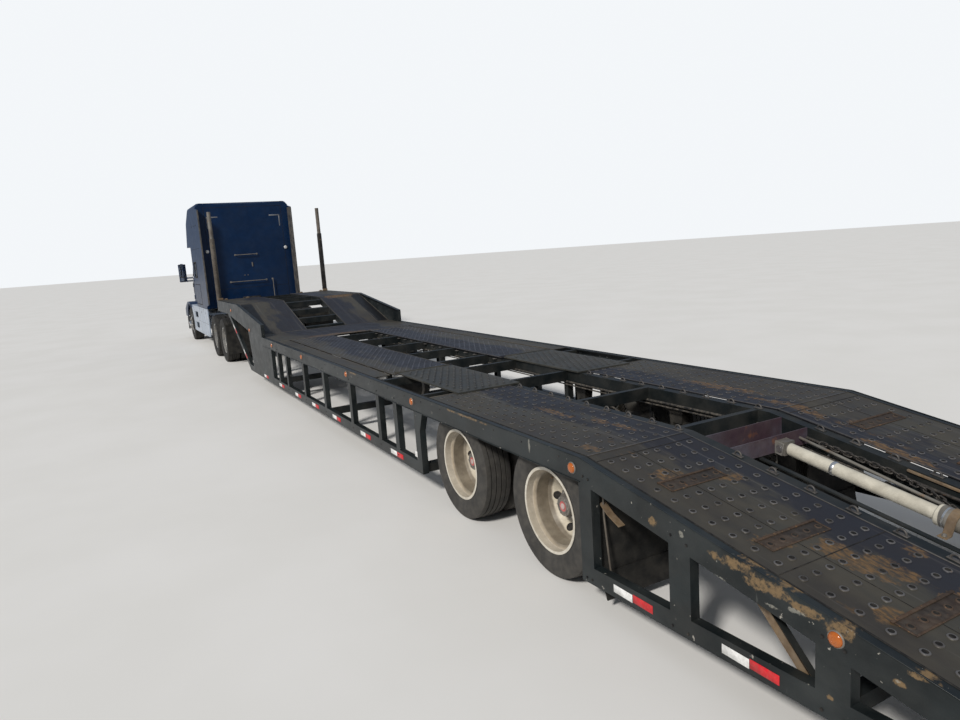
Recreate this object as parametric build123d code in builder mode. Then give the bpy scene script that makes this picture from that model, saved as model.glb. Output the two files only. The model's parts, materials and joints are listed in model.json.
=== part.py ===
from build123d import *
from math import cos, radians, sin, tan
import os

# A car transporter: a sleeper tractor and its open car-carrier semitrailer, coupled at the kingpin.
# Millimetres. +X is forward, +Y is left, +Z is up, and z = 0 is the ground.
# x = 0 is half of the whole lorry's length, measured from the deck's rear end to the bumper.

os.makedirs("parts", exist_ok=True)

# Lengths along the lorry
tail_overhang = 2950
trailer_axle_gap = 1320
rear_axle_to_nose = 13200
nose_to_kingpin = 800
kingpin_to_tandem_middle = 110
drive_axle_gap = 1320
wheelbase = 5690
front_overhang = 1250
lorry_length = (tail_overhang + rear_axle_to_nose + nose_to_kingpin
                + kingpin_to_tandem_middle + wheelbase + front_overhang)

rear_axle_x = -lorry_length / 2 + tail_overhang
front_trailer_axle_x = rear_axle_x + trailer_axle_gap
tail_end_x = rear_axle_x - tail_overhang
nose_x = rear_axle_x + rear_axle_to_nose
kingpin_x = nose_x + nose_to_kingpin
tandem_x = kingpin_x + kingpin_to_tandem_middle
drive_axle_xs = [tandem_x - drive_axle_gap / 2, tandem_x + drive_axle_gap / 2]
steer_x = tandem_x + wheelbase
bumper_x = steer_x + front_overhang

# Clearances
seat_gap = 0.3
running_gap = 0.08
joint_gap = 6

# Trailer heights and its tail's slope
half_width = 1295
deck_z = 965
neck_z = 1450
tail_slope = 9.4
tail_knee_x = rear_axle_x - 490
knee_plate_x = nose_x - 5540
slope_foot_x = nose_x - 4100
slope_top_x = nose_x - 2450

# Side frames: a pressed channel section all round the windows
frame_depth = 60
sheet = 8
rail_web = 150
low_rail_z = 235
low_rail_web = 110
curb_x = nose_x - 4600
curb_z = 1180
nose_under_z = 1215
leg_top_x = nose_x - 1300
leg_foot_x = nose_x - 3250
leg_width = 95
panel_rear_x = nose_x - 5240
panel_front_x = nose_x - 3580
panel_lean = 180
bracket_x = rear_axle_x + 1930
bracket_width = 110
bracket_knee_z = 640
arch_front_x = rear_axle_x + 1850
tail_low_z = 170
tail_low_rise = 1.9
end_post_width = 100

# Lattice posts between the two rails: distance ahead of the rear axle, width
lattice_posts = [
    (2510, 90),
    (3000, 90),
    (3910, 90),
    (4980, 90),
    (5970, 90),
    (6970, 90),
    (7520, 90),
]

# Tail posts: distance behind the rear axle, width
tail_posts = [
    (534, 120),
    (1308, 148),
    (2158, 157),
]

# Deck plates
plate = 6
plate_edge_y = half_width - frame_depth - 2
track_inner_y = 450
front_track_inner_y = 330
front_track_outer_y = half_width - 275
edge_strip_inner_y = half_width - 240
neck_inner_y = 370
flap_rear_x = rear_axle_x + 1720
flap_hinge_x = rear_axle_x + 3165
wheel_plate_front_x = rear_axle_x + 1800
front_track_rear_x = rear_axle_x + 3200
plate_gap = 3

# Ladder frame under the deck
inner_rail_y = 360
inner_rail_width = 80
inner_rail_depth = 125
cross_width = 50
cross_depth = 100
outrigger_depth = 80
belly_tube = 80

# Cross members between the inner rails, as distances ahead of the rear axle
cross_aheads = [-2880, -370, 776, 1960, 2960, 3580, 4480, 5440, 6450, 7400, 8400,
                9250, 9700, 10150, 10600, 11400, 12200, 13100]

# Outriggers from the inner rails to the side frames, as distances ahead of the rear axle
outrigger_aheads = [-2880, -2158, -1308, -534, 660, 1985, 3000, 3910, 4980, 5970, 6970,
                    7960, 9100, 9950, 10350, 10750, 11400, 11900, 12600, 13150]

# Belly beams that tie both side frames, as distances ahead of the rear axle
belly_aheads = [1985, 4980, 7900]
tail_aheads = [-2158]

# Tray across the ladder frame behind the axles
tray_front = -590
tray_length = 210
tray_depth = 110
tail_beam_sheet = 28

# Flap plates over the wheel wells ahead of the axles
flap_inner_y = 335
flap_outer_y = front_track_outer_y - 40
flap_height = 14
hinge_pin_radius = 6
hinge_barrel_radius = 12
hinge_lug_width = 25

# Head posts at the nose
post_x = nose_x + 70
post_y = half_width - frame_depth
post_sleeve_radius = 53.5
post_tube_radius = 41.5
post_foot_z = 1215
post_sleeve_top = 2830
post_top = 3430

# Coupler and fifth wheel
fifth_wheel_z = 1180
coupler_gap = 0.5
coupler_plate = 12
coupler_rear_x = leg_top_x
coupler_front_x = kingpin_x + 400
coupler_half_width = 450
kingpin_radius = 25.4
kingpin_length = 84
kingpin_collar_radius = 35.7
fifth_wheel_plate = 40
fifth_wheel_half_width = 457

# Tyres: outer radius, section width; how far tyres' middles lie from a wheel's mounting plane
trailer_tyre_radius = 465
trailer_tyre_width = 255
tractor_tyre_radius = 505
tractor_tyre_width = 285
twin_offset = 150
steer_offset = 145
tyre_frame_gap = 7.5
trailer_twin_y = half_width - frame_depth - tyre_frame_gap - trailer_tyre_width / 2 - twin_offset
drive_twin_y = 942
steer_tyre_y = 1040
rim_radius = 286
rim_flange_radius = 298.5
rim_half_width = 112
rim_sheet = 8
disc_sheet = 12
disc_pilot_radius = 110
tyre_wall_foot = 20
hand_hole_circle = 205
hand_hole_radius = 30
hand_hole_count = 5
hub_radius = 104
hub_length = 95
hub_cap_radius = 72
hub_cap_length = 45
drum_radius = 212
drum_length = 190
spindle_radius = 42
spindle_depth = 150

# Trailer running gear: axle tubes, trailing arms, hangers, air springs
axle_tube_radius = 63.5
arm_y = 470
arm_width = 60
arm_pivot_ahead = 480
hanger_width = 90
air_spring_radius = 125
air_spring_behind = 330
bellows_fold = 16
bellows_plate = 12
mud_flap_width = 540
mud_flap_low_z = 200
mud_flap_sheet = 10

# Landing gear, air tanks and cylinders of the trailer
landing_x = nose_x - 2850
landing_y = half_width - 365
landing_leg = 115
landing_foot_z = 190
landing_brace_z = 450
landing_brace_x = nose_x - 1800
brace_radius = 24
tank_ahead = (4350, 6400)
tank_radius = 120
tank_z = 560
tank_inner_y = 150
tank_length = 550
upright_x = rear_axle_x + 2250
upright_y = half_width - 135
upright_radius = 38
upright_length = 550
cylinder_y = -95
cylinder_drop = 75
rod_radius = 40
barrel_radius = 52
gland_x = rear_axle_x - 1840
gland_radius = 60
gland_length = 62
clevis = 70

# Lamps of the trailer: side markers as distance ahead of the rear axle and height, and round tail lamps
marker_places = [(-2172, 615), (-416, 887), (2060, 898), (3972, 910), (5971, 902),
                 (7850, 895), (9650, 1020), (11450, 1300)]
marker_radius = 38
marker_dome = 18
tail_lamp_ys = [780, 920, 1060]
tail_lamp_radius = 60
middle_lamp_ys = [-90, 0, 90]
middle_lamp_radius = 28
tail_lamp_depth = 22

# Fittings on the sleeper's back: grab rails as ends (y, z), and two work lamps
grab_rails = [((330, 2470), (-230, 2470)), ((520, 1770), (-410, 1770)), ((-570, 1780), (-570, 1230))]
grab_rail_radius = 11
grab_rail_reach = 50
work_lamp_y = 1010
work_lamp_z = 2600
work_lamp_radius = 50
work_lamp_dome = 28

# Mud flaps of the tractor
drive_flap_x = drive_axle_xs[0] - tractor_tyre_radius - 90
drive_flap_half = 300

# Tractor frame and cab
frame_half_width = 432
frame_flange = 90
frame_z = 1020
frame_web = 270
frame_rear_x = drive_axle_xs[0] - 930
frame_front_x = bumper_x - 320
frame_cross_depth = 100
sleeper_rear_x = kingpin_x + 1850
cab_behind_axle = 490
cab_length = 1560
cab_front_x = steer_x - cab_behind_axle
cab_rear_x = cab_front_x - cab_length
cab_floor_z = 1130
cab_half_width = 1050
sleeper_half_width = 1190
cab_wall = 45
cab_roof_z = 2790
sleeper_roof_z = 3840
cowl_x = cab_front_x + 130
way_half_width = 620
way_top_z = 2600
glass_sheet = 8
door_hinge_x = cab_front_x - 14
door_hinge_y = cab_half_width + 12
door_hinge_zs = (1330, 1690)
door_pin_radius = 6
door_barrel_radius = 11
door_barrel_half = 30
extender_length = 340
extender_sheet = 25
sleeper_window = 420
sleeper_window_x = cab_rear_x - 550
sleeper_window_z = 2150
mirror_x = cab_front_x - 190
mirror_inner_y = cab_half_width + 190
mirror_width = 200
mirror_height = 520
mirror_z = 2070
seat_x = cab_rear_x + 520
seat_y = 560
wheel_z = 1860

# Fifth wheel plate: reach ahead of and behind the kingpin, half width of the throat's mouth
plate_front = 330
plate_rear = 390
throat_mouth = 120
throat_end = 50

# Engine, radiator, gearbox and shafts
engine_rear_x = cowl_x + 30
engine_length = 1020
engine_low_z = 770
engine_top_z = 1530
radiator_x = bumper_x - 440
radiator_low_z = 1050
radiator_top_z = 1480
gearbox_radius = 185
gearbox_z = 930
gearbox_length = 850
shaft_radius = 50
diff_radius = 205

# Front axle, kingpins and knuckles
king_y = 830
king_radius = 22
beam_z = 430
spring_y = 387
boss_half_height = 75
ear_gap = 5
ear_height = 40

# Fuel tanks and side fairings
fuel_radius = 300
fuel_y = 810
fuel_z = 720
fuel_length = 1700
fuel_rear_x = cab_front_x - 1060 - fuel_length
fairing_y = 1165
fairing_sheet = 20
fairing_rear_x = sleeper_rear_x + 150
fairing_low_z = 360
fairing_top_z = cab_floor_z - 20

# Hood, fenders, head lamps and bumper
hood_rear_x = cowl_x + joint_gap
hood_front_x = bumper_x - 120
hood_sheet = 30
hood_hinge_x = hood_front_x + 15
hood_hinge_z = 830
hood_pin_radius = 12
hood_eye_radius = 27
arch_radius = 625
fender_inner_y = 760
fender_y = 1210
fender_low_z = 700
grille_width = 1100
grille_height = 520
grille_z = 1190
grille_bars = 9
grille_frame = 30
lamp_y = 985
lamp_width = 390
lamp_z = 805
lamp_height = 160
bumper_height = 400
bumper_z = 480
bumper_sheet = 30


def side_plane(y):
    """The plane at y, with local x along X and local y along Z; its extrusions run towards -Y."""
    return Plane.XZ.offset(-y)


def deck_top(x):
    """Height of the deck's upper face at x."""
    if x < tail_knee_x:
        return deck_z - (tail_knee_x - x) * tan(radians(tail_slope))
    if x <= slope_foot_x:
        return deck_z
    if x < slope_top_x:
        return deck_z + (neck_z - deck_z) * (x - slope_foot_x) / (slope_top_x - slope_foot_x)
    return neck_z


def tail_low(x):
    """Height of the tail's lower edge at x."""
    return tail_low_z + (rear_axle_x - x) * tan(radians(tail_low_rise))


def neck_under(x):
    """Height of the side rail's lower edge between the drop panel and the nose."""
    web_low_z = deck_z - rail_web
    share = (x - panel_rear_x) / (leg_top_x - panel_rear_x)
    return web_low_z + (nose_under_z - web_low_z) * share


def strip(x0, x1, drop, depth):
    """Outline, in X and Z, of a band that follows the deck between x0 and x1, `drop` below its face."""
    bends = [x for x in (tail_knee_x, slope_foot_x, slope_top_x) if x0 < x < x1]
    xs = [x0] + bends + [x1]
    top = [(x, deck_top(x) - drop) for x in xs]
    return top + [(x, z - depth) for x, z in reversed(top)]


# Side frames
web_low_z = deck_z - rail_web
low_rail_top = low_rail_z + low_rail_web
post_a_front = rear_axle_x - tail_posts[0][0] + tail_posts[0][1] / 2
frame_outline = [
    (tail_end_x, deck_top(tail_end_x)),
    (tail_knee_x, deck_z),
    (curb_x, deck_z),
    (curb_x, curb_z),
    (slope_top_x, neck_z),
    (nose_x, neck_z),
    (nose_x, nose_under_z),
    (leg_top_x, nose_under_z),
    (leg_foot_x, low_rail_z),
    (bracket_x, low_rail_z),
    (bracket_x, bracket_knee_z),
    (arch_front_x, web_low_z),
    (post_a_front, web_low_z),
    (post_a_front, tail_low(post_a_front)),
    (tail_end_x, tail_low(tail_end_x)),
]

lattice_edges = [bracket_x + bracket_width]
for ahead, width in lattice_posts:
    lattice_edges += [rear_axle_x + ahead - width / 2, rear_axle_x + ahead + width / 2]
lattice_edges.append(panel_rear_x)
windows = []
for x0, x1 in zip(lattice_edges[0::2], lattice_edges[1::2]):
    windows.append([(x0, low_rail_top), (x1, low_rail_top), (x1, web_low_z), (x0, web_low_z)])

tail_edges = [tail_end_x + end_post_width]
for behind, width in reversed(tail_posts):
    tail_edges += [rear_axle_x - behind - width / 2, rear_axle_x - behind + width / 2]
for x0, x1 in zip(tail_edges[0:-1:2], tail_edges[1::2]):
    windows.append([
        (x0, tail_low(x0) + low_rail_web), (x1, tail_low(x1) + low_rail_web),
        (x1, deck_top(x1) - rail_web), (x0, deck_top(x0) - rail_web),
    ])

# The window between the drop panel and the inclined leg
leg_run = leg_top_x - leg_foot_x
leg_rise = nose_under_z - low_rail_z
leg_shift = leg_width * (leg_run ** 2 + leg_rise ** 2) ** 0.5 / leg_rise
leg_window_top_x = leg_top_x - leg_shift - 60
windows.append([
    (panel_front_x, low_rail_top),
    (leg_foot_x + leg_run * low_rail_web / leg_rise - leg_shift, low_rail_top),
    (leg_window_top_x, low_rail_z + leg_rise * (leg_window_top_x + leg_shift - leg_foot_x) / leg_run),
    (leg_window_top_x - 60, neck_under(leg_window_top_x - 60)),
    (panel_front_x + panel_lean, neck_under(panel_front_x + panel_lean)),
])

with BuildPart() as side_frame_left:
    with BuildSketch(side_plane(half_width)) as frame_face:
        with BuildLine():
            Polyline(*frame_outline, close=True)
        make_face()
        for window in windows:
            with BuildLine():
                Polyline(*window, close=True)
            make_face(mode=Mode.SUBTRACT)
    extrude(amount=frame_depth)
    with BuildSketch(side_plane(half_width - frame_depth)) as frame_pocket:
        add(frame_face.sketch_local)
        offset(amount=-sheet, kind=Kind.INTERSECTION, mode=Mode.REPLACE)
    extrude(amount=-(frame_depth - sheet), mode=Mode.SUBTRACT)
side_frame_left.part.label = "side_frame_left"
export_step(side_frame_left.part, "parts/side_frame_left.step")

with BuildPart() as side_frame_right:
    add(mirror(side_frame_left.part, about=Plane.XZ))
side_frame_right.part.label = "side_frame_right"
export_step(side_frame_right.part, "parts/side_frame_right.step")

# Inner rails, which follow the deck from the beam across its rear end to the nose
ladder_drop = plate + seat_gap
frame_inner_y = half_width - frame_depth - seat_gap
ladder_end_x = tail_end_x + tail_beam_sheet + seat_gap
inner_rail_outer_y = inner_rail_y + inner_rail_width
with BuildPart() as inner_rails:
    for y in (inner_rail_outer_y, -inner_rail_y):
        with BuildSketch(side_plane(y)):
            with BuildLine():
                Polyline(*strip(ladder_end_x, nose_x, ladder_drop, inner_rail_depth), close=True)
            make_face()
        extrude(amount=inner_rail_width)
inner_rails.part.label = "inner_rails"
export_step(inner_rails.part, "parts/inner_rails.step")

# Cross members between the inner rails, outriggers from them to the side frames, and the folded tray
tray_x1 = rear_axle_x + tray_front
tray_x0 = tray_x1 - tray_length
tray_rear_z = deck_top(tray_x0) - ladder_drop
tray_front_z = deck_top(tray_x1) - ladder_drop
cross_far_y = inner_rail_y - seat_gap
outrigger_inner_y = inner_rail_outer_y + seat_gap
with BuildPart() as cross_members:
    for aheads, far_ys, depth, length in (
        (cross_aheads, (cross_far_y,), cross_depth, 2 * cross_far_y),
        (outrigger_aheads, (frame_inner_y, -outrigger_inner_y), outrigger_depth,
         frame_inner_y - outrigger_inner_y),
    ):
        for ahead in aheads:
            x = rear_axle_x + ahead
            for far_y in far_ys:
                with BuildSketch(side_plane(far_y)):
                    with BuildLine():
                        Polyline(*strip(x - cross_width / 2, x + cross_width / 2, ladder_drop, depth),
                                 close=True)
                    make_face()
                extrude(amount=length)
    with BuildSketch(side_plane(cross_far_y)):
        with BuildLine():
            Polyline(
                (tray_x0, tray_rear_z),
                (tray_x0, tray_rear_z - tray_depth),
                (tray_x1, tray_rear_z - tray_depth),
                (tray_x1, tray_front_z),
                (tray_x1 - sheet, tray_front_z),
                (tray_x1 - sheet, tray_rear_z - tray_depth + sheet),
                (tray_x0 + sheet, tray_rear_z - tray_depth + sheet),
                (tray_x0 + sheet, tray_rear_z),
                close=True,
            )
        make_face()
    extrude(amount=2 * cross_far_y)
cross_members.part.label = "cross_members"
export_step(cross_members.part, "parts/cross_members.step")

# Belly beams between the side frames, with uprights to the inner rails, and the beam across the rear end
upright_width = belly_tube * 0.8
tail_beam_top = deck_top(tail_end_x) - plate - 10
tail_beam_low = tail_low(tail_end_x) + 10
tail_lamp_z = (tail_beam_top + tail_beam_low) / 2
with BuildPart() as belly_beams:
    for ahead, low_z in ([(d, low_rail_z) for d in belly_aheads]
                         + [(d, tail_low(rear_axle_x + d)) for d in tail_aheads]):
        x = rear_axle_x + ahead
        tube_top = low_z + sheet + belly_tube
        with Locations((x, 0, tube_top - belly_tube / 2)):
            Box(belly_tube, 2 * frame_inner_y, belly_tube)
        x0, x1 = x - upright_width / 2, x + upright_width / 2
        rail_drop = ladder_drop + inner_rail_depth + seat_gap
        for s in (1, -1):
            with BuildSketch(side_plane(s * (inner_rail_y + inner_rail_width / 2) + upright_width / 2)):
                with BuildLine():
                    Polyline((x0, tube_top - 1), (x1, tube_top - 1), (x1, deck_top(x1) - rail_drop),
                             (x0, deck_top(x0) - rail_drop), close=True)
                make_face()
            extrude(amount=upright_width)
    with Locations((tail_end_x + tail_beam_sheet / 2, 0, (tail_beam_top + tail_beam_low) / 2)):
        Box(tail_beam_sheet, 2 * frame_inner_y, tail_beam_top - tail_beam_low)
    with BuildSketch(Plane.YZ.offset(tail_end_x)):
        with Locations(*[(s * y, tail_lamp_z) for s in (1, -1) for y in tail_lamp_ys]):
            Circle(tail_lamp_radius + seat_gap)
        with Locations(*[(y, tail_lamp_z) for y in middle_lamp_ys]):
            Circle(middle_lamp_radius + seat_gap)
    extrude(amount=tail_lamp_depth + seat_gap, mode=Mode.SUBTRACT)
belly_beams.part.label = "belly_beams"
export_step(belly_beams.part, "parts/belly_beams.step")


def lamp(origin, facing, radius, dome, rim):
    """A round lamp: a rim that stands `rim` off its seat, and a lens domed up to `dome`."""
    lens = radius * 0.84
    with BuildPart() as made:
        with BuildSketch(Plane(origin=origin, x_dir=(0, 0, 1), z_dir=Vector(0, 0, 1).cross(Vector(facing)))):
            with BuildLine():
                Polyline((lens, rim), (radius - 1, rim), (radius, rim - 1), (radius, 0), (0, 0), (0, dome))
                ThreePointArc((0, dome), (lens * 0.55, rim + (dome - rim) * 0.7), (lens, rim))
            make_face()
        revolve(axis=Axis(origin, facing))
    return made.part


# Lamps: amber markers along both side frames, and round lamps let into the beam across the rear end
with BuildPart() as trailer_lamps:
    for s in (1, -1):
        for ahead, z in marker_places:
            add(lamp((rear_axle_x + ahead, s * (half_width + seat_gap), z), (0, s, 0),
                     marker_radius, marker_dome, 7))
    for y, radius in ([(s * y, tail_lamp_radius) for s in (1, -1) for y in tail_lamp_ys]
                      + [(y, middle_lamp_radius) for y in middle_lamp_ys]):
        add(lamp((tail_end_x + tail_lamp_depth, y, tail_lamp_z), (-1, 0, 0), radius, tail_lamp_depth, 16))
trailer_lamps.part.label = "trailer_lamps"
export_step(trailer_lamps.part, "parts/trailer_lamps.step")

# Deck plates of one side, mirrored, and the plate across the knee: rear end, front end, inner edge, outer edge
deck_strips = [
    (tail_end_x, tail_knee_x - plate_gap, track_inner_y, plate_edge_y),
    (tail_knee_x, wheel_plate_front_x, track_inner_y, plate_edge_y),
    (front_track_rear_x, knee_plate_x - plate_gap, front_track_inner_y, front_track_outer_y),
    (front_track_rear_x, knee_plate_x - plate_gap, edge_strip_inner_y, plate_edge_y),
    (slope_foot_x, slope_top_x - plate_gap, neck_inner_y, plate_edge_y),
    (slope_top_x, nose_x, neck_inner_y, plate_edge_y),
]
with BuildPart() as deck_plates:
    for x0, x1, inner_y, outer_y in deck_strips:
        with BuildSketch(side_plane(outer_y)):
            with BuildLine():
                Polyline(*strip(x0, x1, 0, plate), close=True)
            make_face()
        extrude(amount=outer_y - inner_y)
    mirror(about=Plane.XZ)
    with BuildSketch(Plane.XY.offset(deck_z - plate)):
        with Locations(((knee_plate_x + slope_foot_x - plate_gap) / 2, 0)):
            Rectangle(slope_foot_x - plate_gap - knee_plate_x, 2 * plate_edge_y)
    extrude(amount=plate)
deck_plates.part.label = "deck_plates"
export_step(deck_plates.part, "parts/deck_plates.step")

# Flap plates, each a shallow tray turned down, with a hinge barrel along its front edge
flap_front_x = flap_hinge_x - hinge_barrel_radius - 3
flap_middle_x = (flap_rear_x + flap_front_x) / 2
flap_middle_y = (flap_inner_y + flap_outer_y) / 2
hinge_z = deck_z + seat_gap + hinge_barrel_radius
barrel_length = flap_outer_y - flap_inner_y - 2 * (hinge_lug_width + 5)
for side, s in (("left", 1), ("right", -1)):
    with BuildPart() as flap:
        with BuildSketch(Plane.XY.offset(deck_z + seat_gap)):
            with Locations((flap_middle_x, s * flap_middle_y)):
                Rectangle(flap_front_x - flap_rear_x, flap_outer_y - flap_inner_y)
        extrude(amount=flap_height)
        with BuildSketch(Plane.XY.offset(deck_z + seat_gap)):
            with Locations((flap_middle_x, s * flap_middle_y)):
                Rectangle(flap_front_x - flap_rear_x - 2 * sheet, flap_outer_y - flap_inner_y - 2 * sheet)
        extrude(amount=flap_height - plate, mode=Mode.SUBTRACT)
        with BuildSketch(side_plane(s * flap_middle_y + barrel_length / 2)):
            with Locations((flap_hinge_x, hinge_z)):
                Circle(hinge_barrel_radius)
            with Locations(((flap_front_x + flap_hinge_x) / 2 - 1, deck_z + seat_gap + flap_height / 2)):
                Rectangle(flap_hinge_x - flap_front_x + 2, flap_height)
            with Locations((flap_hinge_x, hinge_z)):
                Circle(hinge_pin_radius + running_gap, mode=Mode.SUBTRACT)
        extrude(amount=barrel_length)
    flap.part.label = f"flap_{side}"
    export_step(flap.part, f"parts/flap_{side}.step")

# The flaps' hinge pins, each held in two lugs that stand on the front track
with BuildPart() as flap_hinges:
    for s in (1, -1):
        pin_length = flap_outer_y - flap_inner_y
        with BuildSketch(side_plane(s * flap_middle_y + pin_length / 2)):
            with Locations((flap_hinge_x, hinge_z)):
                Circle(hinge_pin_radius)
        extrude(amount=pin_length)
        for lug_y in (flap_inner_y + hinge_lug_width, flap_outer_y):
            top_y = lug_y if s > 0 else hinge_lug_width - lug_y
            with BuildSketch(side_plane(top_y)):
                with BuildLine():
                    Polyline(
                        (flap_hinge_x - hinge_barrel_radius, deck_z + seat_gap),
                        (front_track_rear_x + 60, deck_z + seat_gap),
                        (front_track_rear_x + 60, deck_z + seat_gap + sheet),
                        (flap_hinge_x + hinge_barrel_radius, deck_z + seat_gap + 2 * hinge_barrel_radius),
                        (flap_hinge_x - hinge_barrel_radius / 3, deck_z + seat_gap + 2 * hinge_barrel_radius),
                        (flap_hinge_x - hinge_barrel_radius, hinge_z + hinge_barrel_radius / 3),
                        close=True,
                    )
                make_face()
            extrude(amount=hinge_lug_width)
flap_hinges.part.label = "flap_hinges"
export_step(flap_hinges.part, "parts/flap_hinges.step")

# Head posts: a tube in a larger sleeve, bracketed to the nose
with BuildPart() as head_posts:
    for s in (1, -1):
        with BuildSketch(Plane.XY.offset(post_foot_z)):
            with Locations((post_x, s * post_y)):
                Circle(post_sleeve_radius)
        extrude(amount=post_sleeve_top - post_foot_z)
        with BuildSketch(Plane.XY.offset(post_sleeve_top)):
            with Locations((post_x, s * post_y)):
                Circle(post_tube_radius)
        extrude(amount=post_top - post_sleeve_top)
        for z in (post_foot_z + 40, neck_z - 60):
            with Locations(((nose_x + seat_gap + post_x) / 2, s * post_y, z)):
                Box(post_x - nose_x - seat_gap, 2 * post_sleeve_radius, sheet)
head_posts.part.label = "head_posts"
export_step(head_posts.part, "parts/head_posts.step")

# Coupler: the bolster plate that rests on the fifth wheel, its kingpin, and the beams that carry it
coupler_z = fifth_wheel_z + coupler_gap
neck_rail_under = neck_z - ladder_drop - inner_rail_depth
beam_front_z = coupler_z + 90
beam_low = coupler_z + coupler_plate
with BuildPart() as coupler:
    with BuildSketch(Plane.XY.offset(coupler_z)):
        with BuildLine():
            Polyline(
                (coupler_rear_x, -coupler_half_width),
                (coupler_front_x - 150, -coupler_half_width),
                (coupler_front_x, -coupler_half_width + 150),
                (coupler_front_x, coupler_half_width - 150),
                (coupler_front_x - 150, coupler_half_width),
                (coupler_rear_x, coupler_half_width),
                close=True,
            )
        make_face()
    extrude(amount=coupler_plate)
    for y in (inner_rail_y + inner_rail_width, -inner_rail_y):
        with BuildSketch(side_plane(y)):
            with BuildLine():
                Polyline(
                    (coupler_rear_x, beam_low),
                    (coupler_front_x - 160, beam_low),
                    (coupler_front_x - 160, beam_front_z),
                    (nose_x + seat_gap, neck_z - ladder_drop),
                    (nose_x + seat_gap, neck_rail_under - seat_gap),
                    (coupler_rear_x, neck_rail_under - seat_gap),
                    close=True,
                )
            make_face()
        extrude(amount=inner_rail_width)
    for x, top_z in ((coupler_rear_x + 40, neck_rail_under - seat_gap),
                     (kingpin_x, beam_front_z), (coupler_front_x - 190, beam_front_z)):
        with Locations((x, 0, (beam_low + top_z) / 2)):
            Box(60, 2 * inner_rail_y, top_z - beam_low)
    with BuildSketch(Plane(origin=(kingpin_x, 0, 0), x_dir=(1, 0, 0), z_dir=(0, -1, 0))):
        with BuildLine():
            Polyline(
                (0, coupler_z + 2),
                (kingpin_radius, coupler_z + 2),
                (kingpin_radius, coupler_z - kingpin_length + 19),
                (kingpin_collar_radius, coupler_z - kingpin_length + 16),
                (kingpin_collar_radius, coupler_z - kingpin_length),
                (0, coupler_z - kingpin_length),
                close=True,
            )
        make_face()
    revolve(axis=Axis((kingpin_x, 0, 0), (0, 0, 1)))
coupler.part.label = "coupler"
export_step(coupler.part, "parts/coupler.step")

# Wheels and tyres. A wheel end is described by offsets outward from its mounting plane.


def draw_tyre(radius, width, middle):
    """Draws half a tyre's section, its middle `middle` outward of the mounting plane, with bulged walls."""
    bead = rim_radius + seat_gap
    foot, shoulder = bead + tyre_wall_foot, radius - 22
    for s in (1, -1):
        edge = (shoulder, middle + s * (width / 2 - 6))
        heel = (foot, middle + s * 108)
        Line((radius, middle + s * (width / 2 - 24)), edge)
        ThreePointArc(edge, ((shoulder + foot) / 2, middle + s * (width / 2 - 3)), heel)
        Line(heel, (bead, middle + s * 100))
    Line((radius, middle + width / 2 - 24), (radius, middle - width / 2 + 24))
    Line((bead, middle + 100), (bead, middle - 100))


def wheel_points(middle):
    """Half section of a rim and its disc; the disc lies at the mounting plane, beside the rim's edge."""
    out = 1 if middle > 0 else -1
    far = middle + out * rim_half_width
    near = middle - out * rim_half_width
    well = rim_radius - 26
    return [
        (rim_flange_radius, far), (rim_radius, far - out * 10), (rim_radius, far - out * 50),
        (well, far - out * 66), (well, near + out * 50), (rim_radius, near + out * 36),
        (rim_radius, near + out * 10), (rim_flange_radius, near),
        (rim_radius - rim_sheet, near), (rim_radius - rim_sheet, near + out * 32),
        (170, out * 0.2), (disc_pilot_radius - 8, out * 0.2), (disc_pilot_radius - 8, out * disc_sheet),
        (170, out * disc_sheet), (well - rim_sheet, near + out * 58),
        (well - rim_sheet, far - out * 70), (rim_radius - rim_sheet, far - out * 54),
        (rim_radius - rim_sheet, far),
    ]


def hub_points(hub_out, drum_in):
    """Half section of hub, cap and brake drum, with the spindle's bore from inboard."""
    bore = spindle_radius + running_gap
    return [
        (bore, -drum_in), (bore, -drum_in + spindle_depth), (0.0, -drum_in + spindle_depth),
        (0.0, hub_out + hub_cap_length), (hub_cap_radius, hub_out + hub_cap_length),
        (hub_cap_radius, hub_out), (hub_radius, hub_out), (hub_radius, 0.2),
        (drum_radius, 0.2), (drum_radius, -drum_in), (drum_radius - 14, -drum_in),
        (drum_radius - 14, -20), (bore + 30, -20), (bore + 30, -drum_in),
    ]


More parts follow.
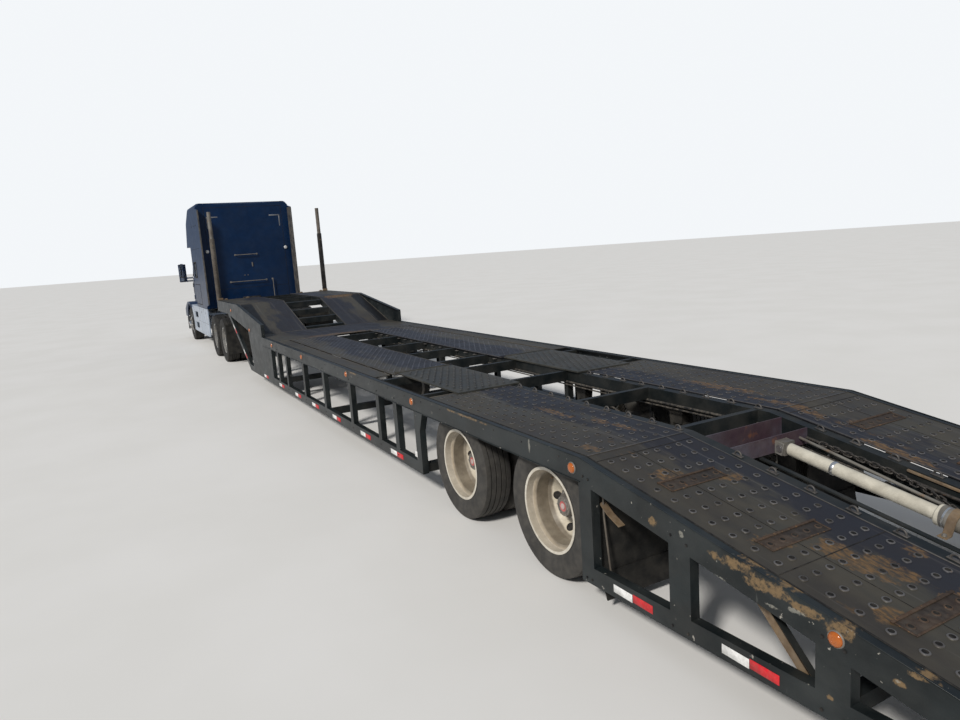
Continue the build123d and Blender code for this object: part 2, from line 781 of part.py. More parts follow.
# Wheel ends: name, x, tyre radius, tyre width, mounting plane's y, tyre middles outward of it
wheel_ends = [
    ("rear", rear_axle_x, trailer_tyre_radius, trailer_tyre_width, trailer_twin_y,
     (twin_offset, -twin_offset)),
    ("front", front_trailer_axle_x, trailer_tyre_radius, trailer_tyre_width, trailer_twin_y,
     (twin_offset, -twin_offset)),
    ("drive_rear", drive_axle_xs[0], tractor_tyre_radius, tractor_tyre_width, drive_twin_y,
     (twin_offset, -twin_offset)),
    ("drive_front", drive_axle_xs[1], tractor_tyre_radius, tractor_tyre_width, drive_twin_y,
     (twin_offset, -twin_offset)),
    ("steer", steer_x, tractor_tyre_radius, tractor_tyre_width, steer_tyre_y + steer_offset,
     (-steer_offset,)),
]
for end, x, radius, width, mount_y, middles in wheel_ends:
    for side, s in (("left", 1), ("right", -1)):
        section = Plane(origin=(x, s * mount_y, radius), x_dir=(1, 0, 0), z_dir=(0, 0, s))
        spin = Axis((x, s * mount_y, radius), (0, s, 0))
        with BuildPart() as tyre:
            for middle in middles:
                with BuildSketch(section):
                    with BuildLine():
                        draw_tyre(radius, width, middle)
                    make_face()
                revolve(axis=spin)
        tyre.part.label = f"tyre_{end}_{side}"
        export_step(tyre.part, f"parts/tyre_{end}_{side}.step")

        with BuildPart() as wheel:
            for middle in middles:
                with BuildSketch(section):
                    with BuildLine():
                        Polyline(*wheel_points(middle), close=True)
                    make_face()
                revolve(axis=spin)
                outer = max(middle, 0)
            if outer > 0:
                with BuildSketch(Plane(origin=(x, s * mount_y, radius), x_dir=(1, 0, 0),
                                       z_dir=(0, s, 0)).offset(40)):
                    with PolarLocations(hand_hole_circle, hand_hole_count):
                        Circle(hand_hole_radius)
                extrude(amount=-42, mode=Mode.SUBTRACT)
            hub_out = hub_length if outer > 0 else 30
            with BuildSketch(section):
                with BuildLine():
                    Polyline(*hub_points(hub_out, drum_length), close=True)
                make_face()
            revolve(axis=spin)
        wheel.part.label = f"wheel_{end}_{side}"
        export_step(wheel.part, f"parts/wheel_{end}_{side}.step")

def air_spring(x, y, low, top, radius):
    """An air spring between two heights: two round folds between its end plates."""
    waist, middle = radius - bellows_fold, (low + top) / 2
    first, last = low + bellows_plate, top - bellows_plate
    with BuildPart() as made:
        with BuildSketch(Plane(origin=(x, y, 0), x_dir=(1, 0, 0), z_dir=(0, -1, 0))):
            with BuildLine():
                Polyline((waist, first), (waist, low), (0, low), (0, top), (waist, top), (waist, last))
                ThreePointArc((waist, last), (radius, (middle + last) / 2), (waist, middle))
                ThreePointArc((waist, middle), (radius, (first + middle) / 2), (waist, first))
            make_face()
        revolve(axis=Axis((x, y, 0), (0, 0, 1)))
    return made.part


# Trailer axles: a tube with spindles on trailing arms, their hangers, and air springs under the inner rails
rail_under_z = deck_z - ladder_drop - inner_rail_depth
hub_face_y = trailer_twin_y - drum_length
with BuildPart() as trailer_axles:
    for x in (rear_axle_x, front_trailer_axle_x):
        with BuildSketch(side_plane(hub_face_y - 40)):
            with Locations((x, trailer_tyre_radius)):
                Circle(axle_tube_radius)
        extrude(amount=2 * (hub_face_y - 40))
        with BuildSketch(side_plane(hub_face_y + spindle_depth - 5)):
            with Locations((x, trailer_tyre_radius)):
                Circle(spindle_radius)
        extrude(amount=2 * (hub_face_y + spindle_depth - 5))
        for y in (arm_y + arm_width / 2, -arm_y + arm_width / 2):
            with BuildSketch(side_plane(y)):
                with BuildLine():
                    Polyline(
                        (x + arm_pivot_ahead + 60, 570),
                        (x + arm_pivot_ahead + 60, 690),
                        (x + arm_pivot_ahead - 40, 690),
                        (x + 60, 600),
                        (x - air_spring_behind - 110, 600),
                        (x - air_spring_behind - 110, 560),
                        (x - 60, 430),
                        (x + 60, 430),
                        close=True,
                    )
                make_face()
            extrude(amount=arm_width)
        for s in (1, -1):
            with BuildSketch(side_plane(s * arm_y + hanger_width / 2)):
                with BuildLine():
                    Polyline(
                        (x + arm_pivot_ahead - 70, rail_under_z - seat_gap),
                        (x + arm_pivot_ahead + 100, rail_under_z - seat_gap),
                        (x + arm_pivot_ahead + 75, 600),
                        (x + arm_pivot_ahead + 50, 560),
                        (x + arm_pivot_ahead + 50, 680),
                        (x + arm_pivot_ahead - 45, 680),
                        close=True,
                    )
                make_face()
            extrude(amount=hanger_width)
            add(air_spring(x - air_spring_behind, s * (arm_y - 20), 598, rail_under_z - seat_gap,
                           air_spring_radius))
trailer_axles.part.label = "trailer_axles"
export_step(trailer_axles.part, "parts/trailer_axles.step")

# Landing legs: square tubes with foot plates, a cross tube and inclined braces
landing_top_z = deck_top(landing_x - cross_width / 2) - ladder_drop - outrigger_depth - seat_gap
brace_low = Vector(landing_x + landing_leg / 2 + brace_radius, landing_y, landing_brace_z)
brace_under_z = neck_z - ladder_drop - outrigger_depth - seat_gap
brace_high = Vector(landing_brace_x, landing_y - 60, brace_under_z - brace_radius)
with BuildPart() as landing_legs:
    for s in (1, -1):
        with Locations((landing_x, s * landing_y, (landing_foot_z + landing_top_z) / 2)):
            Box(landing_leg, landing_leg, landing_top_z - landing_foot_z)
        with Locations((landing_x, s * landing_y, landing_foot_z - 10)):
            Box(260, 240, 20)
        start = Vector(brace_low.X, s * brace_low.Y, brace_low.Z)
        end = Vector(brace_high.X, s * brace_high.Y, brace_high.Z)
        with BuildSketch(Plane(origin=start, z_dir=end - start)):
            Circle(brace_radius)
        extrude(amount=(end - start).length)
        with Locations((brace_low.X - brace_radius / 2, s * landing_y, landing_brace_z)):
            Box(2 * brace_radius, 50, 90)
        with Locations((brace_high.X, s * brace_high.Y, brace_under_z - brace_radius)):
            Box(70, 60, 2 * brace_radius)
    with Locations((landing_x, 0, landing_top_z - 110)):
        Box(60, 2 * landing_y, 60)
landing_legs.part.label = "landing_legs"
export_step(landing_legs.part, "parts/landing_legs.step")

# Mud flaps behind the trailer's rear wheels, against the outrigger there
mud_flap_x = rear_axle_x + outrigger_aheads[3] - cross_width / 2 - seat_gap - mud_flap_sheet / 2
mud_flap_top_z = deck_top(mud_flap_x) - 30
with BuildPart() as trailer_mud_flaps:
    with Locations(*[(mud_flap_x, s * trailer_twin_y, (mud_flap_low_z + mud_flap_top_z) / 2) for s in (1, -1)]):
        Box(mud_flap_sheet, mud_flap_width, mud_flap_top_z - mud_flap_low_z)
trailer_mud_flaps.part.label = "trailer_mud_flaps"
export_step(trailer_mud_flaps.part, "parts/trailer_mud_flaps.step")

# Air tanks across the ladder frame, each hung from an inner rail
with BuildPart() as air_tanks:
    for ahead in tank_ahead:
        for tank_far_y in (tank_inner_y + tank_length, -tank_inner_y):
            with BuildSketch(side_plane(tank_far_y)):
                with Locations((rear_axle_x + ahead, tank_z)):
                    Circle(tank_radius)
            extrude(amount=tank_length)
        with Locations(*[(rear_axle_x + ahead, s * (inner_rail_y + inner_rail_width / 2),
                          (tank_z + rail_under_z - seat_gap) / 2) for s in (1, -1)]):
            Box(60, 60, rail_under_z - seat_gap - tank_z)
air_tanks.part.label = "air_tanks"
export_step(air_tanks.part, "parts/air_tanks.step")

# Cylinders: one upright behind each side frame, and one along the middle of the tail
tail_dir = Vector(-cos(radians(tail_slope)), 0, -sin(radians(tail_slope)))
clevis_x = tray_x0 - seat_gap - clevis / 2
barrel_end_x = rear_axle_x + cross_aheads[0] + cross_width / 2 + barrel_radius * sin(radians(tail_slope)) + 1
rod_start = Vector(clevis_x, cylinder_y, deck_top(clevis_x) - cylinder_drop)
gland = Vector(gland_x, cylinder_y, deck_top(gland_x) - cylinder_drop)
barrel_end = Vector(barrel_end_x, cylinder_y, deck_top(barrel_end_x) - cylinder_drop)
with BuildPart() as cylinders:
    for s in (1, -1):
        with BuildSketch(Plane.XY.offset(low_rail_z + 20)):
            with Locations((upright_x, s * upright_y)):
                Circle(upright_radius)
        extrude(amount=upright_length)
        with Locations((upright_x, s * (frame_inner_y + upright_y) / 2, low_rail_z + low_rail_web / 2)):
            Box(40, frame_inner_y - upright_y, low_rail_web)
    with BuildSketch(Plane(origin=rod_start, z_dir=tail_dir)):
        Circle(rod_radius)
    extrude(amount=(gland - rod_start).length)
    with BuildSketch(Plane(origin=gland, z_dir=tail_dir)):
        Circle(barrel_radius)
    extrude(amount=(barrel_end - gland).length)
    with BuildSketch(Plane(origin=gland, x_dir=(0, 1, 0), z_dir=tail_dir.cross(Vector(0, 1, 0)))):
        with BuildLine():
            Polyline((0, -20), (rod_radius + 1, -20), (gland_radius - 6, -10), (gland_radius, 0),
                     (gland_radius, gland_length - 20), (barrel_radius, gland_length - 12), (0, gland_length - 12),
                     close=True)
        make_face()
    revolve(axis=Axis(gland, tail_dir))
    with Locations(rod_start):
        Box(clevis, 90, 90)
cylinders.part.label = "cylinders"
export_step(cylinders.part, "parts/cylinders.step")

# Tractor frame: two channels with cross members, and the mounts that carry cab and sleeper
frame_cross_xs = [frame_rear_x + 60, tandem_x, sleeper_rear_x - 300, cab_rear_x - 300,
                  engine_rear_x - gearbox_length - 120, frame_front_x - 60]
cab_mount_xs = [sleeper_rear_x + 200, cab_rear_x - 200, cab_rear_x + 250, cab_front_x - 150]
with BuildPart() as tractor_frame:
    with BuildSketch(Plane.YZ.offset(frame_rear_x)):
        for s in (1, -1):
            with Locations((s * (frame_half_width - frame_flange / 2), frame_z - frame_web / 2)):
                Rectangle(frame_flange, frame_web)
            with Locations((s * (frame_half_width - sheet - frame_flange / 2), frame_z - frame_web / 2)):
                Rectangle(frame_flange, frame_web - 2 * sheet, mode=Mode.SUBTRACT)
    extrude(amount=frame_front_x - frame_rear_x)
    for x in frame_cross_xs:
        with Locations((x, 0, frame_z - sheet - frame_cross_depth / 2)):
            Box(60, 2 * (frame_half_width - sheet), frame_cross_depth)
    for x in cab_mount_xs:
        with Locations(*[(x, s * (frame_half_width - 50), (frame_z + cab_floor_z - seat_gap) / 2)
                         for s in (1, -1)]):
            Box(110, 80, cab_floor_z - frame_z - seat_gap)
tractor_frame.part.label = "tractor_frame"
export_step(tractor_frame.part, "parts/tractor_frame.step")

# Fifth wheel: a plate with a throat behind the pin's bore, on two pedestals
with BuildPart() as fifth_wheel:
    with BuildSketch(Plane.XY.offset(fifth_wheel_z - fifth_wheel_plate)):
        with BuildLine():
            Polyline(
                (kingpin_x + plate_front, -fifth_wheel_half_width * 0.62),
                (kingpin_x + plate_front, fifth_wheel_half_width * 0.62),
                (kingpin_x + 90, fifth_wheel_half_width),
                (kingpin_x - 170, fifth_wheel_half_width),
                (kingpin_x - plate_rear, fifth_wheel_half_width * 0.66),
                (kingpin_x - plate_rear, throat_mouth),
                (kingpin_x - throat_end, kingpin_radius),
                (kingpin_x - throat_end, -kingpin_radius),
                (kingpin_x - plate_rear, -throat_mouth),
                (kingpin_x - plate_rear, -fifth_wheel_half_width * 0.66),
                (kingpin_x - 170, -fifth_wheel_half_width),
                (kingpin_x + 90, -fifth_wheel_half_width),
                close=True,
            )
        make_face()
        with Locations((kingpin_x, 0)):
            Circle(kingpin_radius + running_gap, mode=Mode.SUBTRACT)
    extrude(amount=fifth_wheel_plate)
    for s in (1, -1):
        with BuildSketch(side_plane(s * (frame_half_width - frame_flange / 2) + 40)):
            with BuildLine():
                Polyline(
                    (kingpin_x - 260, frame_z + seat_gap),
                    (kingpin_x + 260, frame_z + seat_gap),
                    (kingpin_x + 90, fifth_wheel_z - fifth_wheel_plate),
                    (kingpin_x - 90, fifth_wheel_z - fifth_wheel_plate),
                    close=True,
                )
            make_face()
        extrude(amount=80)
fifth_wheel.part.label = "fifth_wheel"
export_step(fifth_wheel.part, "parts/fifth_wheel.step")

# Engine and radiator as plain blocks between the frame rails, with gearbox and drive shafts
bowl_reach = diff_radius + 50
with BuildPart() as engine_block:
    with Locations((engine_rear_x + engine_length / 2, 0, (engine_low_z + engine_top_z) / 2)):
        Box(engine_length, 2 * (frame_half_width - frame_flange - seat_gap), engine_top_z - engine_low_z)
    with Locations((radiator_x, 0, (radiator_low_z + radiator_top_z) / 2)):
        Box(120, 960, radiator_top_z - radiator_low_z)
    with Locations(*[(radiator_x, s * (frame_half_width - frame_flange / 2),
                      (frame_z + seat_gap + radiator_low_z) / 2) for s in (1, -1)]):
        Box(100, 70, radiator_low_z - frame_z - seat_gap)
    with BuildSketch(Plane.YZ.offset(engine_rear_x - gearbox_length)):
        with Locations((0, gearbox_z)):
            Circle(gearbox_radius)
    extrude(amount=gearbox_length)
    for start, end in (
        ((engine_rear_x - gearbox_length + 5, 0, 860), (drive_axle_xs[1] + bowl_reach + 4.2, 0, 600)),
        ((drive_axle_xs[1] - diff_radius - 8, 0, 585), (drive_axle_xs[0] + bowl_reach + 1.8, 0, 560)),
    ):
        run = Vector(end) - Vector(start)
        with BuildSketch(Plane(origin=start, z_dir=run)):
            Circle(shaft_radius)
        extrude(amount=run.length)
engine_block.part.label = "engine_block"
export_step(engine_block.part, "parts/engine_block.step")

# Drive axles: tube, differential bowl, spindles, trailing beams and air springs up to the frame
drive_hub_y = drive_twin_y - drum_length
frame_under_z = frame_z - frame_web - seat_gap
with BuildPart() as drive_axles:
    for x in drive_axle_xs:
        for length, radius in ((drive_hub_y - 40, 70), (drive_hub_y + spindle_depth - 5, spindle_radius),
                               (150, diff_radius)):
            with BuildSketch(side_plane(length)):
                with Locations((x, tractor_tyre_radius)):
                    Circle(radius)
            extrude(amount=2 * length)
        with BuildSketch(Plane.YZ.offset(x + 100)):
            with Locations((0, tractor_tyre_radius + 70)):
                Circle(110)
        extrude(amount=bowl_reach - 100)
        for s in (1, -1):
            with BuildSketch(side_plane(s * (frame_half_width - frame_flange / 2) + 45)):
                with BuildLine():
                    Polyline(
                        (x + 560, 690), (x + 560, frame_under_z), (x + 430, frame_under_z),
                        (x + 430, 660), (x + 80, tractor_tyre_radius + 90), (x - 330, tractor_tyre_radius + 60),
                        (x - 330, tractor_tyre_radius + 20), (x, tractor_tyre_radius - 80),
                        (x + 120, tractor_tyre_radius - 40), close=True,
                    )
                make_face()
            extrude(amount=90)
            add(air_spring(x - 225, s * (frame_half_width - frame_flange / 2), tractor_tyre_radius + 58,
                           frame_under_z, 100))
drive_axles.part.label = "drive_axles"
export_step(drive_axles.part, "parts/drive_axles.step")

# Front axle: a dropped beam with kingpin bosses, on leaf springs hung under the frame rails
with BuildPart() as front_axle:
    with BuildSketch(Plane.YZ.offset(steer_x - 45)):
        with BuildLine():
            Polyline(
                (-king_y, 560), (-640, 500), (-520, beam_z + 50), (520, beam_z + 50), (640, 500), (king_y, 560),
                (king_y, 450), (660, 395), (540, beam_z - 50), (-540, beam_z - 50), (-660, 395),
                (-king_y, 450), close=True,
            )
        make_face()
    extrude(amount=90)
    for s in (1, -1):
        with BuildSketch(Plane.XY.offset(tractor_tyre_radius - boss_half_height)):
            with Locations((steer_x, s * king_y)):
                Circle(58)
        extrude(amount=2 * boss_half_height)
        with BuildSketch(Plane.XY.offset(tractor_tyre_radius - 2 * boss_half_height)):
            with Locations((steer_x, s * king_y)):
                Circle(king_radius + running_gap)
        extrude(amount=4 * boss_half_height, mode=Mode.SUBTRACT)
        with BuildSketch(side_plane(s * spring_y + 45)):
            with BuildLine():
                ThreePointArc((steer_x - 820, 690), (steer_x, beam_z + 50), (steer_x + 700, 690))
                Polyline((steer_x + 700, 690), (steer_x + 700, frame_under_z), (steer_x + 640, frame_under_z),
                         (steer_x + 640, 712))
                ThreePointArc((steer_x + 640, 712), (steer_x, beam_z + 110), (steer_x - 760, 712))
                Polyline((steer_x - 760, 712), (steer_x - 760, frame_under_z), (steer_x - 820, frame_under_z),
                         (steer_x - 820, 690))
            make_face()
        extrude(amount=90)
front_axle.part.label = "front_axle"
export_step(front_axle.part, "parts/front_axle.step")

# Steering knuckles: two ears round the axle's boss, the kingpin through all, and the spindle
steer_hub_y = steer_tyre_y + steer_offset - drum_length
knuckle_half_height = boss_half_height + ear_gap + ear_height
upright_inner_y = king_y + 64
upright_outer_y = steer_hub_y - 8
for side, s in (("left", 1), ("right", -1)):
    with BuildPart() as knuckle:
        with BuildSketch(Plane.XY.offset(tractor_tyre_radius - knuckle_half_height)):
            with Locations((steer_x, s * king_y)):
                Circle(king_radius)
        extrude(amount=2 * knuckle_half_height)
        for low_z in (tractor_tyre_radius - knuckle_half_height,
                      tractor_tyre_radius + boss_half_height + ear_gap):
            with BuildSketch(Plane.XY.offset(low_z)):
                with Locations((steer_x, s * king_y)):
                    Circle(50)
                with Locations((steer_x, s * (king_y + 60))):
                    Rectangle(100, 120)
            extrude(amount=ear_height)
        with Locations((steer_x, s * (upright_inner_y + upright_outer_y) / 2, tractor_tyre_radius)):
            Box(110, upright_outer_y - upright_inner_y, 2 * knuckle_half_height)
        with BuildSketch(Plane(origin=(steer_x, s * (upright_outer_y - 10), tractor_tyre_radius),
                               x_dir=(1, 0, 0), z_dir=(0, s, 0))):
            Circle(spindle_radius)
        extrude(amount=steer_hub_y + spindle_depth - 5 - upright_outer_y + 10)
    knuckle.part.label = f"knuckle_{side}"
    export_step(knuckle.part, f"parts/knuckle_{side}.step")

# Fuel tanks with brackets against the frame
with BuildPart() as fuel_tanks:
    for s in (1, -1):
        with BuildSketch(Plane.YZ.offset(fuel_rear_x)):
            with Locations((s * fuel_y, fuel_z)):
                Circle(fuel_radius)
        extrude(amount=fuel_length)
        for x in (fuel_rear_x + 300, fuel_rear_x + fuel_length - 300):
            with Locations((x, s * (frame_half_width + seat_gap + 60), frame_z - 110)):
                Box(80, 120, 180)
fuel_tanks.part.label = "fuel_tanks"
export_step(fuel_tanks.part, "parts/fuel_tanks.step")

# Side fairings with step openings, and behind each front wheel the fixed rear part of its arch
quarter_rear_x = steer_x - arch_radius - 60
quarter_front_x = hood_rear_x - 2 * joint_gap
quarter_inner_y = 840
bracket_inner_y = frame_half_width + seat_gap
with BuildPart() as side_fairings:
    for s in (1, -1):
        with BuildSketch(side_plane(s * fairing_y + fairing_sheet / 2)):
            with BuildLine():
                Polyline(
                    (fairing_rear_x, fairing_low_z + 60), (fairing_rear_x + 120, fairing_low_z),
                    (quarter_rear_x, fairing_low_z), (quarter_rear_x, fairing_top_z),
                    (fairing_rear_x, fairing_top_z), close=True,
                )
            make_face()
            with Locations(*[(cab_rear_x + 650, z) for z in (fairing_low_z + 190, fairing_low_z + 500)]):
                Rectangle(640, 170, mode=Mode.SUBTRACT)
        extrude(amount=fairing_sheet)
        outer_y = fairing_y + fairing_sheet / 2
        with BuildSketch(side_plane(outer_y if s > 0 else -quarter_inner_y)):
            with BuildLine():
                Polyline(
                    (quarter_rear_x - 20, fairing_low_z), (quarter_rear_x - 20, 960),
                    (quarter_rear_x + 120, fairing_top_z), (quarter_front_x, fairing_top_z),
                    (quarter_front_x, 900), (quarter_rear_x + 120, fairing_low_z), close=True,
                )
            make_face()
            with Locations((steer_x, tractor_tyre_radius)):
                Circle(arch_radius, mode=Mode.SUBTRACT)
        extrude(amount=outer_y - quarter_inner_y)
        for x in (fairing_rear_x + 200, quarter_rear_x - 180):
            with Locations((x, s * (bracket_inner_y + fairing_y) / 2, frame_z - 60)):
                Box(50, fairing_y - bracket_inner_y, 50)
side_fairings.part.label = "side_fairings"
export_step(side_fairings.part, "parts/side_fairings.step")

# Cab: a hollow shell with door openings, a windshield opening and a way through to the sleeper
cab_outline = [
    (cab_rear_x, cab_floor_z), (cowl_x, cab_floor_z), (cowl_x, 1790), (cab_front_x - 10, 1950),
    (cab_front_x - 700, cab_roof_z), (cab_rear_x, cab_roof_z),
]
glass_low = Vector(cab_front_x - 10, 0, 1950)
glass_high = Vector(cab_front_x - 700, 0, cab_roof_z)
glass_run = glass_high - glass_low
glass_plane = Plane(origin=glass_low + glass_run * 0.5, x_dir=(0, 1, 0),
                    z_dir=(glass_run.Z, 0, -glass_run.X))
glass_width = 1820
glass_height = glass_run.length - 150
door_outline = [
    (cab_rear_x + 110, cab_floor_z + 60), (cab_front_x - 20, cab_floor_z + 60), (cab_front_x - 20, 1800),
    (cab_front_x - 110, 1930), (cab_front_x - 700, cab_roof_z - 150), (cab_rear_x + 110, cab_roof_z - 150),
]
door_window = [
    (cab_rear_x + 220, 1960), (cab_front_x - 230, 1960), (cab_front_x - 740, cab_roof_z - 230),
    (cab_rear_x + 220, cab_roof_z - 230),
]
way_low_z = cab_floor_z + cab_wall
with BuildPart() as cab_shell:
    with BuildSketch(side_plane(cab_half_width)):
        with BuildLine():
            Polyline(*cab_outline, close=True)
        make_face()
    extrude(amount=2 * cab_half_width)
    top_edges = cab_shell.faces().filter_by(Axis.Y).edges().filter_by(lambda e: e.center().Z > 1900)
    fillet(top_edges, 70)
    with BuildSketch(side_plane(cab_half_width - cab_wall)):
        with BuildLine():
            Polyline(*cab_outline, close=True)
        make_face()
        offset(amount=-cab_wall, kind=Kind.INTERSECTION, mode=Mode.REPLACE)
    extrude(amount=2 * (cab_half_width - cab_wall), mode=Mode.SUBTRACT)
    with BuildSketch(side_plane(cab_half_width + 1)):
        with BuildLine():
            Polyline(*door_outline, close=True)
        make_face()
    extrude(amount=2 * cab_half_width + 2, mode=Mode.SUBTRACT)
    with BuildSketch(glass_plane):
        RectangleRounded(glass_width, glass_height, 60)
    extrude(amount=80, both=True, mode=Mode.SUBTRACT)
    with Locations((cab_rear_x, 0, (way_low_z + way_top_z) / 2)):
        Box(3 * cab_wall, 2 * way_half_width, way_top_z - way_low_z, mode=Mode.SUBTRACT)
    for s in (1, -1):
        for z in door_hinge_zs:
            with BuildSketch(Plane.XY.offset(z - door_barrel_half - 20)):
                with Locations((door_hinge_x, s * door_hinge_y)):
                    Circle(door_pin_radius)
            extrude(amount=2 * door_barrel_half + 40)
            with Locations(*[(door_hinge_x + 18, s * door_hinge_y, z + up * (door_barrel_half + 11))
                             for up in (1, -1)]):
                Box(52, 2 * door_barrel_radius + 2, 18)
cab_shell.part.label = "cab_shell"
export_step(cab_shell.part, "parts/cab_shell.step")

# Fixed glass: the windshield and the sleeper's side windows
with BuildPart() as fixed_glass:
    with BuildSketch(glass_plane.offset(-18)):
        RectangleRounded(glass_width - 2 * seat_gap, glass_height - 2 * seat_gap, 60)
    extrude(amount=glass_sheet)
    with Locations(*[(sleeper_window_x, s * (sleeper_half_width - 15), sleeper_window_z) for s in (1, -1)]):
        Box(sleeper_window - 2 * seat_gap, glass_sheet, sleeper_window - 2 * seat_gap)
fixed_glass.part.label = "fixed_glass"
export_step(fixed_glass.part, "parts/fixed_glass.step")

# Doors: the panel that the opening leaves, its window cut, hinge barrels, and the mirror on two arms
for side, s in (("left", 1), ("right", -1)):
    with BuildPart() as door:
        with BuildSketch(side_plane(cab_half_width if s > 0 else -cab_half_width + cab_wall)):
            with BuildLine():
                Polyline(*door_outline, close=True)
            make_face()
            offset(amount=-joint_gap, kind=Kind.INTERSECTION, mode=Mode.REPLACE)
            with BuildLine():
                Polyline(*door_window, close=True)
            make_face(mode=Mode.SUBTRACT)
        extrude(amount=cab_wall)
        with Locations((mirror_x, s * (mirror_inner_y + mirror_width / 2), mirror_z)):
            Box(110, mirror_width, mirror_height)
        for z in (mirror_z - 240, mirror_z - 150):
            with Locations((mirror_x, s * (cab_half_width + mirror_inner_y) / 2, z)):
                Box(40, mirror_inner_y - cab_half_width + 4, 26)
        for z in door_hinge_zs:
            with BuildSketch(Plane.XY.offset(z - door_barrel_half)):
                with Locations((door_hinge_x, s * door_hinge_y)):
                    Circle(door_barrel_radius)
                with Locations((door_hinge_x - 28, s * (cab_half_width + 4))):
                    Rectangle(56, 7)
                with Locations((door_hinge_x - 36, s * (cab_half_width + 2))):
                    Rectangle(36, 6)
                with Locations((door_hinge_x, s * door_hinge_y)):
                    Circle(door_pin_radius + running_gap, mode=Mode.SUBTRACT)
            extrude(amount=2 * door_barrel_half)
    door.part.label = f"door_{side}"
    export_step(door.part, f"parts/door_{side}.step")

    with BuildPart() as door_glass:
        with BuildSketch(side_plane(s * (cab_half_width - cab_wall / 2) + glass_sheet / 2)):
            with BuildLine():
                Polyline(*door_window, close=True)
            make_face()
            offset(amount=-seat_gap, kind=Kind.INTERSECTION, mode=Mode.REPLACE)
        extrude(amount=glass_sheet)
    door_glass.part.label = f"door_glass_{side}"
    export_step(door_glass.part, f"parts/door_glass_{side}.step")

# Sleeper with the high roof that runs forward over the cab, and its side extenders
roof_front_x = cab_front_x - 720
cap_low_z = cab_roof_z + seat_gap
sleeper_outline = [
    (sleeper_rear_x, cab_floor_z), (sleeper_rear_x, sleeper_roof_z - 40), (sleeper_rear_x + 110, sleeper_roof_z),
    (cab_rear_x - 250, sleeper_roof_z), (cab_rear_x + 420, sleeper_roof_z - 330),
    (roof_front_x, cab_roof_z + 90), (roof_front_x + 20, cap_low_z),
    (cab_rear_x - seat_gap, cap_low_z), (cab_rear_x - seat_gap, cab_floor_z),
]
with BuildPart() as sleeper_shell:
    with BuildSketch(side_plane(sleeper_half_width)):
        with BuildLine():
            Polyline(*sleeper_outline, close=True)
        make_face()
    extrude(amount=2 * sleeper_half_width)
    roof_edges = sleeper_shell.faces().filter_by(Axis.Y).edges().filter_by(
        lambda e: e.center().Z > cab_roof_z + 100)
    fillet(roof_edges, 110)
    with BuildSketch(side_plane(sleeper_half_width - cab_wall)):
        with BuildLine():
            Polyline(*sleeper_outline, close=True)
        make_face()
        offset(amount=-cab_wall, kind=Kind.INTERSECTION, mode=Mode.REPLACE)
    extrude(amount=2 * (sleeper_half_width - cab_wall), mode=Mode.SUBTRACT)
    with Locations((cab_rear_x, 0, (way_low_z + way_top_z) / 2)):
        Box(3 * cab_wall, 2 * way_half_width, way_top_z - way_low_z, mode=Mode.SUBTRACT)
    with Locations((sleeper_window_x, 0, sleeper_window_z)):
        Box(sleeper_window, 2 * sleeper_half_width + 2, sleeper_window, mode=Mode.SUBTRACT)
    for s in (1, -1):
        with BuildSketch(side_plane(sleeper_half_width if s > 0 else -sleeper_half_width + extender_sheet)):
            with BuildLine():
                Polyline(
                    (sleeper_rear_x + 10, cab_floor_z + 60), (sleeper_rear_x + 10, sleeper_roof_z - 130),
                    (sleeper_rear_x - extender_length, sleeper_roof_z - 190),
                    (sleeper_rear_x - extender_length, cab_floor_z + 110), close=True,
                )
            make_face()
        extrude(amount=extender_sheet)
sleeper_shell.part.label = "sleeper_shell"
export_step(sleeper_shell.part, "parts/sleeper_shell.step")

# Sleeper fittings: grab rails that stand off the back wall on round feet, and two work lamps
with BuildPart() as sleeper_fittings:
    wall_x = sleeper_rear_x - seat_gap
    for (y0, z0), (y1, z1) in grab_rails:
        start, end = Vector(wall_x - grab_rail_reach, y0, z0), Vector(wall_x - grab_rail_reach, y1, z1)
        with BuildSketch(Plane(origin=start, z_dir=end - start)):
            Circle(grab_rail_radius)
        extrude(amount=(end - start).length)
        for y, z in ((y0, z0), (y1, z1)):
            with Locations((wall_x - grab_rail_reach, y, z)):
                Sphere(grab_rail_radius)
            with BuildSketch(Plane.YZ.offset(wall_x)):
                with Locations((y, z)):
                    Circle(grab_rail_radius)
            extrude(amount=-grab_rail_reach)
            with BuildSketch(Plane.YZ.offset(wall_x)):
                with Locations((y, z)):
                    Circle(2.3 * grab_rail_radius)
            extrude(amount=-6)
    for s in (1, -1):
        add(lamp((wall_x, s * work_lamp_y, work_lamp_z), (-1, 0, 0), work_lamp_radius, work_lamp_dome, 14))
sleeper_fittings.part.label = "sleeper_fittings"
export_step(sleeper_fittings.part, "parts/sleeper_fittings.step")

# Hood with its fenders: a hollow shell from the cowl to the nose, open below, and two hinge eyes
# Sections of the hood: x, half width, lower edge, upper edge
hood_sections = [
    (hood_rear_x, 1030, 1080, 1790),
    (steer_x + 250, 930, 960, 1690),
    (hood_front_x, 760, 860, 1500),
]
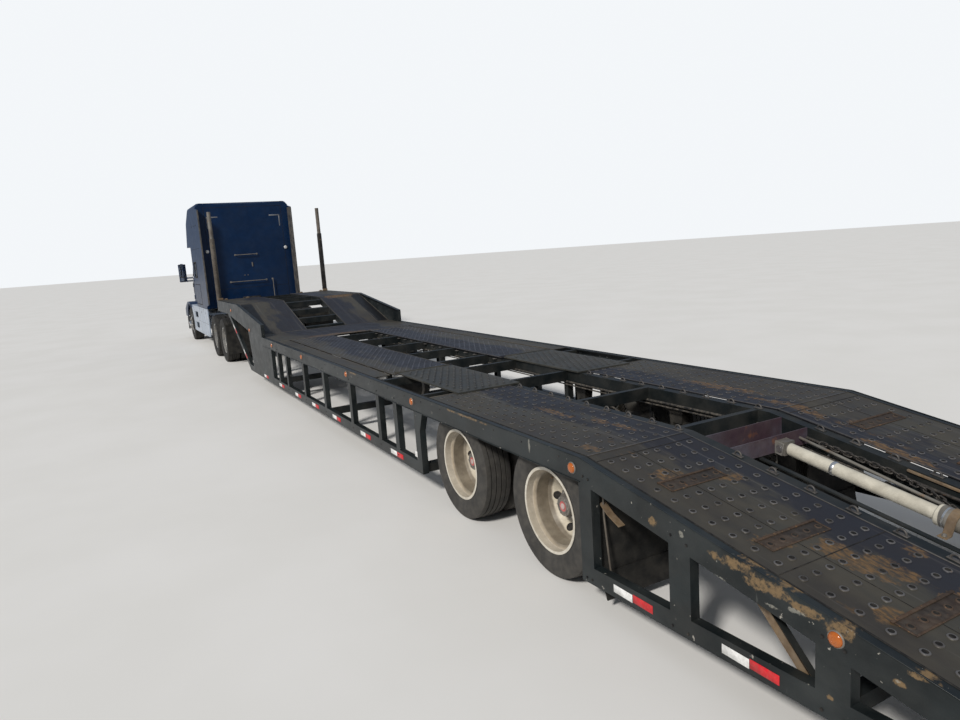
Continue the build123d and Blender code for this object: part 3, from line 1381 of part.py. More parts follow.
# Fender's side profile: distance ahead of the front axle, height
fender_profile = [
    (-335, fender_low_z), (-354, 1110), (-200, 1165), (0, 1185), (300, 1175), (620, 1090), (1085, 930),
    (1110, fender_low_z),
]
fender_points = [(steer_x + ahead, z) for ahead, z in fender_profile]
fender_front_x = fender_points[-1][0]
arm_y_tractor = frame_half_width - frame_flange / 2
with BuildPart() as hood:
    for x, half, low_z, high_z in hood_sections:
        with BuildSketch(Plane(origin=(x, 0, (low_z + high_z) / 2), x_dir=(0, 1, 0), z_dir=(1, 0, 0))):
            RectangleRounded(2 * half, high_z - low_z, 150)
    loft(ruled=True)
    for x, half, low_z, high_z in hood_sections:
        inner_x = x + (-1 if x == hood_rear_x else 0 if x < hood_front_x else -hood_sheet)
        inner_top_z = high_z - hood_sheet
        with BuildSketch(Plane(origin=(inner_x, 0, (low_z - 400 + inner_top_z) / 2), x_dir=(0, 1, 0),
                               z_dir=(1, 0, 0))):
            RectangleRounded(2 * (half - hood_sheet), inner_top_z - low_z + 400, 130)
    loft(ruled=True, mode=Mode.SUBTRACT)
    for s in (1, -1):
        with BuildSketch(side_plane(fender_y if s > 0 else -fender_inner_y)):
            with BuildLine():
                Polyline(*fender_points, close=True)
            make_face()
        extrude(amount=fender_y - fender_inner_y)
        with BuildSketch(side_plane(fender_y - hood_sheet if s > 0 else -fender_inner_y - hood_sheet)):
            with BuildLine():
                Polyline(*fender_points, close=True)
            make_face()
            offset(amount=-hood_sheet, kind=Kind.INTERSECTION, mode=Mode.REPLACE)
            with Locations(((steer_x + fender_front_x) / 2, fender_low_z)):
                Rectangle(fender_front_x - steer_x - 2 * hood_sheet, 2 * hood_sheet + 2)
        extrude(amount=fender_y - fender_inner_y - 2 * hood_sheet, mode=Mode.SUBTRACT)
        with BuildSketch(side_plane(fender_y if s > 0 else -480)):
            with Locations((steer_x, tractor_tyre_radius)):
                Circle(arch_radius)
        extrude(amount=fender_y - 480, mode=Mode.SUBTRACT)
        with Locations((fender_front_x, s * lamp_y, lamp_z)):
            Box(4 * hood_sheet, lamp_width, lamp_height, mode=Mode.SUBTRACT)
        with BuildSketch(side_plane(s * arm_y_tractor + 15)):
            with Locations((hood_hinge_x, hood_hinge_z)):
                Circle(hood_eye_radius)
            with BuildLine():
                Polyline(
                    (hood_hinge_x - hood_eye_radius + 2, hood_hinge_z - 5),
                    (hood_hinge_x - 45, 880), (hood_hinge_x - 16, 880),
                    (hood_hinge_x + 10, hood_hinge_z + hood_eye_radius - 3), close=True,
                )
            make_face()
            with Locations((hood_hinge_x, hood_hinge_z)):
                Circle(hood_pin_radius + running_gap, mode=Mode.SUBTRACT)
        extrude(amount=30)
    with Locations((hood_front_x, 0, grille_z)):
        Box(4 * hood_sheet, grille_width, grille_height, mode=Mode.SUBTRACT)
hood.part.label = "hood"
export_step(hood.part, "parts/hood.step")

# Grille: a frame with level bars in the hood's front opening
with BuildPart() as grille:
    with BuildSketch(Plane.YZ.offset(hood_front_x - hood_sheet)):
        with Locations((0, grille_z)):
            Rectangle(grille_width - 2 * seat_gap, grille_height - 2 * seat_gap)
            Rectangle(grille_width - 2 * grille_frame, grille_height - 2 * grille_frame, mode=Mode.SUBTRACT)
            with GridLocations(0, grille_height / (grille_bars + 1), 1, grille_bars):
                Rectangle(grille_width - grille_frame, 14)
            Rectangle(30, grille_height - grille_frame)
    extrude(amount=hood_sheet + 15)
grille.part.label = "grille"
export_step(grille.part, "parts/grille.step")

# Head lamps in the fenders' fronts
with BuildPart() as head_lamps:
    with Locations(*[(fender_front_x - 15, s * lamp_y, lamp_z) for s in (1, -1)]):
        Box(50, lamp_width - 2 * seat_gap, lamp_height - 2 * seat_gap)
head_lamps.part.label = "head_lamps"
export_step(head_lamps.part, "parts/head_lamps.step")

# Bumper on arms from the frame's front ends, with the hood's hinge forks and pins
with BuildPart() as bumper:
    with BuildSketch(Plane.XY.offset(bumper_z - bumper_height / 2)):
        with BuildLine():
            Polyline(
                (bumper_x - 420, 1200), (bumper_x - 180, 1170), (bumper_x, 900), (bumper_x, -900),
                (bumper_x - 180, -1170), (bumper_x - 420, -1200), (bumper_x - 420, -1200 + bumper_sheet),
                (bumper_x - 200, -1140), (bumper_x - bumper_sheet, -880), (bumper_x - bumper_sheet, 880),
                (bumper_x - 200, 1140), (bumper_x - 420, 1200 - bumper_sheet), close=True,
            )
        make_face()
    extrude(amount=bumper_height)
    for s in (1, -1):
        arm_rear_x = frame_front_x + seat_gap
        with Locations(((arm_rear_x + bumper_x - 20) / 2, s * arm_y_tractor, 700)):
            Box(bumper_x - 20 - arm_rear_x, 80, 120)
        with Locations((bumper_x - 75, s * arm_y_tractor, 650)):
            Box(110, 80, 120)
        for ear_y in (s * arm_y_tractor + 35, s * arm_y_tractor - 20):
            with BuildSketch(side_plane(ear_y)):
                with Locations((hood_hinge_x, hood_hinge_z)):
                    Circle(hood_eye_radius)
                with Locations((hood_hinge_x, (hood_hinge_z + 750) / 2)):
                    Rectangle(2 * hood_eye_radius, hood_hinge_z - 750)
            extrude(amount=15)
        with BuildSketch(side_plane(s * arm_y_tractor + 35)):
            with Locations((hood_hinge_x, hood_hinge_z)):
                Circle(hood_pin_radius)
        extrude(amount=70)
bumper.part.label = "bumper"
export_step(bumper.part, "parts/bumper.step")

# Cab interior: seats, dashboard with its steering wheel, and the bunk
inner_floor_z = cab_floor_z + cab_wall + seat_gap
dash_front_x = cowl_x - cab_wall - seat_gap
dash_rear_x = cab_front_x - 290
dash_half_width = cab_half_width - cab_wall - 12
wheel_centre = Vector(dash_rear_x - 130, seat_y, wheel_z)
with BuildPart() as cab_interior:
    for s in (1, -1):
        with Locations((seat_x, s * seat_y, inner_floor_z + 190)):
            Box(340, 380, 380)
        with Locations((seat_x, s * seat_y, inner_floor_z + 430)):
            Box(520, 500, 120)
        with Locations((seat_x - 230, s * seat_y, inner_floor_z + 830)):
            Box(130, 480, 720)
    with BuildSketch(side_plane(dash_half_width)):
        with BuildLine():
            Polyline(
                (dash_front_x, inner_floor_z), (dash_front_x, 1720), (dash_rear_x + 150, 1790),
                (dash_rear_x, 1730), (dash_rear_x + 60, inner_floor_z + 350),
                (dash_rear_x + 200, inner_floor_z), close=True,
            )
        make_face()
    extrude(amount=2 * dash_half_width)
    column = Plane(origin=wheel_centre, x_dir=(0, 1, 0), z_dir=(-1, 0, 1.2))
    with BuildSketch(column.offset(-260)):
        Circle(30)
    extrude(amount=270)
    with BuildSketch(column):
        Circle(225)
        Circle(200, mode=Mode.SUBTRACT)
        Rectangle(420, 36)
    extrude(amount=26)
    with Locations((sleeper_rear_x + cab_wall + 420, 0, inner_floor_z + 275)):
        Box(800, 2 * (sleeper_half_width - cab_wall - 10), 550)
cab_interior.part.label = "cab_interior"
export_step(cab_interior.part, "parts/cab_interior.step")

# Mud flaps behind the rear drive wheels, on hangers from the frame
hanger_inner_y = frame_half_width + seat_gap
with BuildPart() as drive_mud_flaps:
    for s in (1, -1):
        with Locations((drive_flap_x, s * drive_twin_y, 560)):
            Box(mud_flap_sheet, 2 * drive_flap_half, 660)
        with Locations((drive_flap_x, s * (hanger_inner_y + drive_twin_y + drive_flap_half) / 2, 895)):
            Box(30, drive_twin_y + drive_flap_half - hanger_inner_y, 30)
drive_mud_flaps.part.label = "drive_mud_flaps"
export_step(drive_mud_flaps.part, "parts/drive_mud_flaps.step")
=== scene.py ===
import json
import random
from math import atan2, cos, exp, pi, radians, sin, tan

import bmesh
import bpy
from mathutils import Matrix, Vector


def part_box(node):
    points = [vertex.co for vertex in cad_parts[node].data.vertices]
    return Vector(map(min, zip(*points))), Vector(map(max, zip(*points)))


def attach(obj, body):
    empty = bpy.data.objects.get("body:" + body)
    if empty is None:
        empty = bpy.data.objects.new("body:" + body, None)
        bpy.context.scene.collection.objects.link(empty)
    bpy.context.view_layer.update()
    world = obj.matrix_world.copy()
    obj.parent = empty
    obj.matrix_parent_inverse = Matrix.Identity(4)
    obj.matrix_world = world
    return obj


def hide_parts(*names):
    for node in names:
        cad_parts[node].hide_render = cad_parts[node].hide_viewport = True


bl_info = {
    "name": "Car Transporter Dressing",
    "version": (1, 0, 0),
    "blender": (4, 5, 0),
    "location": "View3D > Sidebar > Transporter",
    "description": "Dresses the car transporter's frame with finishes, tyres, deck detail and fittings",
    "category": "Object",
}

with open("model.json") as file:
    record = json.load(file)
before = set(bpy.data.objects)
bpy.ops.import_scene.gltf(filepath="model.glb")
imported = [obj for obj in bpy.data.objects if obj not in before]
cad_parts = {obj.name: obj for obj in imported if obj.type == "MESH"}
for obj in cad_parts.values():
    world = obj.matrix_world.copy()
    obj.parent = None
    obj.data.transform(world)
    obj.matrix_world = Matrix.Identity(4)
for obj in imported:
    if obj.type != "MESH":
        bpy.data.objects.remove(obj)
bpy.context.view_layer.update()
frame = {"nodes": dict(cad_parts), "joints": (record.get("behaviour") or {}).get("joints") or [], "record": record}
SIDES = (("left", 1), ("right", -1))


def joint_x(name):
    """Place along the lorry of a joint of the frame."""
    return next(j["pos_m"][0] for j in frame["joints"] if j["name"] == name)


# Places on the trailer, in metres
REAR_AXLE = joint_x("roll_rear_left")
FRONT_AXLE = joint_x("roll_front_left")
TAIL_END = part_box("deck_plates")[0].x
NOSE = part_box("deck_plates")[1].x
RAIL_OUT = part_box("side_frame_left")[1].y
RAIL_LOW = 0.235
DECK_Z = 0.965
KNEE = REAR_AXLE - 0.49
WHEEL_PLATE_END = -7.256
MAIN_TRACK = (-5.845, -1.40)
SLOPE_FOOT = 0.05
SLOPE_HEAD = 1.70
NECK_Z = 1.45
LEG_FOOT = (0.90, RAIL_LOW)
LEG_HEAD = (2.85, 1.215)
TAIL_SLOPE = radians(9.4)
TAIL_LOW_SLOPE = radians(1.9)
TRACK_MIDDLE = 0.8415
TRACK_INNER = 0.4545
POST_Y = 1.235

# Places on the tractor, in metres
SLEEPER_BACK = 6.8
SLEEPER_HALF = 1.19
CAB_REAR = 8.70
CAB_FRONT = 10.26
CAB_HALF = 1.05
CAB_FLOOR = 1.1753
FAIRING_HALF = 1.175
DRIVE_AXLES = (4.40, 5.72)
HOOD_REAR, HOOD_RUN, HOOD_DRAW = 10.396, 0.604, 0.10
TANK_Y, TANK_Z = 0.81, 0.72

# How far a thin trim stands in and out of the face that it lies on
TRIM_IN, TRIM_OUT = 0.001, 0.0012


def deck_top(x):
    """Height of the deck's upper face at x, from the tail to the slope's foot."""
    return DECK_Z - max(0.0, KNEE - x) * tan(TAIL_SLOPE)


def tail_low(x):
    """Height of the tail's lower edge at x."""
    return 0.17 + (REAR_AXLE - x) * tan(TAIL_LOW_SLOPE)


def hood_half(x):
    """Half the width at x of the hood's rear part, which draws in towards its front."""
    return 1.03 - HOOD_DRAW * (x - HOOD_REAR) / HOOD_RUN


# Mesh helpers


def basis(axis):
    """Two unit vectors square to axis and to each other."""
    axis = Vector(axis).normalized()
    side = Vector((0, 0, 1)) if abs(axis.z) < 0.9 else Vector((1, 0, 0))
    first = axis.cross(side).normalized()
    return first, axis.cross(first)


def bridge(bm, low, high, slot):
    """Joins two equal rings of vertices with quads; a ring of one vertex makes a fan."""
    count = max(len(low), len(high))
    for i in range(count):
        j = (i + 1) % count
        corners = []
        for vertex in (low[i % len(low)], low[j % len(low)], high[j % len(high)], high[i % len(high)]):
            if vertex not in corners:
                corners.append(vertex)
        if len(corners) > 2:
            bm.faces.new(corners).material_index = slot


def lathe(bm, profile, origin, axis, count=24, slot=0, slots=None):
    """Turns a profile of (radius, distance along the axis) round the axis through origin."""
    origin, axis = Vector(origin), Vector(axis).normalized()
    first, second = basis(axis)
    rings = []
    for radius, along in profile:
        middle = origin + axis * along
        if radius < 1e-6:
            rings.append([bm.verts.new(middle)])
            continue
        ring = []
        for i in range(count):
            turn = 2 * pi * i / count
            ring.append(bm.verts.new(middle + (first * cos(turn) + second * sin(turn)) * radius))
        rings.append(ring)
    for index, (low, high) in enumerate(zip(rings, rings[1:])):
        bridge(bm, low, high, slots[index] if slots else slot)


def block(bm, centre, size, chamfer=0.004, slot=0, turn=None):
    """A box with chamfered edges and corners, turned by a matrix about its centre."""
    centre, half = Vector(centre), [s / 2 for s in size]
    cut = min(chamfer, min(half) * 0.49)
    corners = {}
    signs = (-1, 1)
    for sx in signs:
        for sy in signs:
            for sz in signs:
                for flat in range(3):
                    place = Vector([
                        s * (h if axis == flat else h - cut)
                        for axis, (s, h) in enumerate(zip((sx, sy, sz), half))
                    ])
                    if turn is not None:
                        place = turn @ place
                    corners[sx, sy, sz, flat] = bm.verts.new(centre + place)
    faces = []
    for sx in signs:
        faces.append([corners[sx, y, z, 0] for y, z in ((-1, -1), (1, -1), (1, 1), (-1, 1))])
        faces.append([corners[x, sx, z, 1] for x, z in ((-1, -1), (1, -1), (1, 1), (-1, 1))])
        faces.append([corners[x, y, sx, 2] for x, y in ((-1, -1), (1, -1), (1, 1), (-1, 1))])
        for sy in signs:
            faces.append([corners[sx, sy, -1, 0], corners[sx, sy, 1, 0], corners[sx, sy, 1, 1],
                          corners[sx, sy, -1, 1]])
            faces.append([corners[sx, -1, sy, 0], corners[sx, 1, sy, 0], corners[sx, 1, sy, 2],
                          corners[sx, -1, sy, 2]])
            faces.append([corners[-1, sx, sy, 1], corners[1, sx, sy, 1], corners[1, sx, sy, 2],
                          corners[-1, sx, sy, 2]])
            for sz in signs:
                faces.append([corners[sx, sy, sz, flat] for flat in range(3)])
    for face in faces:
        bm.faces.new(face).material_index = slot


def span(bm, low, high, chamfer=0.004, slot=0):
    """A chamfered box between two corners."""
    low, high = Vector(low), Vector(high)
    block(bm, (low + high) / 2, [abs(d) for d in high - low], chamfer, slot)


def trim(bm, face, s, low, high, proud=TRIM_OUT, chamfer=0.0006, slot=0):
    """A thin span on the side face at y, on the left where s is 1, between two points given as x and z."""
    span(bm, (low[0], face - s * TRIM_IN, low[1]), (high[0], face + s * proud, high[1]), chamfer, slot)


def slab(bm, outline, depth, slot=0):
    """A plate whose outline is a list of points, thickened by the vector depth."""
    near = [bm.verts.new(Vector(point)) for point in outline]
    far = [bm.verts.new(Vector(point) + Vector(depth)) for point in outline]
    bm.faces.new(near).material_index = slot
    bm.faces.new(far).material_index = slot
    bridge(bm, near, far, slot)


def tube(bm, points, radius, count=10, slot=0, closed=False):
    """A round bar along a list of points."""
    points = [Vector(point) for point in points]
    total = len(points)
    first, second = None, None
    rings = []
    for i, point in enumerate(points):
        before = points[(i - 1) % total] if closed or i else point
        after = points[(i + 1) % total] if closed or i < total - 1 else point
        along = (after - before).normalized()
        if first is None:
            first, second = basis(along)
        else:
            first = (first - along * first.dot(along)).normalized()
            second = along.cross(first)
        rings.append([
            bm.verts.new(point + (first * cos(2 * pi * k / count) + second * sin(2 * pi * k / count)) * radius)
            for k in range(count)
        ])
    for low, high in zip(rings, rings[1:]):
        bridge(bm, low, high, slot)
    if closed:
        bridge(bm, rings[-1], rings[0], slot)
    else:
        bm.faces.new(rings[0]).material_index = slot
        bm.faces.new(rings[-1]).material_index = slot


def arc(centre, radius, start, end, count):
    """Points on an arc in the xz plane, from start to end in degrees."""
    turns = [radians(start + (end - start) * i / count) for i in range(count + 1)]
    return [Vector(centre) + Vector((cos(turn) * radius, 0, sin(turn) * radius)) for turn in turns]


def bolt(bm, place, axis, across=0.024, height=0.014, slot=0, stud=0.0):
    """A hexagon head with a washer, and a stud through it where one shows."""
    radius = across / 2 / cos(pi / 6)
    lathe(bm, [(0, 0), (radius * 1.25, 0), (radius * 1.25, 0.003), (0, 0.003)], place, axis, 12, slot)
    lathe(bm, [(radius, 0.003), (radius, height * 0.85), (radius * 0.8, height), (0, height)],
          place, axis, 6, slot)
    if stud:
        lathe(bm, [(across * 0.28, height * 0.9), (across * 0.28, height + stud), (0, height + stud)],
              place, axis, 8, slot)


def mesh_of(name, bm, finishes, angle=35):
    """Turns a bmesh into a mesh with its finishes and sharp edges."""
    bmesh.ops.recalc_face_normals(bm, faces=bm.faces)
    mesh = bpy.data.meshes.new(name)
    bm.to_mesh(mesh)
    bm.free()
    for finish in finishes:
        mesh.materials.append(finish)
    mesh.shade_smooth()
    mesh.set_sharp_from_angle(angle=radians(angle))
    return mesh


def put(name, data):
    """A new object of the scene that shows the data."""
    item = bpy.data.objects.new(name, data)
    bpy.context.scene.collection.objects.link(item)
    return item


def make_piece(name, bm, finishes, body, angle=35, stands_for=()):
    """Turns a bmesh into a named piece with the given finishes that rides on a body, and hides the parts that it
    stands for.
    """
    piece = put(name, mesh_of(name, bm, finishes, angle))
    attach(piece, body)
    if stands_for:
        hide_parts(*stands_for)
    return piece


def wheel_ends():
    """The name, place and joint of each wheel end that rolls."""
    for joint in frame["joints"]:
        if joint["name"].startswith("roll_"):
            yield joint["name"][5:], joint["pos_m"], joint


# Shader helpers


def feed(tree, socket, value):
    """Links an output to a socket, or sets the socket's value; a colour comes without its alpha."""
    if isinstance(value, bpy.types.NodeSocket):
        tree.links.new(value, socket)
    elif socket.type == "RGBA" and len(value) == 3:
        socket.default_value = (*value, 1.0)
    else:
        socket.default_value = value


def add_node(tree, kind, inputs=None, **settings):
    """Adds a node; its inputs take values or other nodes' outputs."""
    new = tree.nodes.new(kind)
    for key, value in settings.items():
        setattr(new, key, value)
    for key, value in (inputs or {}).items():
        feed(tree, new.inputs[key], value)
    return new


def calc(tree, operation, first, second=0.0, clamp=False):
    """The result of a Math node."""
    return add_node(tree, "ShaderNodeMath", {0: first, 1: second}, operation=operation, use_clamp=clamp).outputs[0]


def times(tree, first, second, clamp=False):
    """The product of two values."""
    return calc(tree, "MULTIPLY", first, second, clamp)


def plus(tree, first, second, clamp=False):
    """The sum of two values."""
    return calc(tree, "ADD", first, second, clamp)


def minus(tree, first, second, clamp=False):
    """The difference of two values."""
    return calc(tree, "SUBTRACT", first, second, clamp)


def vector_calc(tree, operation, first, second):
    """The vector that a Vector Math node gives."""
    return add_node(tree, "ShaderNodeVectorMath", {0: first, 1: second}, operation=operation).outputs[0]


def place_on(tree):
    """Object coordinates, which move with the piece."""
    return add_node(tree, "ShaderNodeTexCoord").outputs["Object"]


def split(tree, vector):
    """The three parts of a vector."""
    return add_node(tree, "ShaderNodeSeparateXYZ", {0: vector}).outputs


def mix(tree, share, first, second):
    """The result of mixing two colours."""
    return add_node(tree, "ShaderNodeMix", {0: share, 6: first, 7: second}, data_type="RGBA").outputs[2]


def step(tree, value, low, high, to_low=0.0, to_high=1.0):
    """A smooth step of a value between two levels."""
    return add_node(tree, "ShaderNodeMapRange", {
        "Value": value, "From Min": low, "From Max": high, "To Min": to_low, "To Max": to_high,
    }, interpolation_type="SMOOTHSTEP").outputs["Result"]


def noise(tree, vector, scale, detail=4.0, rough=0.55):
    """The value of a noise texture."""
    return add_node(tree, "ShaderNodeTexNoise", {
        "Vector": vector, "Scale": scale, "Detail": detail, "Roughness": rough,
    }).outputs["Fac"]


def cells(tree, vector, scale):
    """The distance to the middle of a cell texture's cells."""
    return add_node(tree, "ShaderNodeTexVoronoi", {"Vector": vector, "Scale": scale}).outputs["Distance"]


def shade(tree, colour, value, low, gain):
    """A colour whose lightness follows a value, as low + gain times the value."""
    level = plus(tree, low, times(tree, value, gain))
    return add_node(tree, "ShaderNodeHueSaturation", {"Color": colour, "Value": level}).outputs["Color"]


def group_tree(name, inputs, outputs):
    """A new shader node group with named sockets."""
    tree = bpy.data.node_groups.new(name, "ShaderNodeTree")
    for label, kind, default in inputs:
        socket = tree.interface.new_socket(name=label, in_out="INPUT", socket_type=kind)
        socket.default_value = default
    for label, kind in outputs:
        tree.interface.new_socket(name=label, in_out="OUTPUT", socket_type=kind)
    return tree, tree.nodes.new("NodeGroupInput").outputs, tree.nodes.new("NodeGroupOutput").inputs


COLOUR, VALUE, VECTOR = "NodeSocketColor", "NodeSocketFloat", "NodeSocketVector"
GREY = (0.5, 0.5, 0.5, 1.0)


def weathered_surface(name):
    """Group: paint with tint patches, rust and dust, and the roughness and relief that go with them."""
    tree, given, out = group_tree(name, [
        ("Paint", COLOUR, GREY), ("Tint", COLOUR, GREY), ("Rust", COLOUR, GREY), ("Dust", COLOUR, GREY),
        ("Tint Amount", VALUE, 0.5), ("Rust Amount", VALUE, 0.3), ("Dust Amount", VALUE, 0.3),
        ("Scale", VALUE, 1.0), ("Stretch", VALUE, 1.0), ("Gloss", VALUE, 0.5),
    ], [("Color", COLOUR), ("Roughness", VALUE), ("Height", VALUE), ("Rust Mask", VALUE)])
    stretch = add_node(tree, "ShaderNodeCombineXYZ", {0: given["Stretch"], 1: 1.0, 2: 1.0}).outputs[0]
    place = vector_calc(tree, "MULTIPLY", place_on(tree), stretch)
    far = vector_calc(tree, "ADD", place, (7.3, 3.1, 5.7))
    scale = given["Scale"]
    large = noise(tree, place, times(tree, scale, 0.9))
    medium = noise(tree, place, times(tree, scale, 6.0), 6.0, 0.65)
    other = noise(tree, far, times(tree, scale, 2.2), 5.0, 0.6)
    fine = noise(tree, place, times(tree, scale, 70.0), 3.0, 0.6)
    film = noise(tree, far, times(tree, scale, 3.3), 6.0)
    tint = times(tree, step(tree, large, 0.42, 0.62), given["Tint Amount"])
    colour = shade(tree, mix(tree, tint, given["Paint"], given["Tint"]), medium, 0.62, 0.75)
    field = plus(tree, times(tree, other, 0.62), times(tree, medium, 0.38))
    level = minus(tree, 0.78, times(tree, given["Rust Amount"], 0.42))
    rust = times(tree, minus(tree, field, level), 14.0, True)
    colour = mix(tree, rust, colour, shade(tree, given["Rust"], fine, 0.45, 1.1))
    dust = times(tree, step(tree, film, 0.3, 0.75), given["Dust Amount"])
    dull = times(tree, calc(tree, "MAXIMUM", rust, dust), minus(tree, 0.88, given["Gloss"]))
    uneven = times(tree, minus(tree, medium, 0.5), 0.18)
    for key, value in (("Color", mix(tree, dust, colour, given["Dust"])), ("Rust Mask", rust),
                       ("Roughness", plus(tree, plus(tree, given["Gloss"], dull), uneven, True)),
                       ("Height", plus(tree, times(tree, rust, 0.5), times(tree, fine, 0.35)))):
        tree.links.new(value, out[key])
    return tree


def surface_grain(name):
    """Group: the height of a fine moulded grain for rubber."""
    tree, given, out = group_tree(name, [("Scale", VALUE, 200.0)], [("Height", VALUE)])
    place = place_on(tree)
    soft = noise(tree, place, times(tree, given["Scale"], 0.35), 4.0)
    both = plus(tree, times(tree, cells(tree, place, given["Scale"]), 0.5), times(tree, soft, 0.6))
    tree.links.new(both, out["Height"])
    return tree


def axle_distance(name):
    """Group: distance from an axle's centre line in the side view, in metres."""
    tree, given, out = group_tree(name, [("Centre X", VALUE, 0.0), ("Centre Z", VALUE, 0.5)], [("Radius", VALUE)])
    parts = split(tree, place_on(tree))
    dx, dz = minus(tree, parts[0], given["Centre X"]), minus(tree, parts[2], given["Centre Z"])
    square = plus(tree, times(tree, dx, dx), times(tree, dz, dz))
    tree.links.new(calc(tree, "SQRT", square), out["Radius"])
    return tree


def worn_patch(name):
    """Group: a ragged patch round a centre, one inside it and nought outside."""
    tree, given, out = group_tree(name, [
        ("Centre", VECTOR, (0, 0, 0)), ("Half Size", VECTOR, (1, 1, 1)), ("Ragged", VALUE, 0.9),
    ], [("Mask", VALUE)])
    place = place_on(tree)
    share = vector_calc(tree, "DIVIDE", vector_calc(tree, "SUBTRACT", place, given["Centre"]), given["Half Size"])
    length = add_node(tree, "ShaderNodeVectorMath", {0: share}, operation="LENGTH").outputs["Value"]
    coarse = minus(tree, noise(tree, place, 11.0, 6.0, 0.7), 0.5)
    rough = times(tree, coarse, times(tree, given["Ragged"], 4.0))
    tree.links.new(step(tree, plus(tree, length, rough), 1.08, 0.72), out["Mask"])
    return tree


GROUPS = {"Weathered Surface": weathered_surface, "Surface Grain": surface_grain, "Axle Distance": axle_distance,
          "Worn Patch": worn_patch}


def group_node(tree, name, inputs=None):
    """The outputs of a new node of one of the groups above, which is made when first asked for."""
    group = bpy.data.node_groups.get(name) or GROUPS[name](name)
    return add_node(tree, "ShaderNodeGroup", inputs, node_tree=group).outputs


def worn_paint(tree, **values):
    """The outputs of a weathered surface; its colours and amounts are given by name."""
    return group_node(tree, "Weathered Surface", {key.replace("_", " ").title(): values[key] for key in values})


def patches(tree, places, ragged):
    """The union of ragged patches, given as centres and half sizes."""
    total = None
    for centre, half in places:
        mask = group_node(tree, "Worn Patch", {"Centre": centre, "Half Size": half, "Ragged": ragged})["Mask"]
        total = mask if total is None else calc(tree, "MAXIMUM", total, mask)
    return total


def new_finish(name, metallic=0.0, coat=0.0, transmission=0.0, specular=0.35):
    """A material with its Principled shader, whose constant values are set on its own sockets."""
    finish = bpy.data.materials.new(name)
    finish.use_nodes = True
    tree = finish.node_tree
    shader = tree.nodes["Principled BSDF"]
    for key, value in (("Metallic", metallic), ("Specular IOR Level", specular), ("Coat Weight", coat),
                       ("Coat Roughness", 0.12), ("Transmission Weight", transmission), ("IOR", 1.45)):
        shader.inputs[key].default_value = value
    return finish, tree, shader


def wire(tree, shader, colour, rough, height=None, strength=0.3, distance=0.004):
    """Gives a Principled shader its colour, its roughness and, as a bump, its height."""
    feed(tree, shader.inputs["Base Color"], colour)
    feed(tree, shader.inputs["Roughness"], rough)
    if height is not None:
        bump = add_node(tree, "ShaderNodeBump", {"Height": height, "Strength": strength, "Distance": distance})
        tree.links.new(bump.outputs[0], shader.inputs["Normal"])


# Finishes

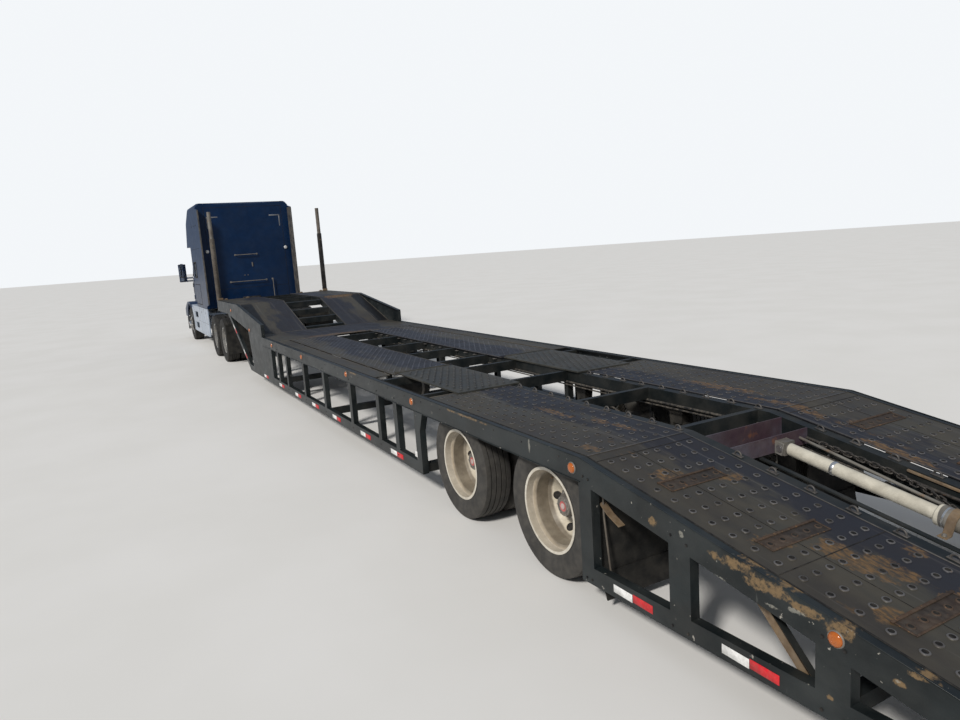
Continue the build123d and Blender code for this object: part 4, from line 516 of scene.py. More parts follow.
# Weathered finishes: paint, tint, rust, rust amount, dust amount, scale, gloss and what else differs. A paint in
# quotes is a colour of the settings, and no tint means a lighter paint.
LOOKS = {
    "Trailer Paint": ("trailer_colour", (0.016, 0.019, 0.02), (0.17, 0.1, 0.055),
        0.28, 0.22, 1.7, 0.42, dict(dust=(0.11, 0.1, 0.085), tint_amount=0.7, specular=0.25)),
    "Worn Edge": ((0.085, 0.076, 0.064), (0.035, 0.033, 0.031), (0.15, 0.095, 0.052),
        0.45, 0.2, 5.0, 0.55, dict(tint_amount=0.9)),
    # Raised rims of the dimples and flap dots: worn steel, lightened further as a painted highlight.
    "Dimple Rim": ((0.125, 0.12, 0.12), (0.055, 0.05, 0.048), (0.17, 0.1, 0.05),
        0.42, 0.1, 7.0, 0.36, dict(metallic=0.3, tint_amount=0.9)),
    "Post Grey": ((0.17, 0.165, 0.15), (0.075, 0.06, 0.05), (0.2, 0.12, 0.065),
        0.5, 0.2, 2.5, 0.5, dict(tint_amount=0.9)),
    "Post Black": ((0.01, 0.01, 0.011), (0.022, 0.022, 0.023), (0.08, 0.055, 0.035),
        0.25, 0.12, 2.5, 0.45, dict(specular=0.25)),
    "Chassis Black": ((0.012, 0.012, 0.012), (0.03, 0.028, 0.025), (0.1, 0.055, 0.03),
        0.3, 0.4, 2.2, 0.55, dict(dust=(0.1, 0.09, 0.075), specular=0.25)),
    "Greasy Steel": ((0.06, 0.055, 0.05), (0.02, 0.018, 0.016), (0.11, 0.06, 0.035),
        0.2, 0.1, 4.0, 0.28, dict(metallic=0.6)),
    "Engine Iron": ((0.11, 0.11, 0.115), (0.05, 0.05, 0.05), (0.3, 0.155, 0.062),
        0.25, 0.4, 3.0, 0.5, dict(metallic=0.3)),
    "Barrel Grey": ((0.17, 0.165, 0.155), (0.09, 0.08, 0.07), (0.3, 0.155, 0.062), 0.35, 0.3, 4.0, 0.45, dict()),
    "Clamp Rust": ((0.36, 0.21, 0.1), (0.22, 0.11, 0.05), (0.42, 0.25, 0.12), 0.5, 0.2, 7.0, 0.8, dict()),
    "Strip Rust": ((0.03, 0.024, 0.021), (0.055, 0.033, 0.022), (0.17, 0.085, 0.035), 0.42, 0.1, 8.0, 0.7, dict()),
    "Strip Border": ((0.06, 0.036, 0.023), (0.024, 0.017, 0.014), (0.18, 0.1, 0.045), 0.5, 0.1, 14.0, 0.75, dict()),
    "Hook Steel": ((0.085, 0.08, 0.078), (0.03, 0.03, 0.032), (0.2, 0.11, 0.055),
        0.35, 0.2, 9.0, 0.45, dict(metallic=0.3)),
    "Zinc Bolt": ((0.33, 0.32, 0.3), (0.2, 0.19, 0.18), (0.3, 0.155, 0.062), 0.2, 0.25, 14.0, 0.4, dict(metallic=0.7)),
    "Cab Paint": ("cab_colour", None, (0.05, 0.055, 0.07),
        0.02, 0.1, 1.2, 0.33, dict(dust=(0.045, 0.06, 0.09), relief=0.03, coat=0.08, specular=0.2)),
    "Extender Grey": ((0.045, 0.046, 0.048), (0.03, 0.03, 0.031), (0.09, 0.08, 0.07),
        0.12, 0.3, 2.0, 0.5, dict(relief=0.1)),
    "Fairing Silver": ((0.33, 0.4, 0.5), (0.24, 0.3, 0.4), (0.12, 0.11, 0.1),
        0.08, 0.25, 1.6, 0.35, dict(relief=0.05, coat=0.4)),
    "Bright Alloy": ((0.66, 0.66, 0.65), (0.48, 0.47, 0.45), (0.22, 0.2, 0.17),
        0.2, 0.2, 6.0, 0.25, dict(relief=0.05, metallic=0.9)),
    "Chrome Trim": ((0.7, 0.71, 0.72), (0.6, 0.61, 0.62), (0.25, 0.22, 0.18),
        0.05, 0.12, 3.0, 0.14, dict(relief=0.02, metallic=1.0)),
    "White Reflector": ((0.86, 0.86, 0.85), (0.52, 0.52, 0.5), (0.3, 0.27, 0.22),
        0.25, 0.2, 16.0, 0.35, dict(relief=0.05)),
    "Red Reflector": ((0.62, 0.01, 0.02), (0.34, 0.015, 0.018), (0.16, 0.03, 0.03),
        0.25, 0.15, 16.0, 0.35, dict(relief=0.05)),
    "Hub Cap Red": ((0.55, 0.1, 0.1), (0.38, 0.1, 0.1), (0.34, 0.24, 0.2), 0.2, 0.3, 25.0, 0.4, dict()),
    "Hub Grey": ((0.17, 0.16, 0.15), (0.1, 0.09, 0.085), (0.22, 0.14, 0.09), 0.3, 0.45, 9.0, 0.5, dict(metallic=0.3)),
    "Chain Steel": ((0.05, 0.045, 0.042), (0.02, 0.02, 0.02), (0.17, 0.09, 0.045),
        0.4, 0.2, 20.0, 0.45, dict(metallic=0.4)),
    "Hose Rubber": ((0.016, 0.016, 0.017), (0.03, 0.03, 0.03), (0.07, 0.06, 0.05), 0.25, 0.4, 12.0, 0.5, dict()),
    "Mud Rubber": ((0.013, 0.013, 0.013), (0.028, 0.027, 0.025), (0.05, 0.045, 0.038),
        0.25, 0.35, 3.5, 0.7, dict(dust=(0.07, 0.064, 0.055), specular=0.2)),
    "Bracket Tan": ((0.17, 0.115, 0.065), (0.075, 0.05, 0.035), (0.24, 0.155, 0.085), 0.4, 0.25, 9.0, 0.75, dict()),
    "Hub Pale": ((0.52, 0.42, 0.4), (0.4, 0.3, 0.28), (0.3, 0.2, 0.16), 0.2, 0.2, 25.0, 0.4, dict()),
    "Mirror Glass": ((0.62, 0.66, 0.7), (0.55, 0.6, 0.65), (0.4, 0.42, 0.44),
        0.05, 0.05, 4.0, 0.06, dict(metallic=1.0, relief=0.01)),
    # Tops of the front tracks' dots: bluish steel, as a painted sky reflection.
    "Dot Steel": ((0.17, 0.185, 0.235), (0.08, 0.085, 0.1), (0.15, 0.1, 0.07),
        0.3, 0.1, 3.0, 0.34, dict(metallic=0.3, tint_amount=0.9)),
    "Flap Steel": ((0.034, 0.035, 0.031), (0.055, 0.052, 0.043), (0.11, 0.072, 0.038),
        0.3, 0.35, 2.6, 0.46, dict(dust=(0.085, 0.08, 0.066), tint_amount=0.8)),
    "Disc Cream": ((0.54, 0.48, 0.38), (0.4, 0.33, 0.24), (0.24, 0.16, 0.09), 0.25, 0.3, 10.0, 0.5, dict()),
    "Post Brown": ((0.06, 0.05, 0.042), (0.11, 0.095, 0.08), (0.17, 0.105, 0.06),
        0.45, 0.2, 3.0, 0.5, dict(tint_amount=0.9)),
    "Sleeper Mark": ((0.17, 0.18, 0.2), (0.11, 0.12, 0.14), (0.12, 0.12, 0.13), 0.1, 0.2, 8.0, 0.5, dict()),
    "Groove Shadow": ((0.006, 0.006, 0.007), (0.012, 0.012, 0.012), (0.05, 0.035, 0.025), 0.2, 0.1, 10.0, 0.8, dict()),
    "Dash Plastic": ((0.045, 0.045, 0.048), (0.035, 0.035, 0.036), (0.06, 0.06, 0.06),
        0.05, 0.15, 4.0, 0.6, dict(relief=0.15)),
}


def weathered(name):
    """A finish of the table above."""
    paint, tint, rust, rust_amount, dust_amount, scale, gloss, other = LOOKS[name]
    if isinstance(paint, str):
        paint = tuple(getattr(bpy.context.scene.transporter, paint))
    other = {"tint_amount": 0.5, "stretch": 1.0, "dust": (0.30, 0.26, 0.21), "relief": 0.25, **other}
    shader_values = {key: other.pop(key) for key in ("metallic", "coat", "specular") if key in other}
    relief = other.pop("relief")
    finish, tree, shader = new_finish(name, **shader_values)
    made = worn_paint(tree, paint=paint, tint=tint or tuple(c * 1.5 for c in paint), rust=rust,
                      rust_amount=rust_amount, dust_amount=dust_amount, scale=scale, gloss=gloss, **other)
    wire(tree, shader, made["Color"], made["Roughness"], made["Height"], relief)
    return finish


def lens(name, colour, strength=0.0, gloss=0.15):
    """A lens plastic with fine ribs, which glows a little where a strength is given."""
    finish, tree, shader = new_finish(name, coat=0.6)
    place = place_on(tree)
    tone = shade(tree, colour, noise(tree, place, 90.0, 2.0), 0.75, 0.5)
    wire(tree, shader, tone, gloss, cells(tree, place, 160.0), 0.35, 0.002)
    if strength:
        tree.links.new(tone, shader.inputs["Emission Color"])
        shader.inputs["Emission Strength"].default_value = strength
    return finish


# Rust stains on the deck: centre and half size of each
DECK_RUST = [
    ((-10.93, 0.83, 0.73), (0.22, 0.075, 0.3)), ((-11.10, 0.74, 0.70), (0.14, 0.06, 0.3)),
    ((-9.94, 0.995, 0.90), (0.06, 0.10, 0.3)), ((-10.14, 0.67, 0.86), (0.05, 0.09, 0.3)),
    ((-11.07, 0.51, 0.71), (0.06, 0.05, 0.3)), ((-11.29, 1.07, 0.67), (0.06, 0.07, 0.3)),
    ((-11.37, 0.72, 0.66), (0.05, 0.20, 0.3)), ((-10.70, 1.00, 0.77), (0.07, 0.10, 0.3)),
    ((-8.50, 0.75, 0.965), (0.24, 0.045, 0.3)), ((-8.95, 0.66, 0.965), (0.10, 0.045, 0.3)),
    ((-9.17, 0.64, 0.965), (0.12, 0.03, 0.3)), ((-9.42, 1.12, 0.965), (0.08, 0.05, 0.3)),
    ((-9.98, -0.70, 0.89), (0.09, 0.06, 0.3)), ((-10.38, -0.50, 0.82), (0.26, 0.06, 0.3)),
    ((-9.55, -0.62, 0.95), (0.35, 0.05, 0.3)), ((-8.70, -0.75, 0.965), (0.40, 0.07, 0.3)),
    ((-1.30, 0.20, 0.965), (0.16, 0.60, 0.3)), ((1.66, -0.75, 1.44), (0.14, 0.30, 0.3)),
]
# Where the neck's wall casts its shadow on the deck beside the neck's foot, painted in as a near-black lane: across
# it, its rear end and its front end
WALL_SHADOW_LANE = ((0.98, 1.04), (0.02, 0.10), (1.72, 1.60))


def deck_steel(name):
    """Track steel: grey-brown and purple wear, navy towards the inner edge, streaks along it, tan rust, and the neck
    wall's shadow painted in beside the neck's foot.
    """
    finish, tree, shader = new_finish(name, metallic=0.15)
    place = place_on(tree)
    parts = split(tree, place)
    across = calc(tree, "ABSOLUTE", parts[1])
    made = worn_paint(tree, paint=(0.056, 0.052, 0.042), tint=(0.036, 0.031, 0.027), rust=(0.14, 0.083, 0.040),
                      dust=(0.100, 0.087, 0.066), tint_amount=0.8, rust_amount=0.37, dust_amount=0.4, scale=1.9,
                      stretch=0.45, gloss=0.46)
    drawn = vector_calc(tree, "MULTIPLY", place, (0.6, 1.6, 1.0))
    wander = minus(tree, noise(tree, drawn, 2.2, 5.0, 0.6), 0.5)
    navy = step(tree, plus(tree, across, times(tree, wander, 0.9)), 0.84, 0.70, 0.0, 0.78)
    clean = minus(tree, 1.0, times(tree, made["Rust Mask"], 0.9), True)
    colour = mix(tree, times(tree, navy, clean), made["Color"], (0.0145, 0.0165, 0.027))
    # Painted shadow: the lane where the neck's wall shades the deck is painted near-black.
    side, rear, front = WALL_SHADOW_LANE
    ends = times(tree, step(tree, parts[0], *rear), step(tree, parts[0], *front))
    wall_shadow = times(tree, step(tree, across, *side), ends)
    colour = mix(tree, times(tree, wall_shadow, 0.95), colour, (0.006, 0.0065, 0.0075))
    fine = noise(tree, drawn, 34.0, 4.0, 0.65)
    broken = times(tree, patches(tree, DECK_RUST, 0.8), step(tree, fine, 0.36, 0.60, 0.10, 0.90))
    colour = mix(tree, broken, colour, shade(tree, (0.175, 0.103, 0.045), fine, 0.30, 1.2))
    lines = vector_calc(tree, "MULTIPLY", place, (0.5, 26.0, 0.5))
    scuff = step(tree, noise(tree, lines, 1.0, 5.0, 0.7), 0.56, 0.76, 0.0, 0.45)
    colour = mix(tree, scuff, colour, (0.20, 0.185, 0.175))
    wire(tree, shader, colour, made["Roughness"], plus(tree, made["Height"], times(tree, scuff, 0.4)))
    return finish


# Tan rust and pale flakes on the side frames: centre and half size of each
FRAME_WEAR = [
    ((-10.74, 1.29, 0.735), (0.13, 0.4, 0.035)), ((-10.90, 1.29, 0.70), (0.14, 0.4, 0.038)),
    ((-11.08, 1.29, 0.675), (0.10, 0.4, 0.022)), ((-11.22, 1.29, 0.655), (0.07, 0.4, 0.030)),
    ((-10.17, 1.29, 0.775), (0.035, 0.4, 0.028)), ((-11.47, 1.29, 0.565), (0.025, 0.4, 0.016)),
    ((-11.20, 1.29, 0.345), (0.022, 0.4, 0.014)), ((-11.55, 1.29, 0.625), (0.05, 0.4, 0.012)),
    ((-8.05, 1.29, 0.952), (0.30, 0.4, 0.010)), ((-5.30, 1.29, 0.950), (0.12, 0.4, 0.010)),
    ((-10.55, -1.29, 0.74), (0.16, 0.4, 0.03)), ((-11.30, -1.29, 0.63), (0.14, 0.4, 0.03)),
    ((-4.00, -1.29, 0.93), (0.14, 0.4, 0.02)),
]
FRAME_FLAKES = [
    ((-10.60, 1.29, 0.628), (0.055, 0.4, 0.014)), ((-10.92, 1.29, 0.622), (0.035, 0.4, 0.010)),
    ((-10.38, 1.29, 0.770), (0.016, 0.4, 0.016)), ((-11.47, 1.29, 0.567), (0.012, 0.4, 0.008)),
    ((-11.03, 1.29, 0.650), (0.04, 0.4, 0.012)),
    ((-8.95, -1.29, 0.90), (0.02, 0.4, 0.03)), ((-6.20, -1.29, 0.60), (0.02, 0.4, 0.05)),
    ((-8.985, 1.29, 0.912), (0.008, 0.4, 0.045)), ((-9.35, 1.29, 0.62), (0.012, 0.4, 0.02)),
]


def frame_paint(name):
    """Side frame paint: near-black blue-green, white chips, and tan rust on the tail's upper web."""
    finish, tree, shader = new_finish(name)
    place = place_on(tree)
    made = worn_paint(tree, paint=tuple(bpy.context.scene.transporter.trailer_colour), tint=(0.018, 0.024, 0.026),
                      rust=(0.20, 0.135, 0.075), dust=(0.075, 0.075, 0.07), tint_amount=0.75, rust_amount=0.24,
                      dust_amount=0.22, scale=2.1, stretch=0.8, gloss=0.36)
    tall = vector_calc(tree, "MULTIPLY", place, (1.0, 1.0, 0.16))
    drips = step(tree, noise(tree, tall, 34.0, 2.0, 0.5), 0.70, 0.76, 0.0, 0.35)
    colour = mix(tree, drips, made["Color"], (0.10, 0.105, 0.10))
    chips = step(tree, noise(tree, place, 26.0, 3.0, 0.6), 0.700, 0.73, 0.0, 0.8)
    colour = mix(tree, chips, colour, (0.36, 0.34, 0.30))
    fine = noise(tree, place, 40.0, 5.0, 0.7)
    band = times(tree, patches(tree, FRAME_WEAR, 0.85), step(tree, fine, 0.34, 0.54, 0.10, 0.88))
    colour = mix(tree, band, colour, shade(tree, (0.21, 0.138, 0.068), fine, 0.40, 1.0))
    flake = times(tree, patches(tree, FRAME_FLAKES, 1.3), step(tree, fine, 0.38, 0.50))
    colour = mix(tree, times(tree, flake, 0.6), colour, (0.30, 0.29, 0.25))
    wire(tree, shader, colour, made["Roughness"], made["Height"])
    return finish


def member_paint(name):
    """Paint of the cross members, with the purple-brown, rusty lining of the tray under the deck's knee."""
    finish, tree, shader = new_finish(name, specular=0.25)
    along = split(tree, place_on(tree))[0]
    plain = worn_paint(tree, paint=tuple(bpy.context.scene.transporter.trailer_colour), tint=(0.016, 0.019, 0.020),
                       rust=(0.17, 0.10, 0.055), dust=(0.11, 0.10, 0.085), tint_amount=0.7, rust_amount=0.28,
                       dust_amount=0.22, scale=1.7, gloss=0.42)
    tray = worn_paint(tree, paint=(0.060, 0.036, 0.047), tint=(0.095, 0.09, 0.115), rust=(0.19, 0.080, 0.042),
                      dust=(0.12, 0.10, 0.085), tint_amount=0.8, rust_amount=0.5, dust_amount=0.2, scale=3.0,
                      stretch=0.3, gloss=0.5)
    inside = times(tree, step(tree, along, -9.866, -9.862), step(tree, along, -9.626, -9.630))
    wire(tree, shader, mix(tree, inside, plain["Color"], tray["Color"]), plain["Roughness"], plain["Height"],
         0.3, 0.003)
    return finish


def cylinder_paint(name):
    """Cream rod and uprights; the tail cylinder's barrel behind the gland is grey, and so is the rod's clevis."""
    finish, tree, shader = new_finish(name)
    along = split(tree, place_on(tree))[0]
    clevis = times(tree, step(tree, along, -9.93, -9.928), step(tree, along, -9.5, -9.6))
    grey = calc(tree, "MAXIMUM", step(tree, along, -10.868, -10.872), clevis)
    made = worn_paint(tree, paint=mix(tree, grey, (0.56, 0.53, 0.45), (0.11, 0.105, 0.098)),
                      tint=(0.36, 0.31, 0.22), rust=(0.24, 0.15, 0.075), dust=(0.26, 0.23, 0.18), tint_amount=0.3,
                      rust_amount=0.22, dust_amount=0.25, scale=3.0, gloss=0.34)
    wire(tree, shader, made["Color"], made["Roughness"], made["Height"], 0.2, 0.003)
    return finish


def wheel_finish(name, centre, lip, dish, disc, metallic):
    """Wheel steel or alloy, by distance from the axle: disc, a darker band in the rim's well, dusty dish and a bright
    lip that carries a painted highlight; near the axle, whatever lies behind the disc's plane is painted dark as
    shade.
    """
    finish, tree, shader = new_finish(name, metallic=metallic)
    away = group_node(tree, "Axle Distance", {"Centre X": centre[0], "Centre Z": centre[2]})["Radius"]
    place = place_on(tree)
    across = calc(tree, "ABSOLUTE", split(tree, place)[1])
    reach = plus(tree, away, times(tree, minus(tree, noise(tree, place, 7.0, 4.0), 0.5), 0.03))
    # From the axle out: the disc, a darker band in the rim's well, the dusty dish, then the lip, whose bright colour
    # carries a painted highlight.
    colour = mix(tree, step(tree, reach, 0.225, 0.238), disc, tuple(c * 0.42 for c in dish))
    colour = mix(tree, step(tree, reach, 0.250, 0.272), colour, dish)
    colour = mix(tree, step(tree, away, 0.272, 0.284), colour, lip)
    made = worn_paint(tree, paint=colour, tint=tuple(c * 0.7 for c in disc), rust=(0.27, 0.19, 0.12),
                      dust=(0.34, 0.29, 0.22), tint_amount=0.35, rust_amount=0.22, dust_amount=0.35, scale=4.0,
                      gloss=0.32)
    plane = abs(centre[1])
    # Painted shade: near the axle, whatever lies behind the disc's plane is painted near-black.
    behind = times(tree, step(tree, across, plane + 0.0003, plane - 0.0002), step(tree, away, 0.214, 0.2125))
    wire(tree, shader, mix(tree, behind, made["Color"], (0.022, 0.018, 0.015)), made["Roughness"], made["Height"],
         0.15, 0.003)
    return finish


def tyre_rubber(name, tone, dust_amount):
    """Tyre rubber: dusty brown-grey on the walls, with a fine grain and shallow cuts."""
    finish, tree, shader = new_finish(name)
    made = worn_paint(tree, paint=tone, tint=tuple(c * 0.6 for c in tone), rust=tuple(c * 1.7 for c in tone),
                      dust=(0.15, 0.135, 0.115), tint_amount=0.6, rust_amount=0.3, dust_amount=dust_amount,
                      scale=5.0, gloss=0.72)
    cuts = step(tree, noise(tree, place_on(tree), 60.0, 2.0), 0.62, 0.7, 0.0, 0.3)
    grain = group_node(tree, "Surface Grain", {"Scale": 240.0})["Height"]
    wire(tree, shader, mix(tree, cuts, made["Color"], (0.03, 0.03, 0.03)), made["Roughness"],
         plus(tree, grain, made["Height"]), 0.3, 0.002)
    return finish


def window_glass(name):
    """Dark tinted glass with a little road film."""
    finish, tree, shader = new_finish(name, transmission=0.85)
    film = step(tree, noise(tree, place_on(tree), 3.0, 6.0), 0.3, 0.8, 0.02, 0.16)
    wire(tree, shader, mix(tree, film, (0.42, 0.46, 0.48), (0.30, 0.29, 0.27)), film)
    return finish


def woven_cloth(name, tone, second):
    """Woven cloth: two crossed threads over a mottled tone."""
    finish, tree, shader = new_finish(name, specular=0.15)
    parts = split(tree, place_on(tree))
    threads = [calc(tree, "SINE", times(tree, parts[k], 1400.0)) for k in range(3)]
    weave = times(tree, plus(tree, threads[0], threads[2]), threads[1])
    made = worn_paint(tree, paint=tone, tint=second, rust=tuple(c * 0.6 for c in tone),
                      dust=tuple(c * 1.6 for c in tone), tint_amount=0.7, rust_amount=0.2, dust_amount=0.3,
                      scale=6.0, gloss=0.85)
    wire(tree, shader, shade(tree, made["Color"], weave, 1.0, 0.10), 0.88, weave, 0.35, 0.001)
    return finish


def studio_floor(name):
    """Pale floor with a faint mottle."""
    finish, tree, shader = new_finish(name)
    tone = step(tree, noise(tree, place_on(tree), 0.6, 3.0), 0.3, 0.7)
    wire(tree, shader, mix(tree, tone, (0.76, 0.75, 0.73), (0.79, 0.78, 0.765)), 0.9)
    return finish


# Finishes that have a function of their own, with its values
SPECIAL = {
    "Deck Steel": (deck_steel,), "Frame Paint": (frame_paint,), "Member Paint": (member_paint,),
    "Cylinder Paint": (cylinder_paint,), "Window Glass": (window_glass,), "Studio Floor": (studio_floor,),
    "Tyre Rubber": (tyre_rubber, (0.022, 0.021, 0.020), 0.12),
    "Tyre Rubber Dusty": (tyre_rubber, (0.046, 0.044, 0.041), 0.25),
    "Amber Lens": (lens, (0.40, 0.10, 0.010)), "Red Lens": (lens, (0.45, 0.01, 0.012), 0.05),
    "Clear Lens": (lens, (0.6, 0.6, 0.6)), "Lamp Lens": (lens, (0.62, 0.64, 0.66), 0.0, 0.08),
    "Chair Cloth": (woven_cloth, (0.055, 0.058, 0.066), (0.032, 0.034, 0.042)),
    "Chair Piping": (woven_cloth, (0.018, 0.018, 0.020), (0.028, 0.028, 0.030)),
    "Mattress Cloth": (woven_cloth, (0.22, 0.23, 0.26), (0.16, 0.17, 0.21)),
}


def look(name):
    """The finish of that name, made when first asked for."""
    found = bpy.data.materials.get(name)
    if found is None:
        build, *values = SPECIAL.get(name, (weathered,))
        found = build(name, *values)
    return found


# Settings


class TransporterSettings(bpy.types.PropertyGroup):
    """Sizes and colours of the dressing."""

    trailer_colour: bpy.props.FloatVectorProperty(
        name="Trailer colour", description="Paint of the trailer's side frames and rails", subtype="COLOR", size=3,
        min=0.0, max=1.0, default=(0.0065, 0.0095, 0.0105))
    cab_colour: bpy.props.FloatVectorProperty(
        name="Cab colour", description="Paint of the cab, sleeper and hood", subtype="COLOR", size=3,
        min=0.0, max=1.0, default=(0.0015, 0.0145, 0.050))
    dimple_pitch_x: bpy.props.FloatProperty(
        name="Dimple rows", description="Distance between rows of dimples along the track", default=0.131,
        min=0.05, unit="LENGTH")
    dimple_pitch_y: bpy.props.FloatProperty(
        name="Dimple columns", description="Distance between dimples across the track", default=0.0895,
        min=0.04, unit="LENGTH")
    dimple_radius: bpy.props.FloatProperty(
        name="Dimple radius", description="Radius of a dimple's raised ring", default=0.0235, min=0.005,
        unit="LENGTH")
    hook_pitch: bpy.props.FloatProperty(
        name="Hook pitch", description="Distance between tie hooks along an inner rail", default=0.25, min=0.1,
        unit="LENGTH")
    sun_strength: bpy.props.FloatProperty(
        name="Key light", description="Strength of the large soft key light", default=2.9, min=0.0)
    fill_strength: bpy.props.FloatProperty(
        name="Fill light", description="Strength of the even light from all round", default=0.34, min=0.0)


# Stage


class TRANSPORTER_OT_stage(bpy.types.Operator):
    """Pale floor, soft light and the camera at the photograph's viewing angle."""

    bl_idname = "transporter.stage"
    bl_label = "Stage"

    def execute(self, context):
        self.camera(context)
        self.floor()
        self.light(context, context.scene.transporter)
        context.scene.view_settings.view_transform = "Standard"
        return {"FINISHED"}

    def camera(self, context):
        yaw, pitch, roll = -0.4882, -0.1593, -0.0702
        eye, focal, width = (-12.877, 3.686, 2.253), 706.352, 960.0
        ahead = Vector((cos(pitch) * cos(yaw), cos(pitch) * sin(yaw), sin(pitch)))
        level = Vector((sin(yaw), -cos(yaw), 0))
        rise = level.cross(ahead)
        right = level * cos(roll) + rise * sin(roll)
        up = rise * cos(roll) - level * sin(roll)
        data = bpy.data.cameras.new("Photo Camera")
        data.sensor_width = 36.0
        data.lens = data.sensor_width * focal / width
        data.clip_end = 500.0
        camera = put("photo_camera", data)
        turn = Matrix((right, up, -ahead)).transposed().to_4x4()
        camera.matrix_world = Matrix.Translation(eye) @ turn
        context.scene.camera = camera

    def floor(self):
        bm = bmesh.new()
        rings = [[bm.verts.new((0, 0, 0))]]
        for radius in (30.0, 220.0):
            rings.append([bm.verts.new((cos(2 * pi * i / 64) * radius, sin(2 * pi * i / 64) * radius, 0))
                          for i in range(64)])
        for inner, outer in zip(rings, rings[1:]):
            bridge(bm, inner, outer, 0)
        floor = put("studio_floor", mesh_of("floor", bm, [look("Studio Floor")]))

    def light(self, context, settings):
        data = bpy.data.lights.new("key", "SUN")
        data.energy = settings.sun_strength
        data.angle = radians(8)
        data.color = (1.0, 0.965, 0.91)
        key = put("key_light", data)
        key.rotation_euler = Vector((0.42, -0.66, -0.62)).to_track_quat("-Z", "Y").to_euler()
        world = bpy.data.worlds.new("Studio World")
        context.scene.world = world
        world.use_nodes = True
        tree = world.node_tree
        tree.nodes.clear()
        path = add_node(tree, "ShaderNodeLightPath").outputs
        seen = calc(tree, "MAXIMUM", path["Is Camera Ray"], path["Is Transmission Ray"])
        pale, gloss, fill = (
            add_node(tree, "ShaderNodeBackground", {"Color": colour, "Strength": strength}).outputs[0]
            for colour, strength in (((0.90, 0.925, 0.95), 1.0), ((0.62, 0.74, 0.95), 0.38),
                                     ((0.86, 0.92, 1.0), settings.fill_strength)))
        both = add_node(tree, "ShaderNodeMixShader", {0: path["Is Glossy Ray"], 1: fill, 2: gloss}).outputs[0]
        last = add_node(tree, "ShaderNodeMixShader", {0: seen, 1: both, 2: pale})
        add_node(tree, "ShaderNodeOutputWorld", {0: last.outputs[0]})


# Finishes on the frame's own nodes


class TRANSPORTER_OT_finishes(bpy.types.Operator):
    """Gives each node of the frame its detailed finish."""

    bl_idname = "transporter.finishes"
    bl_label = "Finishes"

    def execute(self, context):
        by_slot = {
            "trailer_paint": "Trailer Paint", "deck_steel": "Deck Steel", "post_paint": "Post Grey",
            "black_steel": "Chassis Black", "greasy_steel": "Greasy Steel", "engine_iron": "Engine Iron",
            "tyre_rubber": "Tyre Rubber", "mud_rubber": "Mud Rubber", "bright_aluminium": "Bright Alloy",
            "cab_paint": "Cab Paint", "marker_plastic": "Amber Lens", "window_glass": "Window Glass",
            "chrome_trim": "Chrome Trim", "lamp_plastic": "Lamp Lens", "interior_plastic": "Dash Plastic",
            "cylinder_paint": "Cylinder Paint",
        }
        own = {"side_frame_left": "Frame Paint", "side_frame_right": "Frame Paint",
               "cross_members": "Member Paint", "flap_left": "Flap Steel", "flap_right": "Flap Steel",
               "side_fairings": "Fairing Silver"}
        cream, alloy = (0.60, 0.54, 0.43), (0.62, 0.62, 0.61)
        wheels = {}
        for end, place, _ in wheel_ends():
            trailer = end.startswith(("rear", "front"))
            axle = end.rsplit("_", 1)[0].replace("_", " ").title()
            name = ("Wheel Steel " if trailer else "Wheel Alloy ") + axle
            # Lip, dish, disc and metallic of each wheel; the lip's colour carries a painted highlight.
            colours = ((0.66, 0.62, 0.54), (0.36, 0.30, 0.225), cream, 0.0) if trailer else (
                alloy, (0.50, 0.49, 0.47), alloy, 0.85)
            wheels["wheel_" + end] = bpy.data.materials.get(name) or wheel_finish(name, place, *colours)
        for part in frame["record"]["subparts"]:
            node = part["node"]
            made = wheels.get(node) or look(own.get(node) or by_slot[part["material_slot"]])
            for slot in frame["nodes"][node].material_slots:
                slot.material = made
        return {"FINISHED"}


# Tyres


def tyre_profile(radius, width, grooves, groove_width, groove_depth, crown):
    """Section of a tyre from one bead to the other, as (radius, offset from the middle, tread column)."""
    half, bead = width / 2, 0.2875
    wall = [
        (bead, 0.096), (bead + 0.010, 0.108), (bead + 0.022, 0.109), (bead + 0.030, 0.115),
    ]
    reach = radius - 0.034 - (bead + 0.030)
    wall += [(bead + 0.030 + reach * share, 0.115 + (half - 0.115) * bulge)
             for share, bulge in ((0.22, 0.55), (0.42, 0.9), (0.6, 1.0), (0.8, 0.9), (1.0, 0.62))]
    wall += [(radius - 0.016, half - 0.012), (radius - 0.007, half - 0.019)]
    edge = half - 0.025
    top = [(-edge, 0.0)]
    for middle in grooves:
        top += [(middle - groove_width / 2, 0.0), (middle - groove_width * 0.32, groove_depth),
                (middle + groove_width * 0.32, groove_depth), (middle + groove_width / 2, 0.0)]
    top.append((edge, 0.0))
    tread = [(radius - 0.0005 - crown * (y / edge) ** 2 - deep, y, True) for y, deep in top]
    left = [(r, -y, False) for r, y in wall]
    right = [(r, y, False) for r, y in reversed(wall)]
    return left + tread + right


def tyre_mesh(name, profile, middles, finish, count, lug_every=0, lug_depth=0.0, lug_from=0.0):
    """One or two tyres on a wheel end, round the Y axis through the origin, lugs cut by angle where given."""
    bm = bmesh.new()
    for middle in middles:
        rings = []
        for radius, offset, tread in profile:
            ring = []
            for i in range(count):
                turn = 2 * pi * (i + 0.5 * (offset > 0)) / count
                cut = lug_depth if lug_every and tread and abs(offset) >= lug_from and i % lug_every == 0 else 0.0
                ring.append(bm.verts.new(((radius - cut) * cos(turn), middle + offset, (radius - cut) * sin(turn))))
            rings.append(ring)
        for low, high in zip(rings, rings[1:]):
            bridge(bm, low, high, 0)
        bridge(bm, rings[-1], rings[0], 0)
    return mesh_of(name, bm, [finish], 38)


